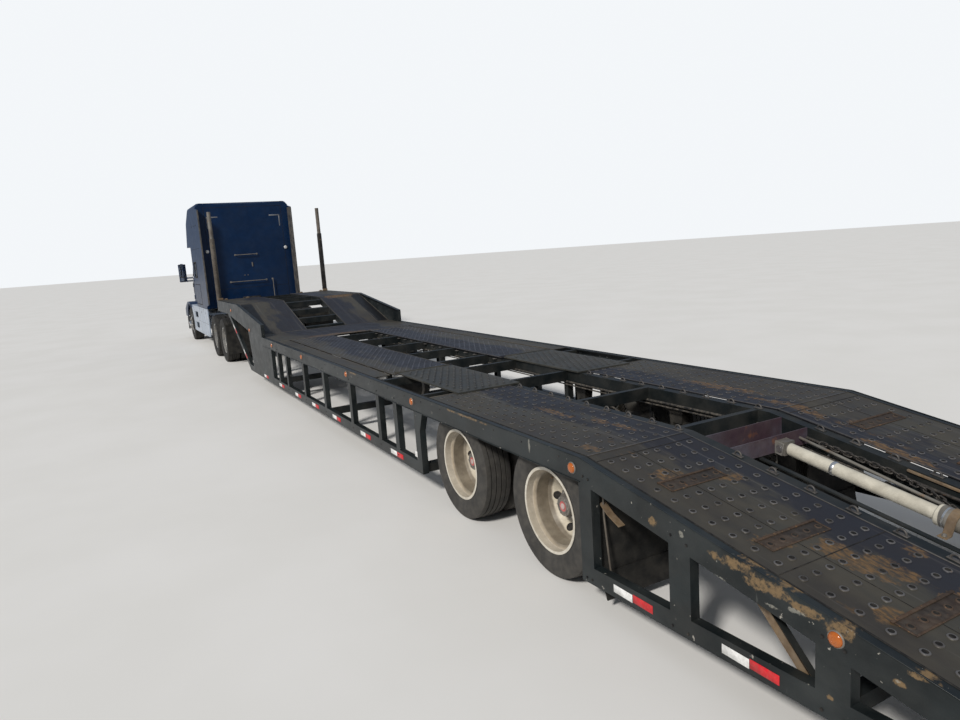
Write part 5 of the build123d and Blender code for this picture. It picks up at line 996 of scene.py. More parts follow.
class TRANSPORTER_OT_tyres(bpy.types.Operator):
    """Ribbed trailer and steer tyres and lugged drive tyres, in place of the plain ones."""

    bl_idname = "transporter.tyres"
    bl_label = "Tyres"

    def execute(self, context):
        rubber = look("Tyre Rubber")
        dusty = look("Tyre Rubber Dusty")
        ribs = tyre_profile(0.465, 0.255, (-0.066, -0.023, 0.023, 0.066), 0.011, 0.012, 0.005)
        lugs = tyre_profile(0.505, 0.285, (-0.040, 0.0, 0.040), 0.013, 0.016, 0.006)
        steer = tyre_profile(0.505, 0.285, (-0.078, -0.030, 0.030, 0.078), 0.011, 0.013, 0.006)
        meshes = {
            "rear": tyre_mesh("trailer_tyres", ribs, (0.15, -0.15), dusty, 88),
            "drive": tyre_mesh("drive_tyres", lugs, (0.15, -0.15), rubber, 112, 4, 0.014, 0.055),
            "steer_left": tyre_mesh("steer_tyre_left", steer, (-0.145,), rubber, 96),
            "steer_right": tyre_mesh("steer_tyre_right", steer, (0.145,), rubber, 96),
        }
        for end, place, j in wheel_ends():
            key = end if end.startswith("steer") else "drive" if end.startswith("drive") else "rear"
            piece = put("tread_tyre_" + end, meshes[key])
            piece.location = place
            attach(piece, j["child"])
            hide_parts("tyre_" + end)
        return {"FINISHED"}


class TRANSPORTER_OT_wheel_fittings(bpy.types.Operator):
    """Wheel nuts and hubs with their caps on every wheel end; hand holes, drawn as discs of painted shade, and valve
    stems on all but the steer ends.
    """

    bl_idname = "transporter.wheel_fittings"
    bl_label = "Wheel fittings"

    def execute(self, context):
        grey, red, bolts = look("Hub Grey"), look("Hub Cap Red"), look("Zinc Bolt")
        bright, brass = look("Chrome Trim"), look("Clamp Rust")
        for end, place, j in wheel_ends():
            out = 1 if end.endswith("left") else -1
            trailer = end.startswith(("rear", "front"))
            steer = end.startswith("steer")
            hub = 0.030 if steer else 0.095
            centre, axis = Vector(place), Vector((0, out, 0))
            bm = bmesh.new()
            for count, shift, radius, along, across, height, stud in (
                    (10, 0.5, 0.1428, 0.0115, 0.033, 0.024, 0.012), (6, 0.0, 0.0605, hub + 0.0465, 0.011, 0.007, 0.0),
                    (8, 0.3, 0.0865, hub + 0.0035, 0.013, 0.008, 0.0)):
                for i in range(count):
                    turn = 2 * pi * (i + shift) / count
                    spot = centre + Vector((cos(turn), 0, sin(turn))) * radius + axis * along
                    bolt(bm, spot, axis, across, height, 1, stud)
            lathe(bm, [(0.111, 0.012), (0.111, 0.020), (0.1055, 0.024), (0.1055, hub - 0.012), (0.100, hub + 0.002),
                       (0.094, hub + 0.004), (0.078, hub + 0.004), (0.074, hub + 0.010), (0.0735, hub + 0.036),
                       (0.069, hub + 0.0465), (0.050, hub + 0.047)], centre, axis, 40, 0)
            lathe(bm, [(0.050, hub + 0.047), (0.048, hub + 0.0505), (0.040, hub + 0.0515), (0.036, hub + 0.049),
                       (0.0, hub + 0.0485)], centre, axis, 32, slots=[0, 0, 0, 2])
            lathe(bm, [(0.022, hub + 0.0487), (0.021, hub + 0.0535), (0.016, hub + 0.055), (0.0, hub + 0.0555)],
                  centre, axis, 16, 4)
            if not steer:
                # Hand holes: a cream rim round a disc painted with the shade inside the hole.
                for i in range(5):
                    ray = Vector((cos(2 * pi * i / 5), 0, sin(2 * pi * i / 5)))
                    facing = (axis * 0.71 - ray * 0.70).normalized()
                    lathe(bm, [(0.0350, -0.001), (0.0335, 0.0022), (0.0312, 0.0016), (0.0, 0.0014)],
                          centre + ray * 0.2030 + axis * 0.0462, facing, 22, slots=[6, 6, 5])
                ray = Vector((cos(0.63), 0, sin(0.63)))
                tube(bm, [centre + ray * 0.236 + axis * 0.035, centre + ray * 0.243 + axis * 0.062,
                          centre + ray * 0.240 + axis * 0.098], 0.0045, 8, 3)
            finishes = [grey if trailer else bright, bolts, red if trailer else grey, brass, look("Hub Pale"),
                        look("Groove Shadow"), look("Disc Cream") if trailer else look("Bright Alloy")]
            make_piece("wheel_fittings_" + end, bm, finishes, j["child"],
                       32)
        return {"FINISHED"}


# Deck


def in_strip(x, y, strips, margin):
    """Whether a point of a track lies on one of its bordered strips."""
    return any(x0 - margin < x < x1 + margin and y0 - margin < y < y1 + margin for x0, x1, y0, y1 in strips)


# Bordered strips across the tail's tracks: rear end, front end, right edge, left edge
TAIL_STRIPS = [
    (-10.115, -10.000, 0.68, 1.10), (-10.765, -10.660, 0.68, 1.10), (-11.425, -11.320, 0.68, 1.10),
    (-10.066, -9.948, -1.11, -0.66), (-10.745, -10.635, -1.11, -0.66), (-11.405, -11.295, -1.11, -0.66),
]


def slope_turn(x):
    """Turn of something that lies on the deck at x."""
    return Matrix.Rotation(-TAIL_SLOPE if x < KNEE else 0.0, 3, "Y")


def deck_bar(bm, x, y, size, lift=0.001, chamfer=0.0015, slot=0):
    """A thin bar that lies on the deck at x and y."""
    block(bm, (x, y, deck_top(x) + lift), size, chamfer, slot, slope_turn(x))


def deck_strip(bm, x0, x1, y, wide, height, lift=0.001, chamfer=0.0015, slot=0):
    """A thin strip that lies along the deck from x0 to x1."""
    middle = (x0 + x1) / 2
    long = (x1 - x0) / cos(TAIL_SLOPE if middle < KNEE else 0.0)
    deck_bar(bm, middle, y, (long, wide, height), lift, chamfer, slot)


def dimple(bm, x, y, z, radius, height, count, turn):
    """A raised round dimple on the deck's face, with a worn rim lightened as a painted highlight and a hole painted
    with the shade inside it.
    """
    up = turn @ Vector((0, 0, 1))
    profile = [(radius, -0.0008), (radius * 0.90, height * 0.55), (radius * 0.74, height),
               (radius * 0.57, height * 0.9), (radius * 0.50, height * 0.2), (0.0, height * 0.1)]
    lathe(bm, profile, (x, y, z), up, count, slots=[0, 1, 1, 2, 2])


def dot(bm, x, y, radius, height, count):
    """A small raised dot without a hole, its top in the second finish: a worn rim with a painted highlight, or a
    painted sky reflection.
    """
    lathe(bm, [(radius, -0.0008), (radius * 0.8, height * 0.7), (radius * 0.45, height), (0.0, height)],
          (x, y, DECK_Z), (0, 0, 1), count, slots=[0, 1, 1])


class TRANSPORTER_OT_deck_dimples(bpy.types.Operator):
    """Raised dimples on the tracks and flap plates."""

    bl_idname = "transporter.deck_dimples"
    bl_label = "Deck dimples"

    def execute(self, context):
        settings = context.scene.transporter
        finishes = [look("Deck Steel"), look("Dimple Rim"), look("Groove Shadow")]
        step_x, step_y = settings.dimple_pitch_x, settings.dimple_pitch_y
        radius = settings.dimple_radius
        for side, s in SIDES:
            bm = bmesh.new()
            for row in range(19):
                x = -9.672 - row * step_x * cos(TAIL_SLOPE) * 1.003
                if x < TAIL_END + 0.06:
                    break
                for column in range(8):
                    y = s * (0.53 + column * step_y)
                    if not in_strip(x, y, TAIL_STRIPS, 0.020):
                        dimple(bm, x, y, deck_top(x), radius, 0.0055, 12, slope_turn(x))
            make_piece("tail_dimples_" + side, bm, finishes, "trailer", 50)
            bm = bmesh.new()
            for row in range(17):
                x = KNEE + 0.075 + row * step_x
                for column in range(8):
                    y = s * (0.53 + column * step_y)
                    dimple(bm, x, y, DECK_Z, radius, 0.0055, 12, slope_turn(x))
            make_piece("wheel_plate_dimples_" + side, bm, finishes, "trailer", 50)
            bm = bmesh.new()
            low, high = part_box("flap_" + side)
            lift = high.z - DECK_Z
            for row in range(18):
                for column in range(8):
                    x = low.x + 0.08 + row * 0.074
                    y = low.y + 0.055 + (column + 0.5 * (row % 2)) * 0.0745
                    if x < high.x - 0.08 and y < high.y - 0.04:
                        dot(bm, x, y, 0.0145, 0.0045, 10)
            bmesh.ops.translate(bm, verts=bm.verts, vec=(0, 0, lift))
            make_piece("flap_dimples_" + side, bm, [look("Flap Steel"), finishes[1]], "flap_" + side,
                       50)
            bm = bmesh.new()
            row, x = 0, -5.72
            while x < -1.45:
                for column in range(9):
                    y = 0.375 + (column + 0.5 * (row % 2)) * 0.0735
                    if y < 0.99:
                        dot(bm, x, s * y, 0.0145, 0.0045, 9)
                row, x = row + 1, x + 0.0735
            # The front tracks' dots carry a painted bluish sky reflection on their tops.
            make_piece("front_track_dimples_" + side, bm, [finishes[0], look("Dot Steel")], "trailer",
                       50)
        return {"FINISHED"}


class TRANSPORTER_OT_track_strips(bpy.types.Operator):
    """Rusty strips with a bar and a row of holes, plate seams and worn edges on the tracks."""

    bl_idname = "transporter.track_strips"
    bl_label = "Track strips"

    def execute(self, context):
        rusty, border, hole, seam = look("Strip Rust"), look("Strip Border"), look("Groove Shadow"), look("Hook Steel")
        bm = bmesh.new()
        for x0, x1, y0, y1 in TAIL_STRIPS:
            middle = (x0 + x1) / 2
            turn = slope_turn(middle)
            centre = Vector((middle, (y0 + y1) / 2, deck_top(middle) + 0.001))
            long, wide = (x1 - x0) / cos(TAIL_SLOPE), y1 - y0
            block(bm, centre, (long, wide, 0.003), 0.001, 0, turn)
            for along, aside, lift, size, chamfer in (
                    (long / 2 - 0.007, 0, 0.0035, (0.016, wide + 0.012, 0.009), 0.003),
                    (0.004 - long / 2, 0, 0.0015, (0.010, wide, 0.004), 0.0015),
                    (0, wide / 2 - 0.005, 0.002, (long, 0.010, 0.005), 0.002),
                    (0, 0.005 - wide / 2, 0.002, (long, 0.010, 0.005), 0.002)):
                block(bm, centre + turn @ Vector((along, aside, lift)), size, chamfer, 1, turn)
            for column in range(5):
                spot = centre + turn @ Vector((-0.006, (column - 2) * wide * 0.205, 0.0015))
                dimple(bm, spot.x, spot.y, spot.z, 0.021, 0.005, 14, turn)
        make_piece("tail_strips", bm, [rusty, border, hole], "trailer", 50)

        bm = bmesh.new()
        for s in (1, -1):
            middle = s * TRACK_MIDDLE
            for x in (-9.63, -10.90):
                deck_bar(bm, x, middle, (0.006, 0.77, 0.0022), 0.0006, 0.0008, 1)
            deck_strip(bm, TAIL_END + 0.02, -9.60, s * 0.93, 0.004, 0.002, 0.0006, 0.0008, 1)
            for x0, x1 in ((TAIL_END + 0.01, KNEE - 0.004), (KNEE + 0.002, WHEEL_PLATE_END - 0.004)):
                deck_strip(bm, x0, x1, s * TRACK_INNER, 0.009, 0.004)
            block(bm, (KNEE - 0.002, middle, DECK_Z + 0.001), (0.012, 0.78, 0.005), 0.0015, 0)
            deck_bar(bm, WHEEL_PLATE_END, middle, (0.012, 0.78, 0.005), slot=2)
            for x in MAIN_TRACK:
                deck_bar(bm, x, s * 0.675, (0.010, 0.68, 0.005), slot=2)
            for y in (0.334, 1.016):
                deck_bar(bm, -3.62, s * y, (4.44, 0.008, 0.005))
        for x in (-1.388, 0.040):
            deck_bar(bm, x, 0, (0.014, 2.46, 0.005), slot=2)
        make_piece("track_edges", bm, [seam, hole, look("Worn Edge")], "trailer", 50)
        return {"FINISHED"}


class TRANSPORTER_OT_tie_hooks(bpy.types.Operator):
    """Round-bar tie hooks along the inner rails."""

    bl_idname = "transporter.tie_hooks"
    bl_label = "Tie hooks"

    def execute(self, context):
        steel = look("Hook Steel")
        pitch = context.scene.transporter.hook_pitch
        for side, s in SIDES:
            bm = bmesh.new()
            x = (-10.195 if s > 0 else -10.165) - 6 * pitch
            while x < -1.45:
                if not (-9.90 < x < -9.60 or -7.38 < x < -5.86):
                    if x < -7.3:
                        turn = slope_turn(x)
                        base = Vector((x, s * 0.405, deck_top(x) - 0.0065))
                        loop = [turn @ point for point in arc((0, 0, 0.004), 0.024, 0, 180, 10)]
                        loop = [turn @ Vector((0.024, 0, -0.004))] + loop + [turn @ Vector((-0.024, 0, -0.004))]
                        tube(bm, [base + point for point in loop], 0.006, 8, 0)
                        block(bm, base + turn @ Vector((0, 0, 0.002)), (0.075, 0.028, 0.006), 0.002, 0, turn)
                    else:
                        base = Vector((x, s * 0.3575, deck_top(x) - 0.045))
                        angles = [radians(a) for a in range(0, 181, 18)]
                        tube(bm, [base + Vector((cos(a) * 0.026, -s * (sin(a) * 0.036 + 0.001), 0.012))
                                  for a in angles], 0.006, 8, 0)
                x += pitch
            make_piece("tie_hooks_" + side, bm, [steel], "trailer", 60)
        return {"FINISHED"}


# Side frames


class TRANSPORTER_OT_side_details(bpy.types.Operator):
    """Reflective tapes, worn lips, screws and the tail's angle-iron brace on the side frames."""

    bl_idname = "transporter.side_details"
    bl_label = "Side frame details"

    def execute(self, context):
        dark, bolts = look("Groove Shadow"), look("Post Black")
        white, red = look("White Reflector"), look("Red Reflector")
        paint, worn = look("Frame Paint"), look("Worn Edge")
        for side, s in SIDES:
            face = s * RAIL_OUT
            out = Vector((0, s, 0))
            bm = bmesh.new()
            tape, proud = 0.165, s * 0.0008
            places = [(x + offset, RAIL_LOW + 0.052, slot)
                      for x in (-0.46, -1.615, -2.632, -3.553, -4.505, -5.567, -6.492)
                      for offset, slot in ((tape / 2, 1), (-tape / 2, 0))]
            places += [(x, tail_low(x) + 0.055, slot)
                       for x, slot in ((-9.9055, 1), (-10.071, 0), (-10.711, 1), (-10.875, 0))]
            for x, z, slot in places:
                block(bm, (x, face + proud, z), (tape - 0.004, 0.002, 0.048), 0.0006, slot)
            block(bm, (-6.993, face + proud, 0.403), (0.055, 0.002, 0.055), 0.0006, 1)
            rise = atan2(LEG_HEAD[1] - LEG_FOOT[1], LEG_HEAD[0] - LEG_FOOT[0])
            ahead = Vector((cos(rise), 0, sin(rise)))
            for along in (0.50, 1.45):
                spot = Vector((LEG_FOOT[0], 0, LEG_FOOT[1])) + ahead * along
                spot += Vector((-sin(rise), 0, cos(rise))) * 0.05
                for offset, slot in ((-tape / 2, 0), (tape / 2, 1)):
                    centre = spot + ahead * offset
                    block(bm, (centre.x, face + proud, centre.z), (tape - 0.004, 0.002, 0.042), 0.0006, slot,
                          Matrix.Rotation(-rise, 3, "Y"))
            make_piece("side_tapes_" + side, bm, [red, white], "trailer", 50)

            bm = bmesh.new()
            front = -0.452
            for x0, x1 in ((TAIL_END + 0.01, KNEE), (KNEE, front)):
                deck_strip(bm, x0, x1, s * 1.2905, 0.008, 0.006, 0.002, 0.002, 0)
                deck_strip(bm, x0, x1, s * 1.2375, 0.010, 0.003, 0.0008, 0.001, 1)
            deck_bar(bm, (KNEE + front) / 2, s * (RAIL_OUT + 0.002), (front - KNEE, 0.006, 0.006), -0.147, 0.002, 0)
            deck_bar(bm, -3.7, s * 1.0575, (4.30, 0.010, 0.003), 0.0006, 0.001, 2)
            make_piece("rail_lips_" + side, bm, [paint, dark, worn], "trailer", 50)

            bm = bmesh.new()
            random.seed(3 + s)
            for i in range(20):
                x, z = -9.30 + 0.42 * i + random.uniform(-0.05, 0.05), 0.932 + random.uniform(-0.008, 0.008)
                spot = Vector((x, face, z))
                lathe(bm, [(0.007, -0.0005), (0.0065, 0.002), (0.003, 0.0035), (0.0, 0.0038)], spot, out, 10, 0)
            for x in (-9.62, -9.57, -10.30, -10.41, -11.16, -11.26, -11.93):
                for z in (tail_low(x) + 0.03, deck_top(x) - 0.10):
                    bolt(bm, (x, face - s * 0.0005, z), out, 0.012, 0.006, 0)
            for ahead in (2.51, 3.0, 3.91, 4.98, 5.97, 6.97, 7.52):
                for z in (0.29, 0.86):
                    bolt(bm, (REAR_AXLE + ahead, face - s * 0.0005, z), out, 0.011, 0.005, 0)
            make_piece("frame_screws_" + side, bm, [bolts], "trailer", 50)

            bm = bmesh.new()
            top, foot = Vector((-10.76, s * 1.212, 0.615)), Vector((-11.065, s * 1.212, tail_low(-11.065) + 0.07))
            run = foot - top
            lean = Matrix.Rotation(atan2(-run.x, -run.z), 3, "Y")
            block(bm, (top + foot) / 2 + out * 0.018, (0.050, 0.006, run.length), 0.002, 1, lean)
            block(bm, (top + foot) / 2 + lean @ Vector((-0.022, 0, 0)), (0.006, 0.042, run.length), 0.002, 0, lean)
            make_piece("tail_brace_" + side, bm, [look("Trailer Paint"), look("Bracket Tan")], "trailer",
                       40)
        return {"FINISHED"}


class TRANSPORTER_OT_side_markers(bpy.types.Operator):
    """Amber side markers and the tail's red and clear lamps, in place of the plain ones."""

    bl_idname = "transporter.side_markers"
    bl_label = "Markers and tail lamps"

    def execute(self, context):
        amber, rim = look("Amber Lens"), look("Hub Grey")
        red, clear = look("Red Lens"), look("Clear Lens")
        bm = bmesh.new()
        for s in (1, -1):
            out = Vector((0, s, 0))
            for x, z in ((-3.079, 0.902), (-5.078, 0.910), (-6.99, 0.898), (-9.466, 0.887), (-11.222, 0.615),
                         (-1.2, 0.895), (0.6, 1.02), (2.4, 1.30)):
                spot = Vector((x, s * RAIL_OUT, z)) - out * 0.0003
                lathe(bm, [(0.038, 0), (0.037, 0.005), (0.034, 0.007), (0.032, 0.006)], spot, out, 28, 1)
                lathe(bm, [(0.032, 0.0055), (0.030, 0.012), (0.020, 0.0165), (0.0, 0.0178)], spot, out, 28, 0)
                lathe(bm, [(0.016, 0.0165), (0.014, 0.0182), (0.0125, 0.0182), (0.0115, 0.0172)], spot, out, 20, 0)
        back, z = Vector((-1, 0, 0)), 0.4098
        for y, radius, lens_slot in ((1.06, 0.060, 2), (0.92, 0.060, 2), (0.78, 0.060, 3), (-1.06, 0.060, 2),
                                     (-0.92, 0.060, 2), (-0.78, 0.060, 3), (-0.09, 0.028, 2), (0.0, 0.028, 2),
                                     (0.09, 0.028, 2)):
            spot = Vector((TAIL_END + 0.022, y, z))
            lathe(bm, [(radius, -0.004), (radius, 0.006), (radius * 0.93, 0.010), (radius * 0.86, 0.007)], spot, back,
                  32, 1)
            lathe(bm, [(radius * 0.86, 0.007), (radius * 0.80, 0.014), (radius * 0.5, 0.0195), (0.0, 0.0215)], spot,
                  back, 32, lens_slot)
            for rib in (radius * 0.30, radius * 0.55):
                lathe(bm, [(rib + 0.001, 0.0188), (rib, 0.0205), (rib - 0.001, 0.0188)], spot, back, 24, lens_slot)
        make_piece("markers_and_tail_lamps", bm, [amber, rim, red, clear], "trailer", 50,
                   ("trailer_lamps",))
        return {"FINISHED"}


# Tail

# The tail cylinder's line under the deck, and the ways down the tail, square to it and across
CYLINDER_Y = -0.095
CYLINDER_DROP = 0.075
DOWN_TAIL = Vector((-cos(TAIL_SLOPE), 0, -sin(TAIL_SLOPE)))
TAIL_TURN = Matrix.Rotation(-TAIL_SLOPE, 3, "Y")
OFF_TAIL = TAIL_TURN @ Vector((0, 0, 1))
ACROSS = Vector((0, 1, 0))


def under_deck(x, y, below):
    """A point at x and y, that far below the line of the deck's face."""
    return Vector((x, y, deck_top(x) - below))


class TRANSPORTER_OT_tail_cylinder(bpy.types.Operator):
    """The tail cylinder's gland ring, collar, clevis and clamp."""

    bl_idname = "transporter.tail_cylinder"
    bl_label = "Tail cylinder"

    def execute(self, context):
        clamp, bright, grey = look("Bracket Tan"), look("Bright Alloy"), look("Barrel Grey")
        bm = bmesh.new()
        gland = under_deck(-10.89, CYLINDER_Y, CYLINDER_DROP)
        lathe(bm, [(0.0415, -0.0215), (0.050, -0.0225), (0.0565, -0.016), (0.0608, -0.002), (0.0612, 0.004),
                   (0.0595, 0.006)], gland, DOWN_TAIL, 36, 1)
        lathe(bm, [(0.0595, 0.006), (0.0625, 0.010), (0.0625, 0.030), (0.0605, 0.034)], gland, DOWN_TAIL, 36, 0)
        collar = under_deck(-10.235, CYLINDER_Y, CYLINDER_DROP)
        lathe(bm, [(0.0405, -0.012), (0.0435, -0.008), (0.0435, 0.008), (0.0405, 0.012)], collar, DOWN_TAIL, 32, 1)
        pin = under_deck(-9.885, CYLINDER_Y, CYLINDER_DROP)
        lathe(bm, [(0, -0.060), (0.018, -0.060), (0.018, 0.060), (0, 0.060)], pin, ACROSS, 20, 1)
        for sign in (1, -1):
            block(bm, pin + Vector((0.008, sign * 0.049, 0)), (0.070, 0.010, 0.085), 0.005, 0, TAIL_TURN)
            lathe(bm, [(0.025, 0), (0.025, 0.005), (0.0, 0.005)], pin + ACROSS * sign * 0.054, ACROSS * sign, 16, 1)
        make_piece("cylinder_gland", bm, [grey, bright], "trailer", 40)

        bm = bmesh.new()
        spot = gland + DOWN_TAIL * 0.050
        strap = [spot + (ACROSS * cos(radians(a)) + OFF_TAIL * sin(radians(a))) * 0.0655 for a in range(0, 201, 20)]
        strap = [spot + ACROSS * 0.125 - OFF_TAIL * 0.056, spot + ACROSS * 0.074 - OFF_TAIL * 0.055] + strap
        strap += [spot - ACROSS * 0.066 - OFF_TAIL * 0.060]
        for near, far in zip(strap, strap[1:]):
            run = far - near
            sideways = DOWN_TAIL.cross(run.normalized())
            lie = Matrix((DOWN_TAIL, run.normalized(), sideways)).transposed()
            block(bm, (near + far) / 2, (0.048, run.length + 0.004, 0.006), 0.0015, 0, lie)
        bolt(bm, spot + ACROSS * 0.102 - OFF_TAIL * 0.052, OFF_TAIL, 0.020, 0.012, 1)
        make_piece("cylinder_clamp", bm, [clamp, look("Zinc Bolt")], "trailer", 40)
        return {"FINISHED"}


class TRANSPORTER_OT_tail_lines(bpy.types.Operator):
    """The chain, pipe and clipped hoses in the tail's open middle, and its inner flanges."""

    bl_idname = "transporter.tail_lines"
    bl_label = "Tail chain and hoses"

    def execute(self, context):
        chain, hose, bolts = look("Chain Steel"), look("Hose Rubber"), look("Zinc Bolt")
        bm = bmesh.new()
        corners = [under_deck(*place) for place in (
            (-10.02, -0.290, 0.045), (-10.47, -0.300, 0.045), (-10.73, -0.262, 0.055), (-10.90, -0.200, 0.075),
            (-11.35, -0.215, 0.085), (-11.84, -0.190, 0.085))]
        runs = [far - near for near, far in zip(corners, corners[1:])]
        total = sum(run.length for run in runs)
        index, reached = 0, 0.0
        while reached < total:
            rest, at = reached, 0
            while at < len(runs) - 1 and rest > runs[at].length:
                rest -= runs[at].length
                at += 1
            way = runs[at].normalized()
            centre = corners[at] + way * rest
            side_way = ACROSS.cross(way).normalized()
            flat = way.cross(side_way).normalized()
            tilt = radians(50 if index % 2 else -40)
            sideways = flat * cos(tilt) + side_way * sin(tilt)
            oval = []
            for k in range(14):
                a = 2 * pi * k / 14
                end = 0.014 if cos(a) > 0 else -0.014
                oval.append(centre + way * (cos(a) * 0.014 + end) + sideways * sin(a) * 0.015)
            tube(bm, oval, 0.0052, 7, 0, closed=True)
            reached += 0.043
            index += 1
        make_piece("tail_chain", bm, [chain], "trailer", 60)

        bm = bmesh.new()
        for number, (y, radius, wave) in enumerate(((-0.205, 0.009, 0.008), (-0.250, 0.008, 0.010))):
            points = []
            for i in range(60):
                x = -9.90 - i * 0.032
                rise = 0.006 * sin(i * 0.55 + number * 1.7)
                points.append(under_deck(x, y + wave * sin(i * 0.42 + number * 2.1), 0.108 - rise - number * 0.004))
            tube(bm, points, radius, 8, 0)
        tube(bm, [under_deck(*place) for place in (
            (-9.79, -0.290, 0.062), (-10.25, -0.245, 0.062), (-10.71, -0.205, 0.064), (-11.30, -0.190, 0.075),
            (-11.85, -0.185, 0.080))], 0.0095, 10, 3)
        for i in range(5):
            x = -10.05 - i * 0.40
            block(bm, under_deck(x, -0.235, 0.118), (0.035, 0.120, 0.014), 0.004, 1, TAIL_TURN)
            bolt(bm, under_deck(x, -0.302, 0.112), OFF_TAIL, 0.014, 0.010, 2)
        tube(bm, [under_deck(-9.87, -0.328, 0.062), under_deck(-11.9, -0.328, 0.062)], 0.010, 8, 1)
        make_piece("tail_hoses", bm, [hose, chain, bolts, look("Post Grey")], "trailer", 60)

        bm = bmesh.new()
        x0, x1 = -11.90, -9.87
        middle = (x0 + x1) / 2
        for y in (0.115, -0.335):
            block(bm, under_deck(middle, y, 0.113), ((x1 - x0) / cos(TAIL_SLOPE), 0.035, 0.012), 0.003, 0, TAIL_TURN)
        block(bm, under_deck(-10.67, -0.352, 0.020), (0.30, 0.014, 0.016), 0.003, 1, TAIL_TURN)
        make_piece("tail_inner_flanges", bm, [look("Trailer Paint"), look("Bracket Tan")], "trailer",
                   40)
        return {"FINISHED"}


class TRANSPORTER_OT_tail_plates(bpy.types.Operator):
    """The blank number plate, and the mud flaps' brackets and lower tails."""

    bl_idname = "transporter.tail_plates"
    bl_label = "Number plate and mud flaps"

    def execute(self, context):
        bm = bmesh.new()
        block(bm, (TAIL_END + 0.004, -0.35, 0.395), (0.006, 0.31, 0.15), 0.002, 0)
        make_piece("number_plate", bm, [look("White Reflector")], "trailer", 40)

        bm = bmesh.new()
        for s in (1, -1):
            x = -9.612
            for y in (0.70, 0.86, 1.02, 1.18):
                bolt(bm, (x - 0.009, s * y, 0.86), (-1, 0, 0), 0.016, 0.008, 0)
            block(bm, (x - 0.011, s * 0.95, 0.86), (0.008, 0.52, 0.05), 0.002, 1)
            rod = [(-9.640, 1.205, 0.84), (-9.643, 1.205, 0.61), (-9.670, 1.205, 0.40), (-9.688, 1.205, 0.268)]
            tube(bm, [(px, s * py, pz) for px, py, pz in rod], 0.006, 8, 3)
            plate = [(-9.630, 0.690), (-9.700, 0.640), (-9.800, 0.598)]
            for near, far in zip(plate, plate[1:]):
                run = Vector((far[0] - near[0], 0, far[1] - near[1]))
                block(bm, ((near[0] + far[0]) / 2, s * 1.200, (near[1] + far[1]) / 2),
                      (run.length + 0.004, 0.050, 0.006), 0.002, 2, Matrix.Rotation(-atan2(-run.z, -run.x), 3, "Y"))
        make_piece("mud_flap_brackets", bm, [look("Zinc Bolt"), look("Post Black"), look("Bracket Tan"),
                                             look("Post Brown")], "trailer", 40)

        bm = bmesh.new()
        for s in (1, -1):
            hang = [(-9.6215, 0.24), (-9.623, 0.19), (-9.634, 0.13), (-9.652, 0.075)]
            for (xa, za), (xb, zb) in zip(hang, hang[1:]):
                corners = [(xa, s * 0.685, za), (xa, s * 1.215, za), (xb, s * 1.215, zb), (xb, s * 0.685, zb)]
                slab(bm, corners, (-0.008, 0, 0), 0)
        make_piece("mud_flap_tails", bm, [look("Mud Rubber")], "trailer", 30)
        return {"FINISHED"}


class TRANSPORTER_OT_tray_lining(bpy.types.Operator):
    """Bolts in the tray under the deck's knee."""

    bl_idname = "transporter.tray_lining"
    bl_label = "Tray lining"

    def execute(self, context):
        bm = bmesh.new()
        for s in (1, -1):
            for x in (-9.83, -9.66):
                for y in (0.50, 0.66, 0.82):
                    bolt(bm, (x, s * y, DECK_Z - 0.104 - (0.03 if x < -9.7 else 0.012)), (0, 0, 1), 0.016, 0.008, 0)
        make_piece("tray_bolts", bm, [look("Bracket Tan")], "trailer", 40)
        return {"FINISHED"}


# Posts, neck and landing gear


class TRANSPORTER_OT_post_details(bpy.types.Operator):
    """Head posts: pin holes, collars, brackets and their two paints, in place of the plain ones."""

    bl_idname = "transporter.post_details"
    bl_label = "Head posts"

    def execute(self, context):
        dark, bolts = look("Groove Shadow"), look("Bracket Tan")
        radius, pin_radius = 0.0535, 0.0415
        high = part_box("head_posts")[1]
        x = high.x - radius
        up, back = Vector((0, 0, 1)), Vector((-1, 0, 0))
        for side, s in SIDES:
            sleeve = look("Post Brown") if s > 0 else look("Post Black")
            tube_paint = look("Post Grey") if s > 0 else look("Post Brown")
            bm = bmesh.new()
            base = Vector((x, s * POST_Y, 0))
            lathe(bm, [(0.0, 1.215), (0.0515, 1.215), (radius, 1.218), (radius, 2.800), (radius, 2.804),
                       (radius, 2.828), (0.0495, 2.830), (pin_radius, 2.830)], base, up, 36, 0)
            lathe(bm, [(pin_radius, 2.830), (pin_radius, 3.424), (0.0395, 3.430), (0.0330, 3.430), (0.0325, 3.400),
                       (0.0, 3.400)], base, up, 36, slots=[3, 3, 3, 1, 1])
            for z in (1.255, 1.39):
                block(bm, ((4.1503 + x) / 2, s * POST_Y, z), (x - 4.1503, 2 * radius, 0.010), 0.002, 0)
            # The pin holes are short discs painted dark with the shade inside a hole.
            holes = [(0.009, 0.0015, 0.0528, z, 14) for z in (2.62, 2.74)]
            holes += [(0.008, 0.0012, 0.0529, 1.60 + 0.16 * i, 12) for i in range(6)]
            for hole, high, out, z, count in holes:
                lathe(bm, [(hole, 0.0), (hole, high), (0.0, high)], base + Vector((-out, 0, z)), back, count, 1)
            bolt(bm, base + Vector((-0.0530, 0, 2.68)), back, 0.02, 0.012, 2)
            block(bm, (4.126, s * 1.215, 1.475), (0.030, 0.11, 0.045), 0.004, 2)
            block(bm, (4.130, s * 1.175, 1.462), (0.035, 0.035, 0.020), 0.004, 2)
            make_piece("head_post_" + side, bm, [sleeve, dark, bolts, tube_paint], "trailer", 40,
                       ("head_posts",))
        return {"FINISHED"}


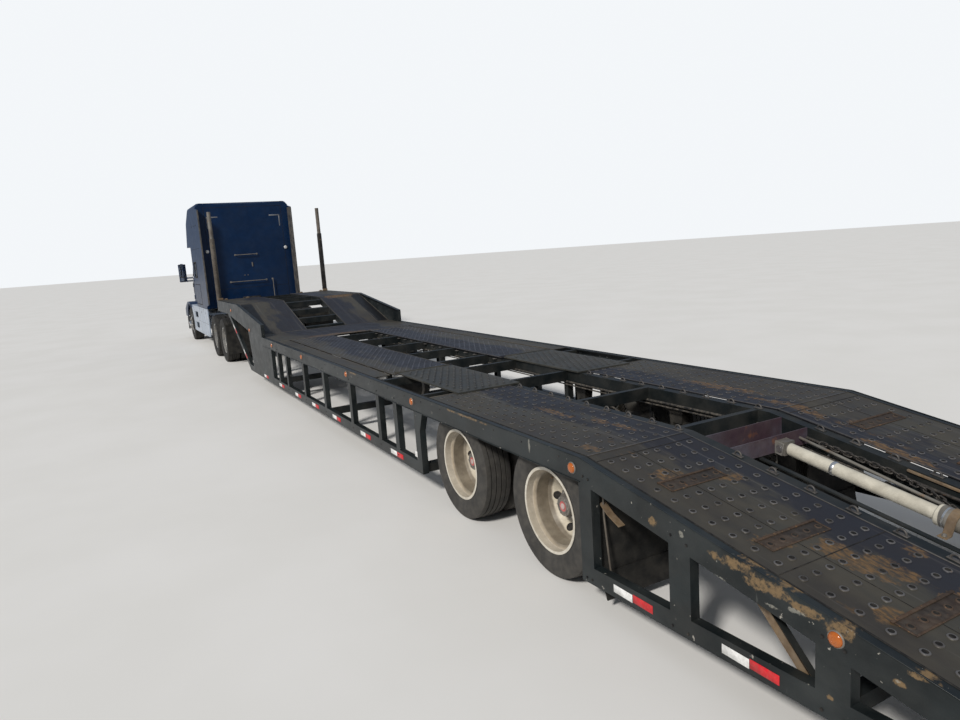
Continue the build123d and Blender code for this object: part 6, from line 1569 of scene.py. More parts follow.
class TRANSPORTER_OT_neck_details(bpy.types.Operator):
    """Worn edges of the neck's plates, brackets on its nose beam and the landing gear's crank and feet."""

    bl_idname = "transporter.neck_details"
    bl_label = "Neck details"

    def execute(self, context):
        worn, tan, black, bolts = look("Worn Edge"), look("Bracket Tan"), look("Chassis Black"), look("Zinc Bolt")
        rise = atan2(NECK_Z - DECK_Z, SLOPE_HEAD - SLOPE_FOOT)
        ahead = Vector((cos(rise), 0, sin(rise)))
        foot = Vector((SLOPE_FOOT, 0, DECK_Z))
        long = (SLOPE_HEAD - SLOPE_FOOT) / cos(rise)
        lean = Matrix.Rotation(-rise, 3, "Y")
        bm = bmesh.new()
        for s in (1, -1):
            for y, wide in ((0.376, 0.012), (1.226, 0.014), (1.00, 0.006)):
                block(bm, foot + ahead * long / 2 + Vector((0, s * y, 0.0008)), (long - 0.02, wide, 0.003), 0.001, 0,
                      lean)
                block(bm, ((SLOPE_HEAD + NOSE) / 2, s * y, NECK_Z + 0.0008), (NOSE - SLOPE_HEAD - 0.02, wide, 0.003),
                      0.001, 0)
            block(bm, (SLOPE_HEAD + 0.008, s * 0.80, NECK_Z + 0.0006), (0.016, 0.84, 0.004), 0.0012, 0)
            block(bm, (NOSE - 0.012, s * 0.80, NECK_Z + 0.0008), (0.014, 0.84, 0.003), 0.001, 0)
            for y in (0.62, 1.10):
                block(bm, (NOSE - 0.045, s * y, 1.462), (0.045, 0.070, 0.022), 0.004, 1)
                bolt(bm, (NOSE - 0.045, s * y, 1.472), (0, 0, 1), 0.018, 0.010, 3)
        make_piece("neck_edges", bm, [worn, tan, black, bolts], "trailer", 45)

        bm = bmesh.new()
        leg = 1.30
        for s in (1, -1):
            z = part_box("landing_legs")[0].z + 0.03
            for dx in (-0.07, 0.07):
                for dy in (-0.06, 0.06):
                    bolt(bm, (leg + dx, s * 0.93 + dy, z - 0.018), (0, 0, 1), 0.014, 0.008, 0)
        for z in (0.62, 0.66):
            lathe(bm, [(0.030, -0.004), (0.030, 0.004), (0.016, 0.006), (0.0, 0.006)], (leg, 0.985, z), ACROSS, 20, 1)
        tube(bm, [(leg, y, z) for y, z in ((0.985, 0.64), (1.06, 0.64), (1.075, 0.62), (1.075, 0.46), (1.09, 0.44),
                                           (1.17, 0.44))], 0.011, 10, 1)
        make_piece("landing_crank", bm, [bolts, look("Post Grey")], "trailer", 45)
        return {"FINISHED"}


# Sleeper and cab


class TRANSPORTER_OT_sleeper_details(bpy.types.Operator):
    """Marks, lamps, grab rails, roof corners, seams and edge trims on the sleeper's back and sides."""

    bl_idname = "transporter.sleeper_details"
    bl_label = "Sleeper details"

    def execute(self, context):
        mark, dark, chrome = look("Sleeper Mark"), look("Groove Shadow"), look("Chrome Trim")
        paint, grey = look("Cab Paint"), look("Extender Grey")
        back = SLEEPER_BACK
        bm = bmesh.new()
        for s in (1, -1):
            inner, outer = s * 0.66, s * 0.94
            span(bm, (back - 0.002, inner, 3.455), (back + 0.001, outer, 3.485), 0.0006)
            span(bm, (back - 0.002, outer - s * 0.030, 3.18), (back + 0.001, outer, 3.455), 0.0006)
        make_piece("sleeper_marks", bm, [mark], "tractor", 50)

        bm = bmesh.new()
        bar = look("Hub Grey")
        rail_x = 6.7497
        feet = []
        for (ya, za), (yb, zb) in (((0.330, 2.470), (-0.230, 2.470)), ((0.520, 1.770), (-0.410, 1.770)),
                                   ((-0.570, 1.780), (-0.570, 1.230))):
            start, end = Vector((0, ya, za)), Vector((0, yb, zb))
            run = (end - start).normalized()
            bends = [(back - 0.001, start), (rail_x + 0.012, start + run * 0.002),
                     (rail_x + 0.001, start + run * 0.012)]
            bends += [(rail_x, start.lerp(end, i / 8)) for i in range(1, 8)]
            bends += [(rail_x + 0.001, end - run * 0.012), (rail_x + 0.012, end - run * 0.002), (back - 0.001, end)]
            tube(bm, [(x, spot.y, spot.z) for x, spot in bends], 0.0105, 12, 0)
            feet += [start, end]
        for foot in feet:
            lathe(bm, [(0.0248, 0), (0.0248, 0.005), (0.014, 0.009), (0.0, 0.009)], foot + Vector((back, 0, 0)),
                  (-1, 0, 0), 20, 0)
        for s in (1, -1):
            spot = Vector((back, s * 1.01, 2.60))
            lathe(bm, [(0.0498, 0.0), (0.0498, 0.008), (0.045, 0.016), (0.040, 0.013)], spot, (-1, 0, 0), 32, 1)
            lathe(bm, [(0.040, 0.013), (0.036, 0.021), (0.020, 0.0262), (0.0, 0.0275)], spot, (-1, 0, 0), 32, 2)
        make_piece("sleeper_rails_and_lamps", bm, [bar, chrome, look("Clear Lens")], "tractor",
                   40, ("sleeper_fittings",))

        bm = bmesh.new()
        block(bm, (back - 0.010, -0.085, 2.20), (0.020, 0.030, 0.12), 0.006, 0)
        for y in (0.06, 0.14):
            lathe(bm, [(0.014, 0), (0.012, 0.012), (0.0, 0.014)], (back + 0.001, y, 1.93), (-1, 0, 0), 14, 0)
        span(bm, (back - 0.055, -0.20, 1.24), (back + 0.001, 0.26, 1.36), 0.008, 1)
        for y, slot in ((-0.13, 2), (-0.02, 3), (0.09, 4)):
            lathe(bm, [(0.026, 0.0), (0.026, 0.010), (0.018, 0.016), (0.018, 0.030), (0.0, 0.032)],
                  (back - 0.055, y, 1.30), (-1, 0, 0), 20, slot)
        make_piece("sleeper_sockets", bm, [bar, look("Post Black"), look("Hub Cap Red"), look("Clear Lens"),
                                           look("Zinc Bolt")], "tractor", 40)

        bm = bmesh.new()
        for s in (1, -1):
            corner = [(0.30, 3.800), (0.62, 3.812), (0.92, 3.832), (1.075, 3.836), (1.100, 3.790), (1.00, 3.760),
                      (0.30, 3.770)]
            slab(bm, [(back + 0.03, s * y, z) for y, z in corner], (0.30, 0, 0), 0)
            span(bm, (back - 0.006, s * 1.165, 1.20), (back + 0.002, s * 1.178, 3.70), 0.002, 1)
            span(bm, (back - 0.004, s * 0.985, 1.16), (back + 0.001, s * 0.990, 3.74), 0.001, 2)
        for z in (3.715, 1.60):
            span(bm, (back - 0.004, -0.985, z), (back + 0.001, 0.985, z + 0.005), 0.001, 2)
        make_piece("sleeper_roof_corners", bm, [paint, grey, dark], "tractor", 45)

        bm = bmesh.new()
        for s in (1, -1):
            x = back - 0.34
            span(bm, (x - 0.006, s * 1.158, 1.245), (x + 0.004, s * 1.194, 3.645), 0.003, 0)
            span(bm, (x + 0.02, s * 1.1585, 1.26), (back - 0.01, s * 1.1645, 3.66), 0.002, 0)
            for z in [1.45 + 0.35 * i for i in range(7)]:
                bolt(bm, (x + 0.03, s * 1.190, z), (0, s, 0), 0.014, 0.006, 1)
        make_piece("extender_edges", bm, [grey, look("Zinc Bolt")], "tractor", 40)

        bm = bmesh.new()
        for s in (1, -1):
            face = s * SLEEPER_HALF
            trim(bm, face, s, (7.62, 1.22), (8.60, 1.74), 0.004, 0.004)
            trim(bm, face, s, (7.60, 1.20), (8.62, 1.76), 0.0015, 0.001, 1)
            for z0, z1 in ((2.335, 2.372), (1.928, 1.965)):
                trim(bm, face, s, (7.93, z0), (8.37, z1), 0.010, 0.003, 1)
            for x0, x1 in ((7.905, 7.945), (8.355, 8.395)):
                trim(bm, face, s, (x0, 1.93), (x1, 2.37), 0.010, 0.003, 1)
            trim(bm, face, s, (6.86, 2.70), (8.62, 2.706), 0.0015, 0.001, 1)
            for x in (7.05, 7.45, 7.85):
                lathe(bm, [(0.020, -0.001), (0.019, 0.004), (0.0, 0.006)], (x, face, 3.30), (0, s, 0), 14, 1)
        tube(bm, [(8.2, -0.9, 3.79), (8.2, -0.9, 3.833)], 0.012, 8, 1)
        make_piece("sleeper_side_trim", bm, [paint, dark], "tractor", 40)
        return {"FINISHED"}


class TRANSPORTER_OT_door_details(bpy.types.Operator):
    """Handles, window rubbers, mirror glasses, shells and trims on both doors."""

    bl_idname = "transporter.door_details"
    bl_label = "Door details"

    def execute(self, context):
        chrome, dark, rubber = look("Chrome Trim"), look("Groove Shadow"), look("Mud Rubber")
        plastic, glass, paint = look("Dash Plastic"), look("Mirror Glass"), look("Cab Paint")
        rear, front = CAB_REAR, CAB_FRONT
        window = [(rear + 0.22, 1.96), (front - 0.23, 1.96), (front - 0.74, 2.56), (rear + 0.22, 2.56)]
        panel = [(rear + 0.14, 1.22), (front - 0.05, 1.22), (front - 0.05, 1.79), (rear + 0.14, 1.79)]
        for side, s in SIDES:
            face = s * CAB_HALF
            bm = bmesh.new()
            tube(bm, [(x, face, z) for x, z in window], 0.011, 8, 0, closed=True)
            span(bm, (rear + 0.20, face - s * 0.002, 1.925), (front - 0.20, face + s * 0.006, 1.943), 0.003, 1)
            for (xa, za), (xb, zb) in zip(panel, panel[1:] + panel[:1]):
                trim(bm, face, s, (min(xa, xb) - 0.003, min(za, zb) - 0.003),
                     (max(xa, xb) + 0.003, max(za, zb) + 0.003), slot=3)
            trim(bm, face, s, (rear + 0.17, 1.60), (rear + 0.33, 1.71), 0.004, 0.003, 3)
            block(bm, (rear + 0.25, face + s * 0.020, 1.675), (0.150, 0.016, 0.030), 0.007, 2)
            for x in (rear + 0.19, rear + 0.31):
                block(bm, (x, face + s * 0.010, 1.675), (0.022, 0.022, 0.026), 0.004, 2)
            lathe(bm, [(0.012, 0.0), (0.012, 0.004), (0.009, 0.006), (0.0, 0.006)], (rear + 0.25, face, 1.625),
                  (0, s, 0), 18, 2)
            for z in (1.33, 1.69):
                for x in (front - 0.075, front - 0.045):
                    for dz in (0.012, -0.012):
                        bolt(bm, (x, face + s * 0.007, z + dz), (0, s, 0), 0.012, 0.006, 2)
            trim(bm, face, s, (rear + 0.12, 1.200), (front - 0.03, 1.215), 0.005, 0.002, 1)
            make_piece("door_trim_" + side, bm, [rubber, chrome, chrome, dark], "door_" + side, 40)

            bm = bmesh.new()
            x, y = 10.07, s * 1.34
            block(bm, (x + 0.002, y - s * 0.0014, 2.07), (0.116, 0.2032, 0.526), 0.026, 0)
            block(bm, (x - 0.0555, y, 2.135), (0.008, 0.172, 0.345), 0.004, 1)
            block(bm, (x - 0.0555, y, 1.885), (0.010, 0.150, 0.110), 0.004, 1)
            for z in (1.825, 1.945, 1.955, 2.315):
                block(bm, (x - 0.057, y, z), (0.010, 0.185, 0.008), 0.002, 2)
            for z in (1.83, 1.92):
                for inner in (1.062, 1.232):
                    lathe(bm, [(0.030, -0.008), (0.032, -0.004), (0.032, 0.004), (0.030, 0.008)], (x, s * inner, z),
                          (0, s, 0), 20, 3)
                tube(bm, [(x, s * 1.055, z), (x, s * 1.238, z)], 0.0225, 12, 3)
            lathe(bm, [(0.042, 0.0), (0.042, 0.010), (0.036, 0.014), (0.0, 0.015)], (x + 0.045, y, 2.335),
                  (0, 0, 1), 20, 0)
            make_piece("mirror_" + side, bm, [paint, glass, plastic, chrome], "door_" + side, 40)
        return {"FINISHED"}


class TRANSPORTER_OT_cab_details(bpy.types.Operator):
    """Windshield rubber, wipers, sun visor, roof lamps, grab handles and seams of the cab."""

    bl_idname = "transporter.cab_details"
    bl_label = "Cab details"

    def execute(self, context):
        chrome, dark, rubber = look("Chrome Trim"), look("Groove Shadow"), look("Mud Rubber")
        paint, amber = look("Cab Paint"), look("Amber Lens")
        low, high = Vector((10.25, 0, 1.95)), Vector((9.56, 0, 2.79))
        middle, run = (low + high) / 2, (high - low).normalized()
        out = Vector((run.z, 0, -run.x))

        def glass_point(y, up, lift=0.0):
            return middle + Vector((0, y, 0)) + run * up + out * lift

        bm = bmesh.new()
        ring = []
        for cy, cu, start in ((0.85, 0.408, 0), (-0.85, 0.408, 90), (-0.85, -0.408, 180), (0.85, -0.408, 270)):
            for k in range(7):
                a = radians(start + 15 * k)
                ring.append(glass_point(cy + 0.060 * cos(a), cu + 0.060 * sin(a), 0.002))
        tube(bm, ring, 0.013, 8, 0, closed=True)
        tube(bm, [glass_point(0, up, -0.006) for up in (-0.455, 0.455)], 0.010, 8, 0)
        make_piece("windshield_rubber", bm, [rubber], "tractor", 45)

        bm = bmesh.new()
        for y, lean in ((0.62, -0.42), (-0.10, -0.42)):
            pivot = glass_point(y, -0.500, 0.012)
            elbow = glass_point(y + lean * 0.25, -0.36, 0.030)
            tip = glass_point(y + lean, -0.02, 0.024)
            lathe(bm, [(0.022, -0.01), (0.022, 0.012), (0.015, 0.020), (0.0, 0.021)], pivot, out, 18, 0)
            tube(bm, [pivot + out * 0.012, elbow, tip], 0.0075, 8, 0)
            way = (glass_point(y + lean + 0.10, 0.26) - glass_point(y + lean - 0.08, -0.30)).normalized()
            tube(bm, [tip - way * 0.30 - out * 0.010, tip - out * 0.006, tip + way * 0.30 - out * 0.010], 0.006, 6, 0)
        make_piece("wipers", bm, [look("Post Black")], "tractor", 45)

        bm = bmesh.new()
        slab(bm, [(9.545, 0.93, 2.786), (9.545, -0.93, 2.786), (9.745, -0.90, 2.716), (9.745, 0.90, 2.716)],
             (0.004, 0, 0.012), 0)
        for y in (-0.88, -0.30, 0.30, 0.88):
            tube(bm, [(9.60, y, 2.735), (9.70, y, 2.728)], 0.008, 8, 1)
        slope = Vector((0.42, 0, -0.63)).normalized()
        facing = Vector((-slope.z, 0, slope.x))
        spot = Vector((9.12, 0, 3.51)) + slope * 0.34
        lie = Matrix((slope, ACROSS, facing)).transposed()
        for y in (-0.72, -0.36, 0.0, 0.36, 0.72):
            centre = spot + ACROSS * y - facing * 0.001
            block(bm, centre + facing * 0.006, (0.115, 0.060, 0.016), 0.006, 1, lie)
            lathe(bm, [(0.024, 0.010), (0.024, 0.018), (0.018, 0.027), (0.0, 0.030)], centre, facing, 20, 2)
        make_piece("visor_and_roof_lamps", bm, [paint, chrome, amber], "tractor", 40)

        bm = bmesh.new()
        for s in (1, -1):
            x, face = CAB_REAR + 0.055, s * CAB_HALF
            grab = ((1.045, 1.42), (1.085, 1.44), (1.090, 1.78), (1.085, 2.10), (1.045, 2.12))
            tube(bm, [(x, s * y, z) for y, z in grab], 0.013, 12, 0)
            for z in (1.42, 2.12):
                lathe(bm, [(0.028, 0.0), (0.028, 0.006), (0.016, 0.010), (0.0, 0.010)], (x, s * 1.0495, z),
                      (0, s, 0), 18, 0)
            for low, high in (((CAB_REAR + 0.005, 1.16), (CAB_REAR + 0.011, 2.70)),
                              ((CAB_REAR + 0.10, 2.665), (9.50, 2.671)), ((10.265, 1.20), (10.271, 1.78))):
                trim(bm, face, s, low, high, slot=1)
            trim(bm, face, s, (10.30, 1.30), (10.36, 1.44), 0.003, 0.002)
        span(bm, (10.13, -0.90, 1.80), (10.375, -0.895, 1.806), 0.001, 1)
        for row in range(7):
            y = -0.66 + row * 0.22
            block(bm, (10.315, y, 1.872), (0.075, 0.150, 0.006), 0.002, 1,
                  Matrix.Rotation(atan2(0.16, 0.14), 3, "Y"))
        make_piece("cab_handles", bm, [chrome, dark], "tractor", 40)
        return {"FINISHED"}


class TRANSPORTER_OT_hood_details(bpy.types.Operator):
    """Latches, louvres, crease trims, lamp bezels and grille surround of the hood, and the bumper's trims."""

    bl_idname = "transporter.hood_details"
    bl_label = "Hood details"

    def execute(self, context):
        chrome, dark, rubber = look("Chrome Trim"), look("Groove Shadow"), look("Mud Rubber")
        amber, clear = look("Amber Lens"), look("Clear Lens")
        reflector = look("Mirror Glass")
        bm = bmesh.new()
        for s in (1, -1):
            lie = Matrix.Rotation(s * -atan2(HOOD_DRAW, HOOD_RUN), 3, "Z")
            x = 10.72
            for i in range(7):
                block(bm, (x, s * (hood_half(x) + 0.003), 1.33 + i * 0.045), (0.34, 0.014, 0.020), 0.005,
                      1 if i % 6 else 0, lie)
            half = hood_half(10.47)
            block(bm, (10.455, s * (half + 0.012), 1.50), (0.050, 0.026, 0.085), 0.008, 2, lie)
            block(bm, (10.425, s * (half + 0.020), 1.50), (0.060, 0.014, 0.030), 0.005, 0, lie)
            lathe(bm, [(0.024, 0.0), (0.024, 0.008), (0.018, 0.014), (0.0, 0.016)],
                  (11.30, s * 0.873, 1.30), Vector((0.19, s, 0)).normalized(), 20, 3)
        make_piece("hood_latches_and_louvres", bm, [chrome, dark, rubber, amber], "hood", 40)

        bm = bmesh.new()
        front = 11.893
        corners = [(0.545, 0.935), (-0.545, 0.935), (-0.545, 1.445), (0.545, 1.445)]
        tube(bm, [(front, y, z) for y, z in corners], 0.016, 10, 0, closed=True)
        for i in range(27):
            y = -0.507 + i * 0.039
            if abs(y) > 0.02:
                span(bm, (front - 0.036, y - 0.002, 0.955), (front - 0.030, y + 0.002, 1.425), 0.0008, 1)
        for i in range(1, 10):
            z = 0.93 + 0.052 * i
            span(bm, (front + 0.001, -0.52, z - 0.004), (front + 0.006, 0.52, z + 0.004), 0.002, 0)
        make_piece("grille_mesh", bm, [chrome, dark], "hood", 40)

        bm = bmesh.new()
        for s in (1, -1):
            x = 11.871
            corners = [(0.800, 0.735), (1.170, 0.735), (1.170, 0.875), (0.800, 0.875)]
            tube(bm, [(x, s * y, z) for y, z in corners], 0.009, 8, 0, closed=True)
            for y, radius in ((0.875, 0.058), (1.010, 0.058)):
                lathe(bm, [(radius, 0.0), (radius, 0.008), (radius * 0.9, 0.012), (radius * 0.86, 0.004)],
                      (x, s * y, 0.805), (1, 0, 0), 28, 0)
                lathe(bm, [(radius * 0.86, 0.002), (radius * 0.6, 0.008), (radius * 0.25, 0.010), (0.0, 0.0105)],
                      (x, s * y, 0.805), (1, 0, 0), 28, slots=[1, 2, 2])
            block(bm, (x + 0.003, s * 1.120, 0.805), (0.012, 0.070, 0.120), 0.005, 3)
        make_piece("head_lamp_details", bm, [chrome, clear, reflector, amber], "hood", 40)

        bm = bmesh.new()
        for s in (1, -1):
            for z in (0.33, 0.63):
                tube(bm, [(11.585, s * 1.2015, z), (11.815, s * 1.172, z), (11.992, s * 0.902, z)], 0.006, 8, 1)
            way = Vector((0.18, -0.27 * s, 0)).normalized()
            face_out = Vector((0.27, 0.18 * s, 0)).normalized()
            spot = Vector((11.91, s * 1.035, 0.48))
            lathe(bm, [(0.062, -0.004), (0.062, 0.004), (0.054, 0.008), (0.050, 0.003)], spot, face_out, 26, 0)
            lathe(bm, [(0.050, 0.002), (0.030, 0.006), (0.0, 0.007)], spot, face_out, 26, 2)
            for along in (-0.105, 0.105):
                bolt(bm, spot + way * along, face_out, 0.016, 0.006, 0)
            block(bm, (11.60, s * 1.199, 0.48), (0.030, 0.008, 0.36), 0.003, 1)
        make_piece("bumper_trims", bm, [chrome, dark, clear], "tractor", 40)
        return {"FINISHED"}


# Chassis


class TRANSPORTER_OT_chassis_details(bpy.types.Operator):
    """Tank straps and caps, step treads, fairing seams, frame bolts and brake parts."""

    bl_idname = "transporter.chassis_details"
    bl_label = "Chassis details"

    def execute(self, context):
        alloy, dark, chrome = look("Bright Alloy"), look("Groove Shadow"), look("Chrome Trim")
        black, bolts, hose = look("Chassis Black"), look("Zinc Bolt"), look("Hose Rubber")
        bm = bmesh.new()
        for s in (1, -1):
            for x in (7.75, 8.35, 8.95):
                lathe(bm, [(0.3005, -0.024), (0.306, -0.022), (0.306, 0.022), (0.3005, 0.024)],
                      (x, s * TANK_Y, TANK_Z), (1, 0, 0), 48, 0)
                bolt(bm, (x, s * 1.117, 0.74), (0, s, 0), 0.018, 0.012, 1)
            for x in (7.502, 9.198):
                lathe(bm, [(0.270, 0.0), (0.262, 0.006), (0.20, 0.010), (0.0, 0.011)], (x, s * TANK_Y, TANK_Z),
                      (1 if x > 8 else -1, 0, 0), 40, 2)
            lathe(bm, [(0.045, -0.01), (0.050, 0.02), (0.050, 0.040), (0.043, 0.046), (0.0, 0.047)],
                  (8.62, s * 1.0, 0.955), Vector((0, s * 0.6, 0.8)), 24, 2)
        make_piece("tank_straps", bm, [alloy, bolts, chrome], "tractor", 40)

        bm = bmesh.new()
        for s in (1, -1):
            for z in (0.452, 0.762):
                span(bm, (9.035, s * 1.010, z), (9.665, s * 1.166, z + 0.022), 0.004, 0)
                for i in range(9):
                    x = 9.07 + i * 0.070
                    span(bm, (x, s * 1.020, z + 0.021), (x + 0.010, s * 1.158, z + 0.026), 0.002, 1)
            face = s * FAIRING_HALF
            for x in (7.72, 8.55, 9.86):
                trim(bm, face, s, (x - 0.003, 0.38), (x + 0.003, 1.09), slot=1)
            trim(bm, face, s, (6.97, 0.70), (8.96, 0.705), slot=1)
            for x in [7.02 + 0.36 * i for i in range(8)]:
                if not 8.98 < x < 9.72:
                    for z in (0.40, 1.07):
                        bolt(bm, (x, face, z), (0, s, 0), 0.012, 0.004, 2)
            for x in (7.40, 8.20):
                lathe(bm, [(0.026, 0.0), (0.026, 0.004), (0.016, 0.006), (0.0, 0.006)], (x, face, 0.98),
                      (0, s, 0), 20, 2)
        make_piece("steps_and_fairing_seams", bm, [alloy, dark, bolts], "tractor", 40)

        bm = bmesh.new()
        for s in (1, -1):
            for i in range(36):
                for z in (0.80, 0.96):
                    bolt(bm, (3.60 + 0.20 * i, s * 0.4325, z), (0, s, 0), 0.018, 0.009, 0)
            for radius, line in (
                    (0.012, ((3.55, 0.36, 0.985), (4.9, 0.355, 0.975), (6.4, 0.36, 0.985), (9.4, 0.36, 0.98))),
                    (0.008, ((3.60, 0.33, 0.945), (5.2, 0.335, 0.935), (7.0, 0.33, 0.945), (9.4, 0.33, 0.94)))):
                tube(bm, [(x, s * y, z) for x, y, z in line], radius, 8, 1)
        make_piece("frame_bolts_and_lines", bm, [bolts, hose], "tractor", 40)

        for name, body, places in (
                ("brake_chambers_trailer", "trailer", [(REAR_AXLE - 0.21, 0.47), (FRONT_AXLE - 0.21, 0.47)]),
                ("brake_chambers_tractor", "tractor", [(axle - 0.25, 0.60) for axle in DRIVE_AXLES])):
            bm = bmesh.new()
            z = 0.465 if body == "trailer" else 0.56
            for x, y in places:
                for s in (1, -1):
                    spot = Vector((x, s * y * 0.92, z))
                    lathe(bm, [(0.0, -0.160), (0.050, -0.158), (0.066, -0.145), (0.070, -0.085), (0.076, -0.080),
                               (0.076, -0.066), (0.070, -0.062), (0.072, -0.008), (0.078, -0.004), (0.078, 0.010),
                               (0.068, 0.014), (0.050, 0.034), (0.014, 0.040), (0.014, 0.110), (0.0, 0.112)],
                          spot, (1, 0, 0), 28, 0)
                    for k in range(2):
                        tube(bm, [spot + Vector((-0.05, s * -0.03, 0.07 - 0.02 * k)),
                                  spot + Vector((-0.07 - 0.04 * k, s * -0.07, 0.16)),
                                  spot + Vector((0.05, s * -0.12, 0.25)), spot + Vector((0.20, s * -0.13, 0.27))],
                             0.008, 8, 1)
            make_piece(name, bm, [black, hose], body, 40)

        bm = bmesh.new()
        for s in (1, -1):
            for y, z, radius in ((0.352, 0.86, 0.010), (0.352, 0.83, 0.007)):
                tube(bm, [(-9.50, s * y, z), (-7.6, s * (y - 0.006), z - 0.01), (-5.4, s * y, z),
                          (-3.2, s * (y - 0.006), z - 0.012), (-1.42, s * y, z)], radius, 8, 0)
        for x in (-4.70, -2.65):
            for y in (0.24, 0.60):
                lathe(bm, [(0.1205, -0.016), (0.125, -0.015), (0.125, 0.015), (0.1205, 0.016)], (x, y, 0.56),
                      (0, 1, 0), 32, 1)
            tube(bm, [(x, 0.20, 0.685), (x + 0.02, 0.22, 0.74), (x + 0.10, 0.33, 0.80), (x + 0.12, 0.352, 0.845)],
                 0.008, 8, 0)
            lathe(bm, [(0.016, 0.0), (0.016, 0.012), (0.010, 0.014), (0.010, 0.026), (0.0, 0.027)], (x, 0.20, 0.678),
                  (0, 0, 1), 14, 2)
        make_piece("trailer_air_lines", bm, [hose, look("Hub Grey"), look("Clamp Rust")], "trailer", 40)
        return {"FINISHED"}


# Cab interior


def cushion(bm, centre, across, along, size, channels=(), pull=0.03):
    """A crowned, closed cushion: size is width across, length along and height; sides pull in between corners."""
    across, along = Vector(across).normalized(), Vector(along).normalized()
    up = across.cross(along)
    wide, long, tall = size
    count = 26
    sheets = {1: [], -1: []}
    for sign in (1, -1):
        for i in range(count + 1):
            row = []
            for j in range(count + 1):
                u, v = 2 * i / count - 1, 2 * j / count - 1
                u, v = sin(u * pi / 2), sin(v * pi / 2)
                rim = i in (0, count) or j in (0, count)
                if sign < 0 and rim:
                    row.append(sheets[1][i][j])
                    continue
                swell = max(0.0, (1 - u ** 8) * (1 - v ** 8)) ** 0.38
                crown = 0.74 + 0.26 * cos(u * pi / 2) * cos(v * pi / 2)
                lift = tall / 2 * swell * (crown if sign > 0 else 0.92)
                if sign > 0:
                    for line, turned in channels:
                        lift -= 0.16 * tall * exp(-((v if turned else u) - line) ** 2 / 0.0012) * swell
                point = Vector(centre) + up * lift * sign
                draw_in = [1 - pull * (1 - share * share) for share in (v, u)]
                point += across * wide / 2 * u * draw_in[0] + along * long / 2 * v * draw_in[1]
                row.append(bm.verts.new(point))
            sheets[sign].append(row)
    for sign in (1, -1):
        grid = sheets[sign]
        for i in range(count):
            for j in range(count):
                ring = [grid[i][j], grid[i + 1][j], grid[i + 1][j + 1], grid[i][j + 1]]
                bm.faces.new(ring if sign > 0 else ring[::-1])
    top = sheets[1]
    edge = [top[i][0] for i in range(count)] + [top[count][j] for j in range(count)]
    edge += [top[i][count] for i in range(count, 0, -1)] + [top[0][j] for j in range(count, 0, -1)]
    tube(bm, [vert.co.copy() for vert in edge[::2]], 0.0045, 6, 1, closed=True)


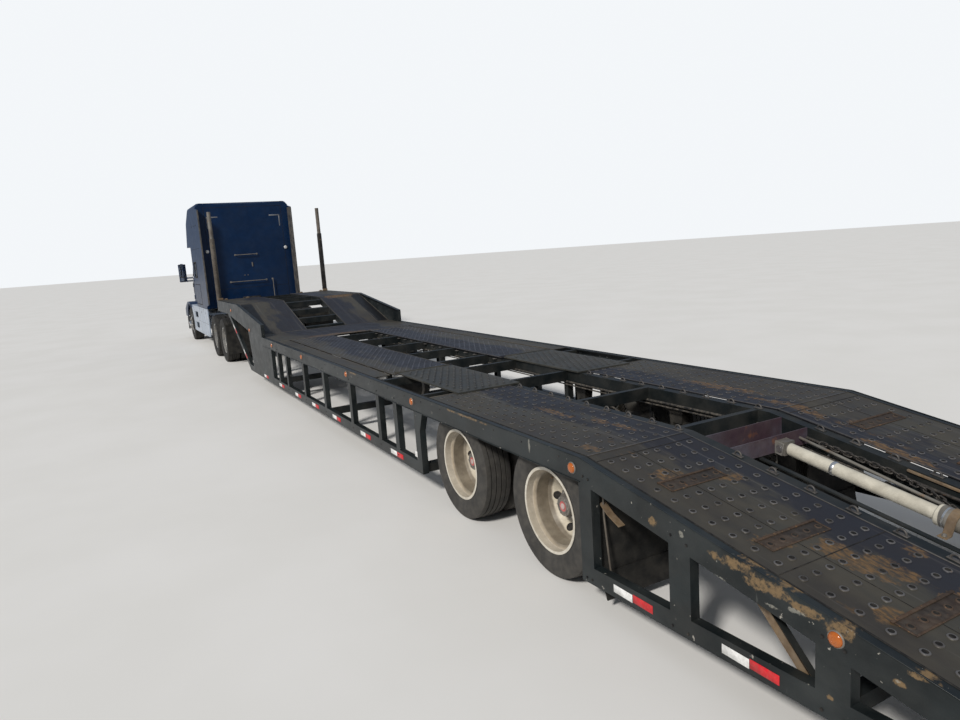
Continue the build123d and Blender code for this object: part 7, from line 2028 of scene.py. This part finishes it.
class TRANSPORTER_OT_cab_interior(bpy.types.Operator):
    """Padded chairs, dashboard with instruments, steering wheel and bunk with its mattress."""

    bl_idname = "transporter.cab_interior"
    bl_label = "Cab interior"

    def execute(self, context):
        plastic, dark, chrome = look("Dash Plastic"), look("Groove Shadow"), look("Chrome Trim")
        cloth, piping, linen = look("Chair Cloth"), look("Chair Piping"), look("Mattress Cloth")
        node, floor = ("cab_interior",), CAB_FLOOR
        for side, s in SIDES:
            y = s * 0.56
            bm = bmesh.new()
            cushion(bm, (9.22, y, floor + 0.430), (0, 1, 0), (-1, 0, 0), (0.498, 0.518, 0.118),
                    [(-0.62, False), (0.62, False), (-0.1, True)])
            piece = make_piece("chair_cushion_" + side, bm, [cloth, piping], "tractor", 60, node)
            bm = bmesh.new()
            cushion(bm, (8.99, y, floor + 0.780), (0, 1, 0), (0, 0, 1), (0.478, 0.600, 0.126),
                    [(-0.62, False), (0.62, False), (-0.35, True), (0.30, True)])
            piece = make_piece("chair_back_" + side, bm, [cloth, piping], "tractor", 60, node)
            bm = bmesh.new()
            cushion(bm, (8.99, y, floor + 1.135), (0, 1, 0), (0, 0, 1), (0.300, 0.105, 0.110))
            piece = make_piece("head_rest_" + side, bm, [cloth, piping], "tractor", 60, node)

            bm = bmesh.new()
            span(bm, (9.055, y - 0.185, floor + 0.002), (9.385, y + 0.185, floor + 0.045), 0.012, 0)
            for row in range(7):
                z = floor + 0.055 + row * 0.038
                span(bm, (9.075, y - 0.165, z), (9.365, y + 0.165, z + 0.026), 0.012, 1)
            span(bm, (9.000, y - 0.235, floor + 0.330), (9.440, y + 0.235, floor + 0.372), 0.012, 0)
            for px in (-0.11, 0.11):
                tube(bm, [(8.990, y + px, floor + 1.06), (8.990, y + px, floor + 1.12)], 0.006, 8, 2)
            tube(bm, [(9.43, y - s * 0.15, floor + 0.345), (9.465, y - s * 0.15, floor + 0.345)], 0.008, 8, 2)
            make_piece("chair_base_" + side, bm, [plastic, dark, chrome], "tractor", 40, node)

        bm = bmesh.new()
        half = 0.990
        outline = [(10.341, floor + 0.004), (10.341, 1.718), (10.12, 1.788), (9.985, 1.748), (9.972, 1.728),
                   (10.030, floor + 0.352), (10.168, floor + 0.004)]
        slab(bm, [(x, half, z) for x, z in outline], (0, -2 * half, 0), 0)
        face = Matrix.Rotation(radians(8), 3, "Y")
        block(bm, (9.988, 0.56, 1.640), (0.020, 0.46, 0.150), 0.008, 1, face)
        for y, radius in ((0.67, 0.055), (0.53, 0.055), (0.42, 0.030), (0.76, 0.022)):
            lathe(bm, [(radius, 0.0), (radius, 0.010), (radius * 0.92, 0.013), (radius * 0.88, 0.006), (0.0, 0.006)],
                  (9.980, y, 1.645), Vector((-1, 0, 0.14)), 28, slots=[2, 2, 2, 1])
        block(bm, (10.000, 0.02, 1.600), (0.020, 0.34, 0.20), 0.008, 1, face)
        for row in range(3):
            for column in range(5):
                block(bm, (9.990, -0.10 + column * 0.06, 1.545 + row * 0.05), (0.014, 0.040, 0.026), 0.004, 2, face)
        block(bm, (10.030, -0.56, 1.43), (0.016, 0.44, 0.20), 0.008, 3, face)
        for y in (-0.86, -0.30, 0.30, 0.86):
            block(bm, (9.990, y, 1.690), (0.016, 0.110, 0.050), 0.006, 1, face)
        make_piece("dashboard", bm, [plastic, dark, look("Hub Grey"), look("Extender Grey")], "tractor",
                   40, node)

        bm = bmesh.new()
        hub = Vector((9.84, 0.56, 1.86))
        axis = Vector((-1, 0, 1.2)).normalized()
        level = Vector((0, 1, 0))
        rise = axis.cross(level)
        ring = [hub + axis * 0.013 + (level * cos(2 * pi * k / 40) + rise * sin(2 * pi * k / 40)) * 0.211
                for k in range(40)]
        tube(bm, ring, 0.0135, 10, 0, closed=True)
        for angle in (0, 180, 270, 250, 290):
            a = radians(angle)
            way = level * cos(a) + rise * sin(a)
            spoke = ((0.010, 0.05), (0.006, 0.13), (0.013, 0.203))
            tube(bm, [hub + axis * lift + way * reach for lift, reach in spoke], 0.008, 8, 0)
        lathe(bm, [(0.032, -0.250), (0.032, -0.06), (0.048, -0.03), (0.062, 0.004), (0.058, 0.020), (0.030, 0.025),
                   (0.0, 0.026)], hub, axis, 28, 0)
        for sign in (1, -1):
            tube(bm, [hub - axis * 0.045 + level * sign * 0.03, hub - axis * 0.040 + level * sign * 0.17], 0.006, 8, 0)
        make_piece("steering_wheel", bm, [piping], "tractor", 40, node)

        bm = bmesh.new()
        span(bm, (6.870, -1.130, floor + 0.004), (7.660, 1.130, floor + 0.400), 0.008, 0)
        for y in (-0.75, 0.0, 0.75):
            span(bm, (7.655, y - 0.32, floor + 0.04), (7.664, y + 0.32, floor + 0.34), 0.003, 1)
            block(bm, (7.664, y, floor + 0.30), (0.006, 0.12, 0.02), 0.002, 2)
        make_piece("bunk_base", bm, [plastic, look("Extender Grey"), dark], "tractor", 40, node)
        bm = bmesh.new()
        cushion(bm, (7.265, 0, floor + 0.474), (0, 1, 0), (-1, 0, 0), (2.250, 0.790, 0.146),
                [(i / 4, False) for i in range(-3, 4)], 0.012)
        piece = make_piece("mattress", bm, [linen, piping], "tractor", 60, node)
        return {"FINISHED"}


# Panel, registration and run


class TRANSPORTER_PT_sidebar(bpy.types.Panel):
    """Settings and steps of the dressing."""

    bl_idname = "TRANSPORTER_PT_sidebar"
    bl_label = "Car Transporter"
    bl_space_type = "VIEW_3D"
    bl_region_type = "UI"
    bl_category = "Transporter"

    def draw(self, context):
        settings = context.scene.transporter
        for name in settings.bl_rna.properties.keys():
            if name not in ("rna_type", "name"):
                self.layout.prop(settings, name)
        for operator in OPERATORS:
            self.layout.operator(operator.bl_idname)


OPERATORS = (
    TRANSPORTER_OT_stage, TRANSPORTER_OT_finishes, TRANSPORTER_OT_tyres, TRANSPORTER_OT_wheel_fittings,
    TRANSPORTER_OT_deck_dimples, TRANSPORTER_OT_track_strips, TRANSPORTER_OT_tie_hooks,
    TRANSPORTER_OT_side_details, TRANSPORTER_OT_side_markers, TRANSPORTER_OT_tail_cylinder,
    TRANSPORTER_OT_tail_lines, TRANSPORTER_OT_tail_plates, TRANSPORTER_OT_tray_lining,
    TRANSPORTER_OT_post_details, TRANSPORTER_OT_neck_details, TRANSPORTER_OT_sleeper_details,
    TRANSPORTER_OT_door_details, TRANSPORTER_OT_cab_details,
    TRANSPORTER_OT_hood_details, TRANSPORTER_OT_chassis_details, TRANSPORTER_OT_cab_interior,
)
CLASSES = (TransporterSettings,) + OPERATORS + (TRANSPORTER_PT_sidebar,)


def register():
    """Registers the settings, operators and panel."""
    for kind in CLASSES:
        bpy.utils.register_class(kind)
    bpy.types.Scene.transporter = bpy.props.PointerProperty(type=TransporterSettings)


def unregister():
    """Removes the settings, operators and panel."""
    del bpy.types.Scene.transporter
    for kind in reversed(CLASSES):
        bpy.utils.unregister_class(kind)


def main():
    """Dresses the frame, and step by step."""
    register()
    for operator in OPERATORS:
        group, name = operator.bl_idname.split(".")
        if getattr(getattr(bpy.ops, group), name)() != {"FINISHED"}:
            raise RuntimeError(operator.bl_label + " did not finish")


if __name__ == "__main__":
    main()
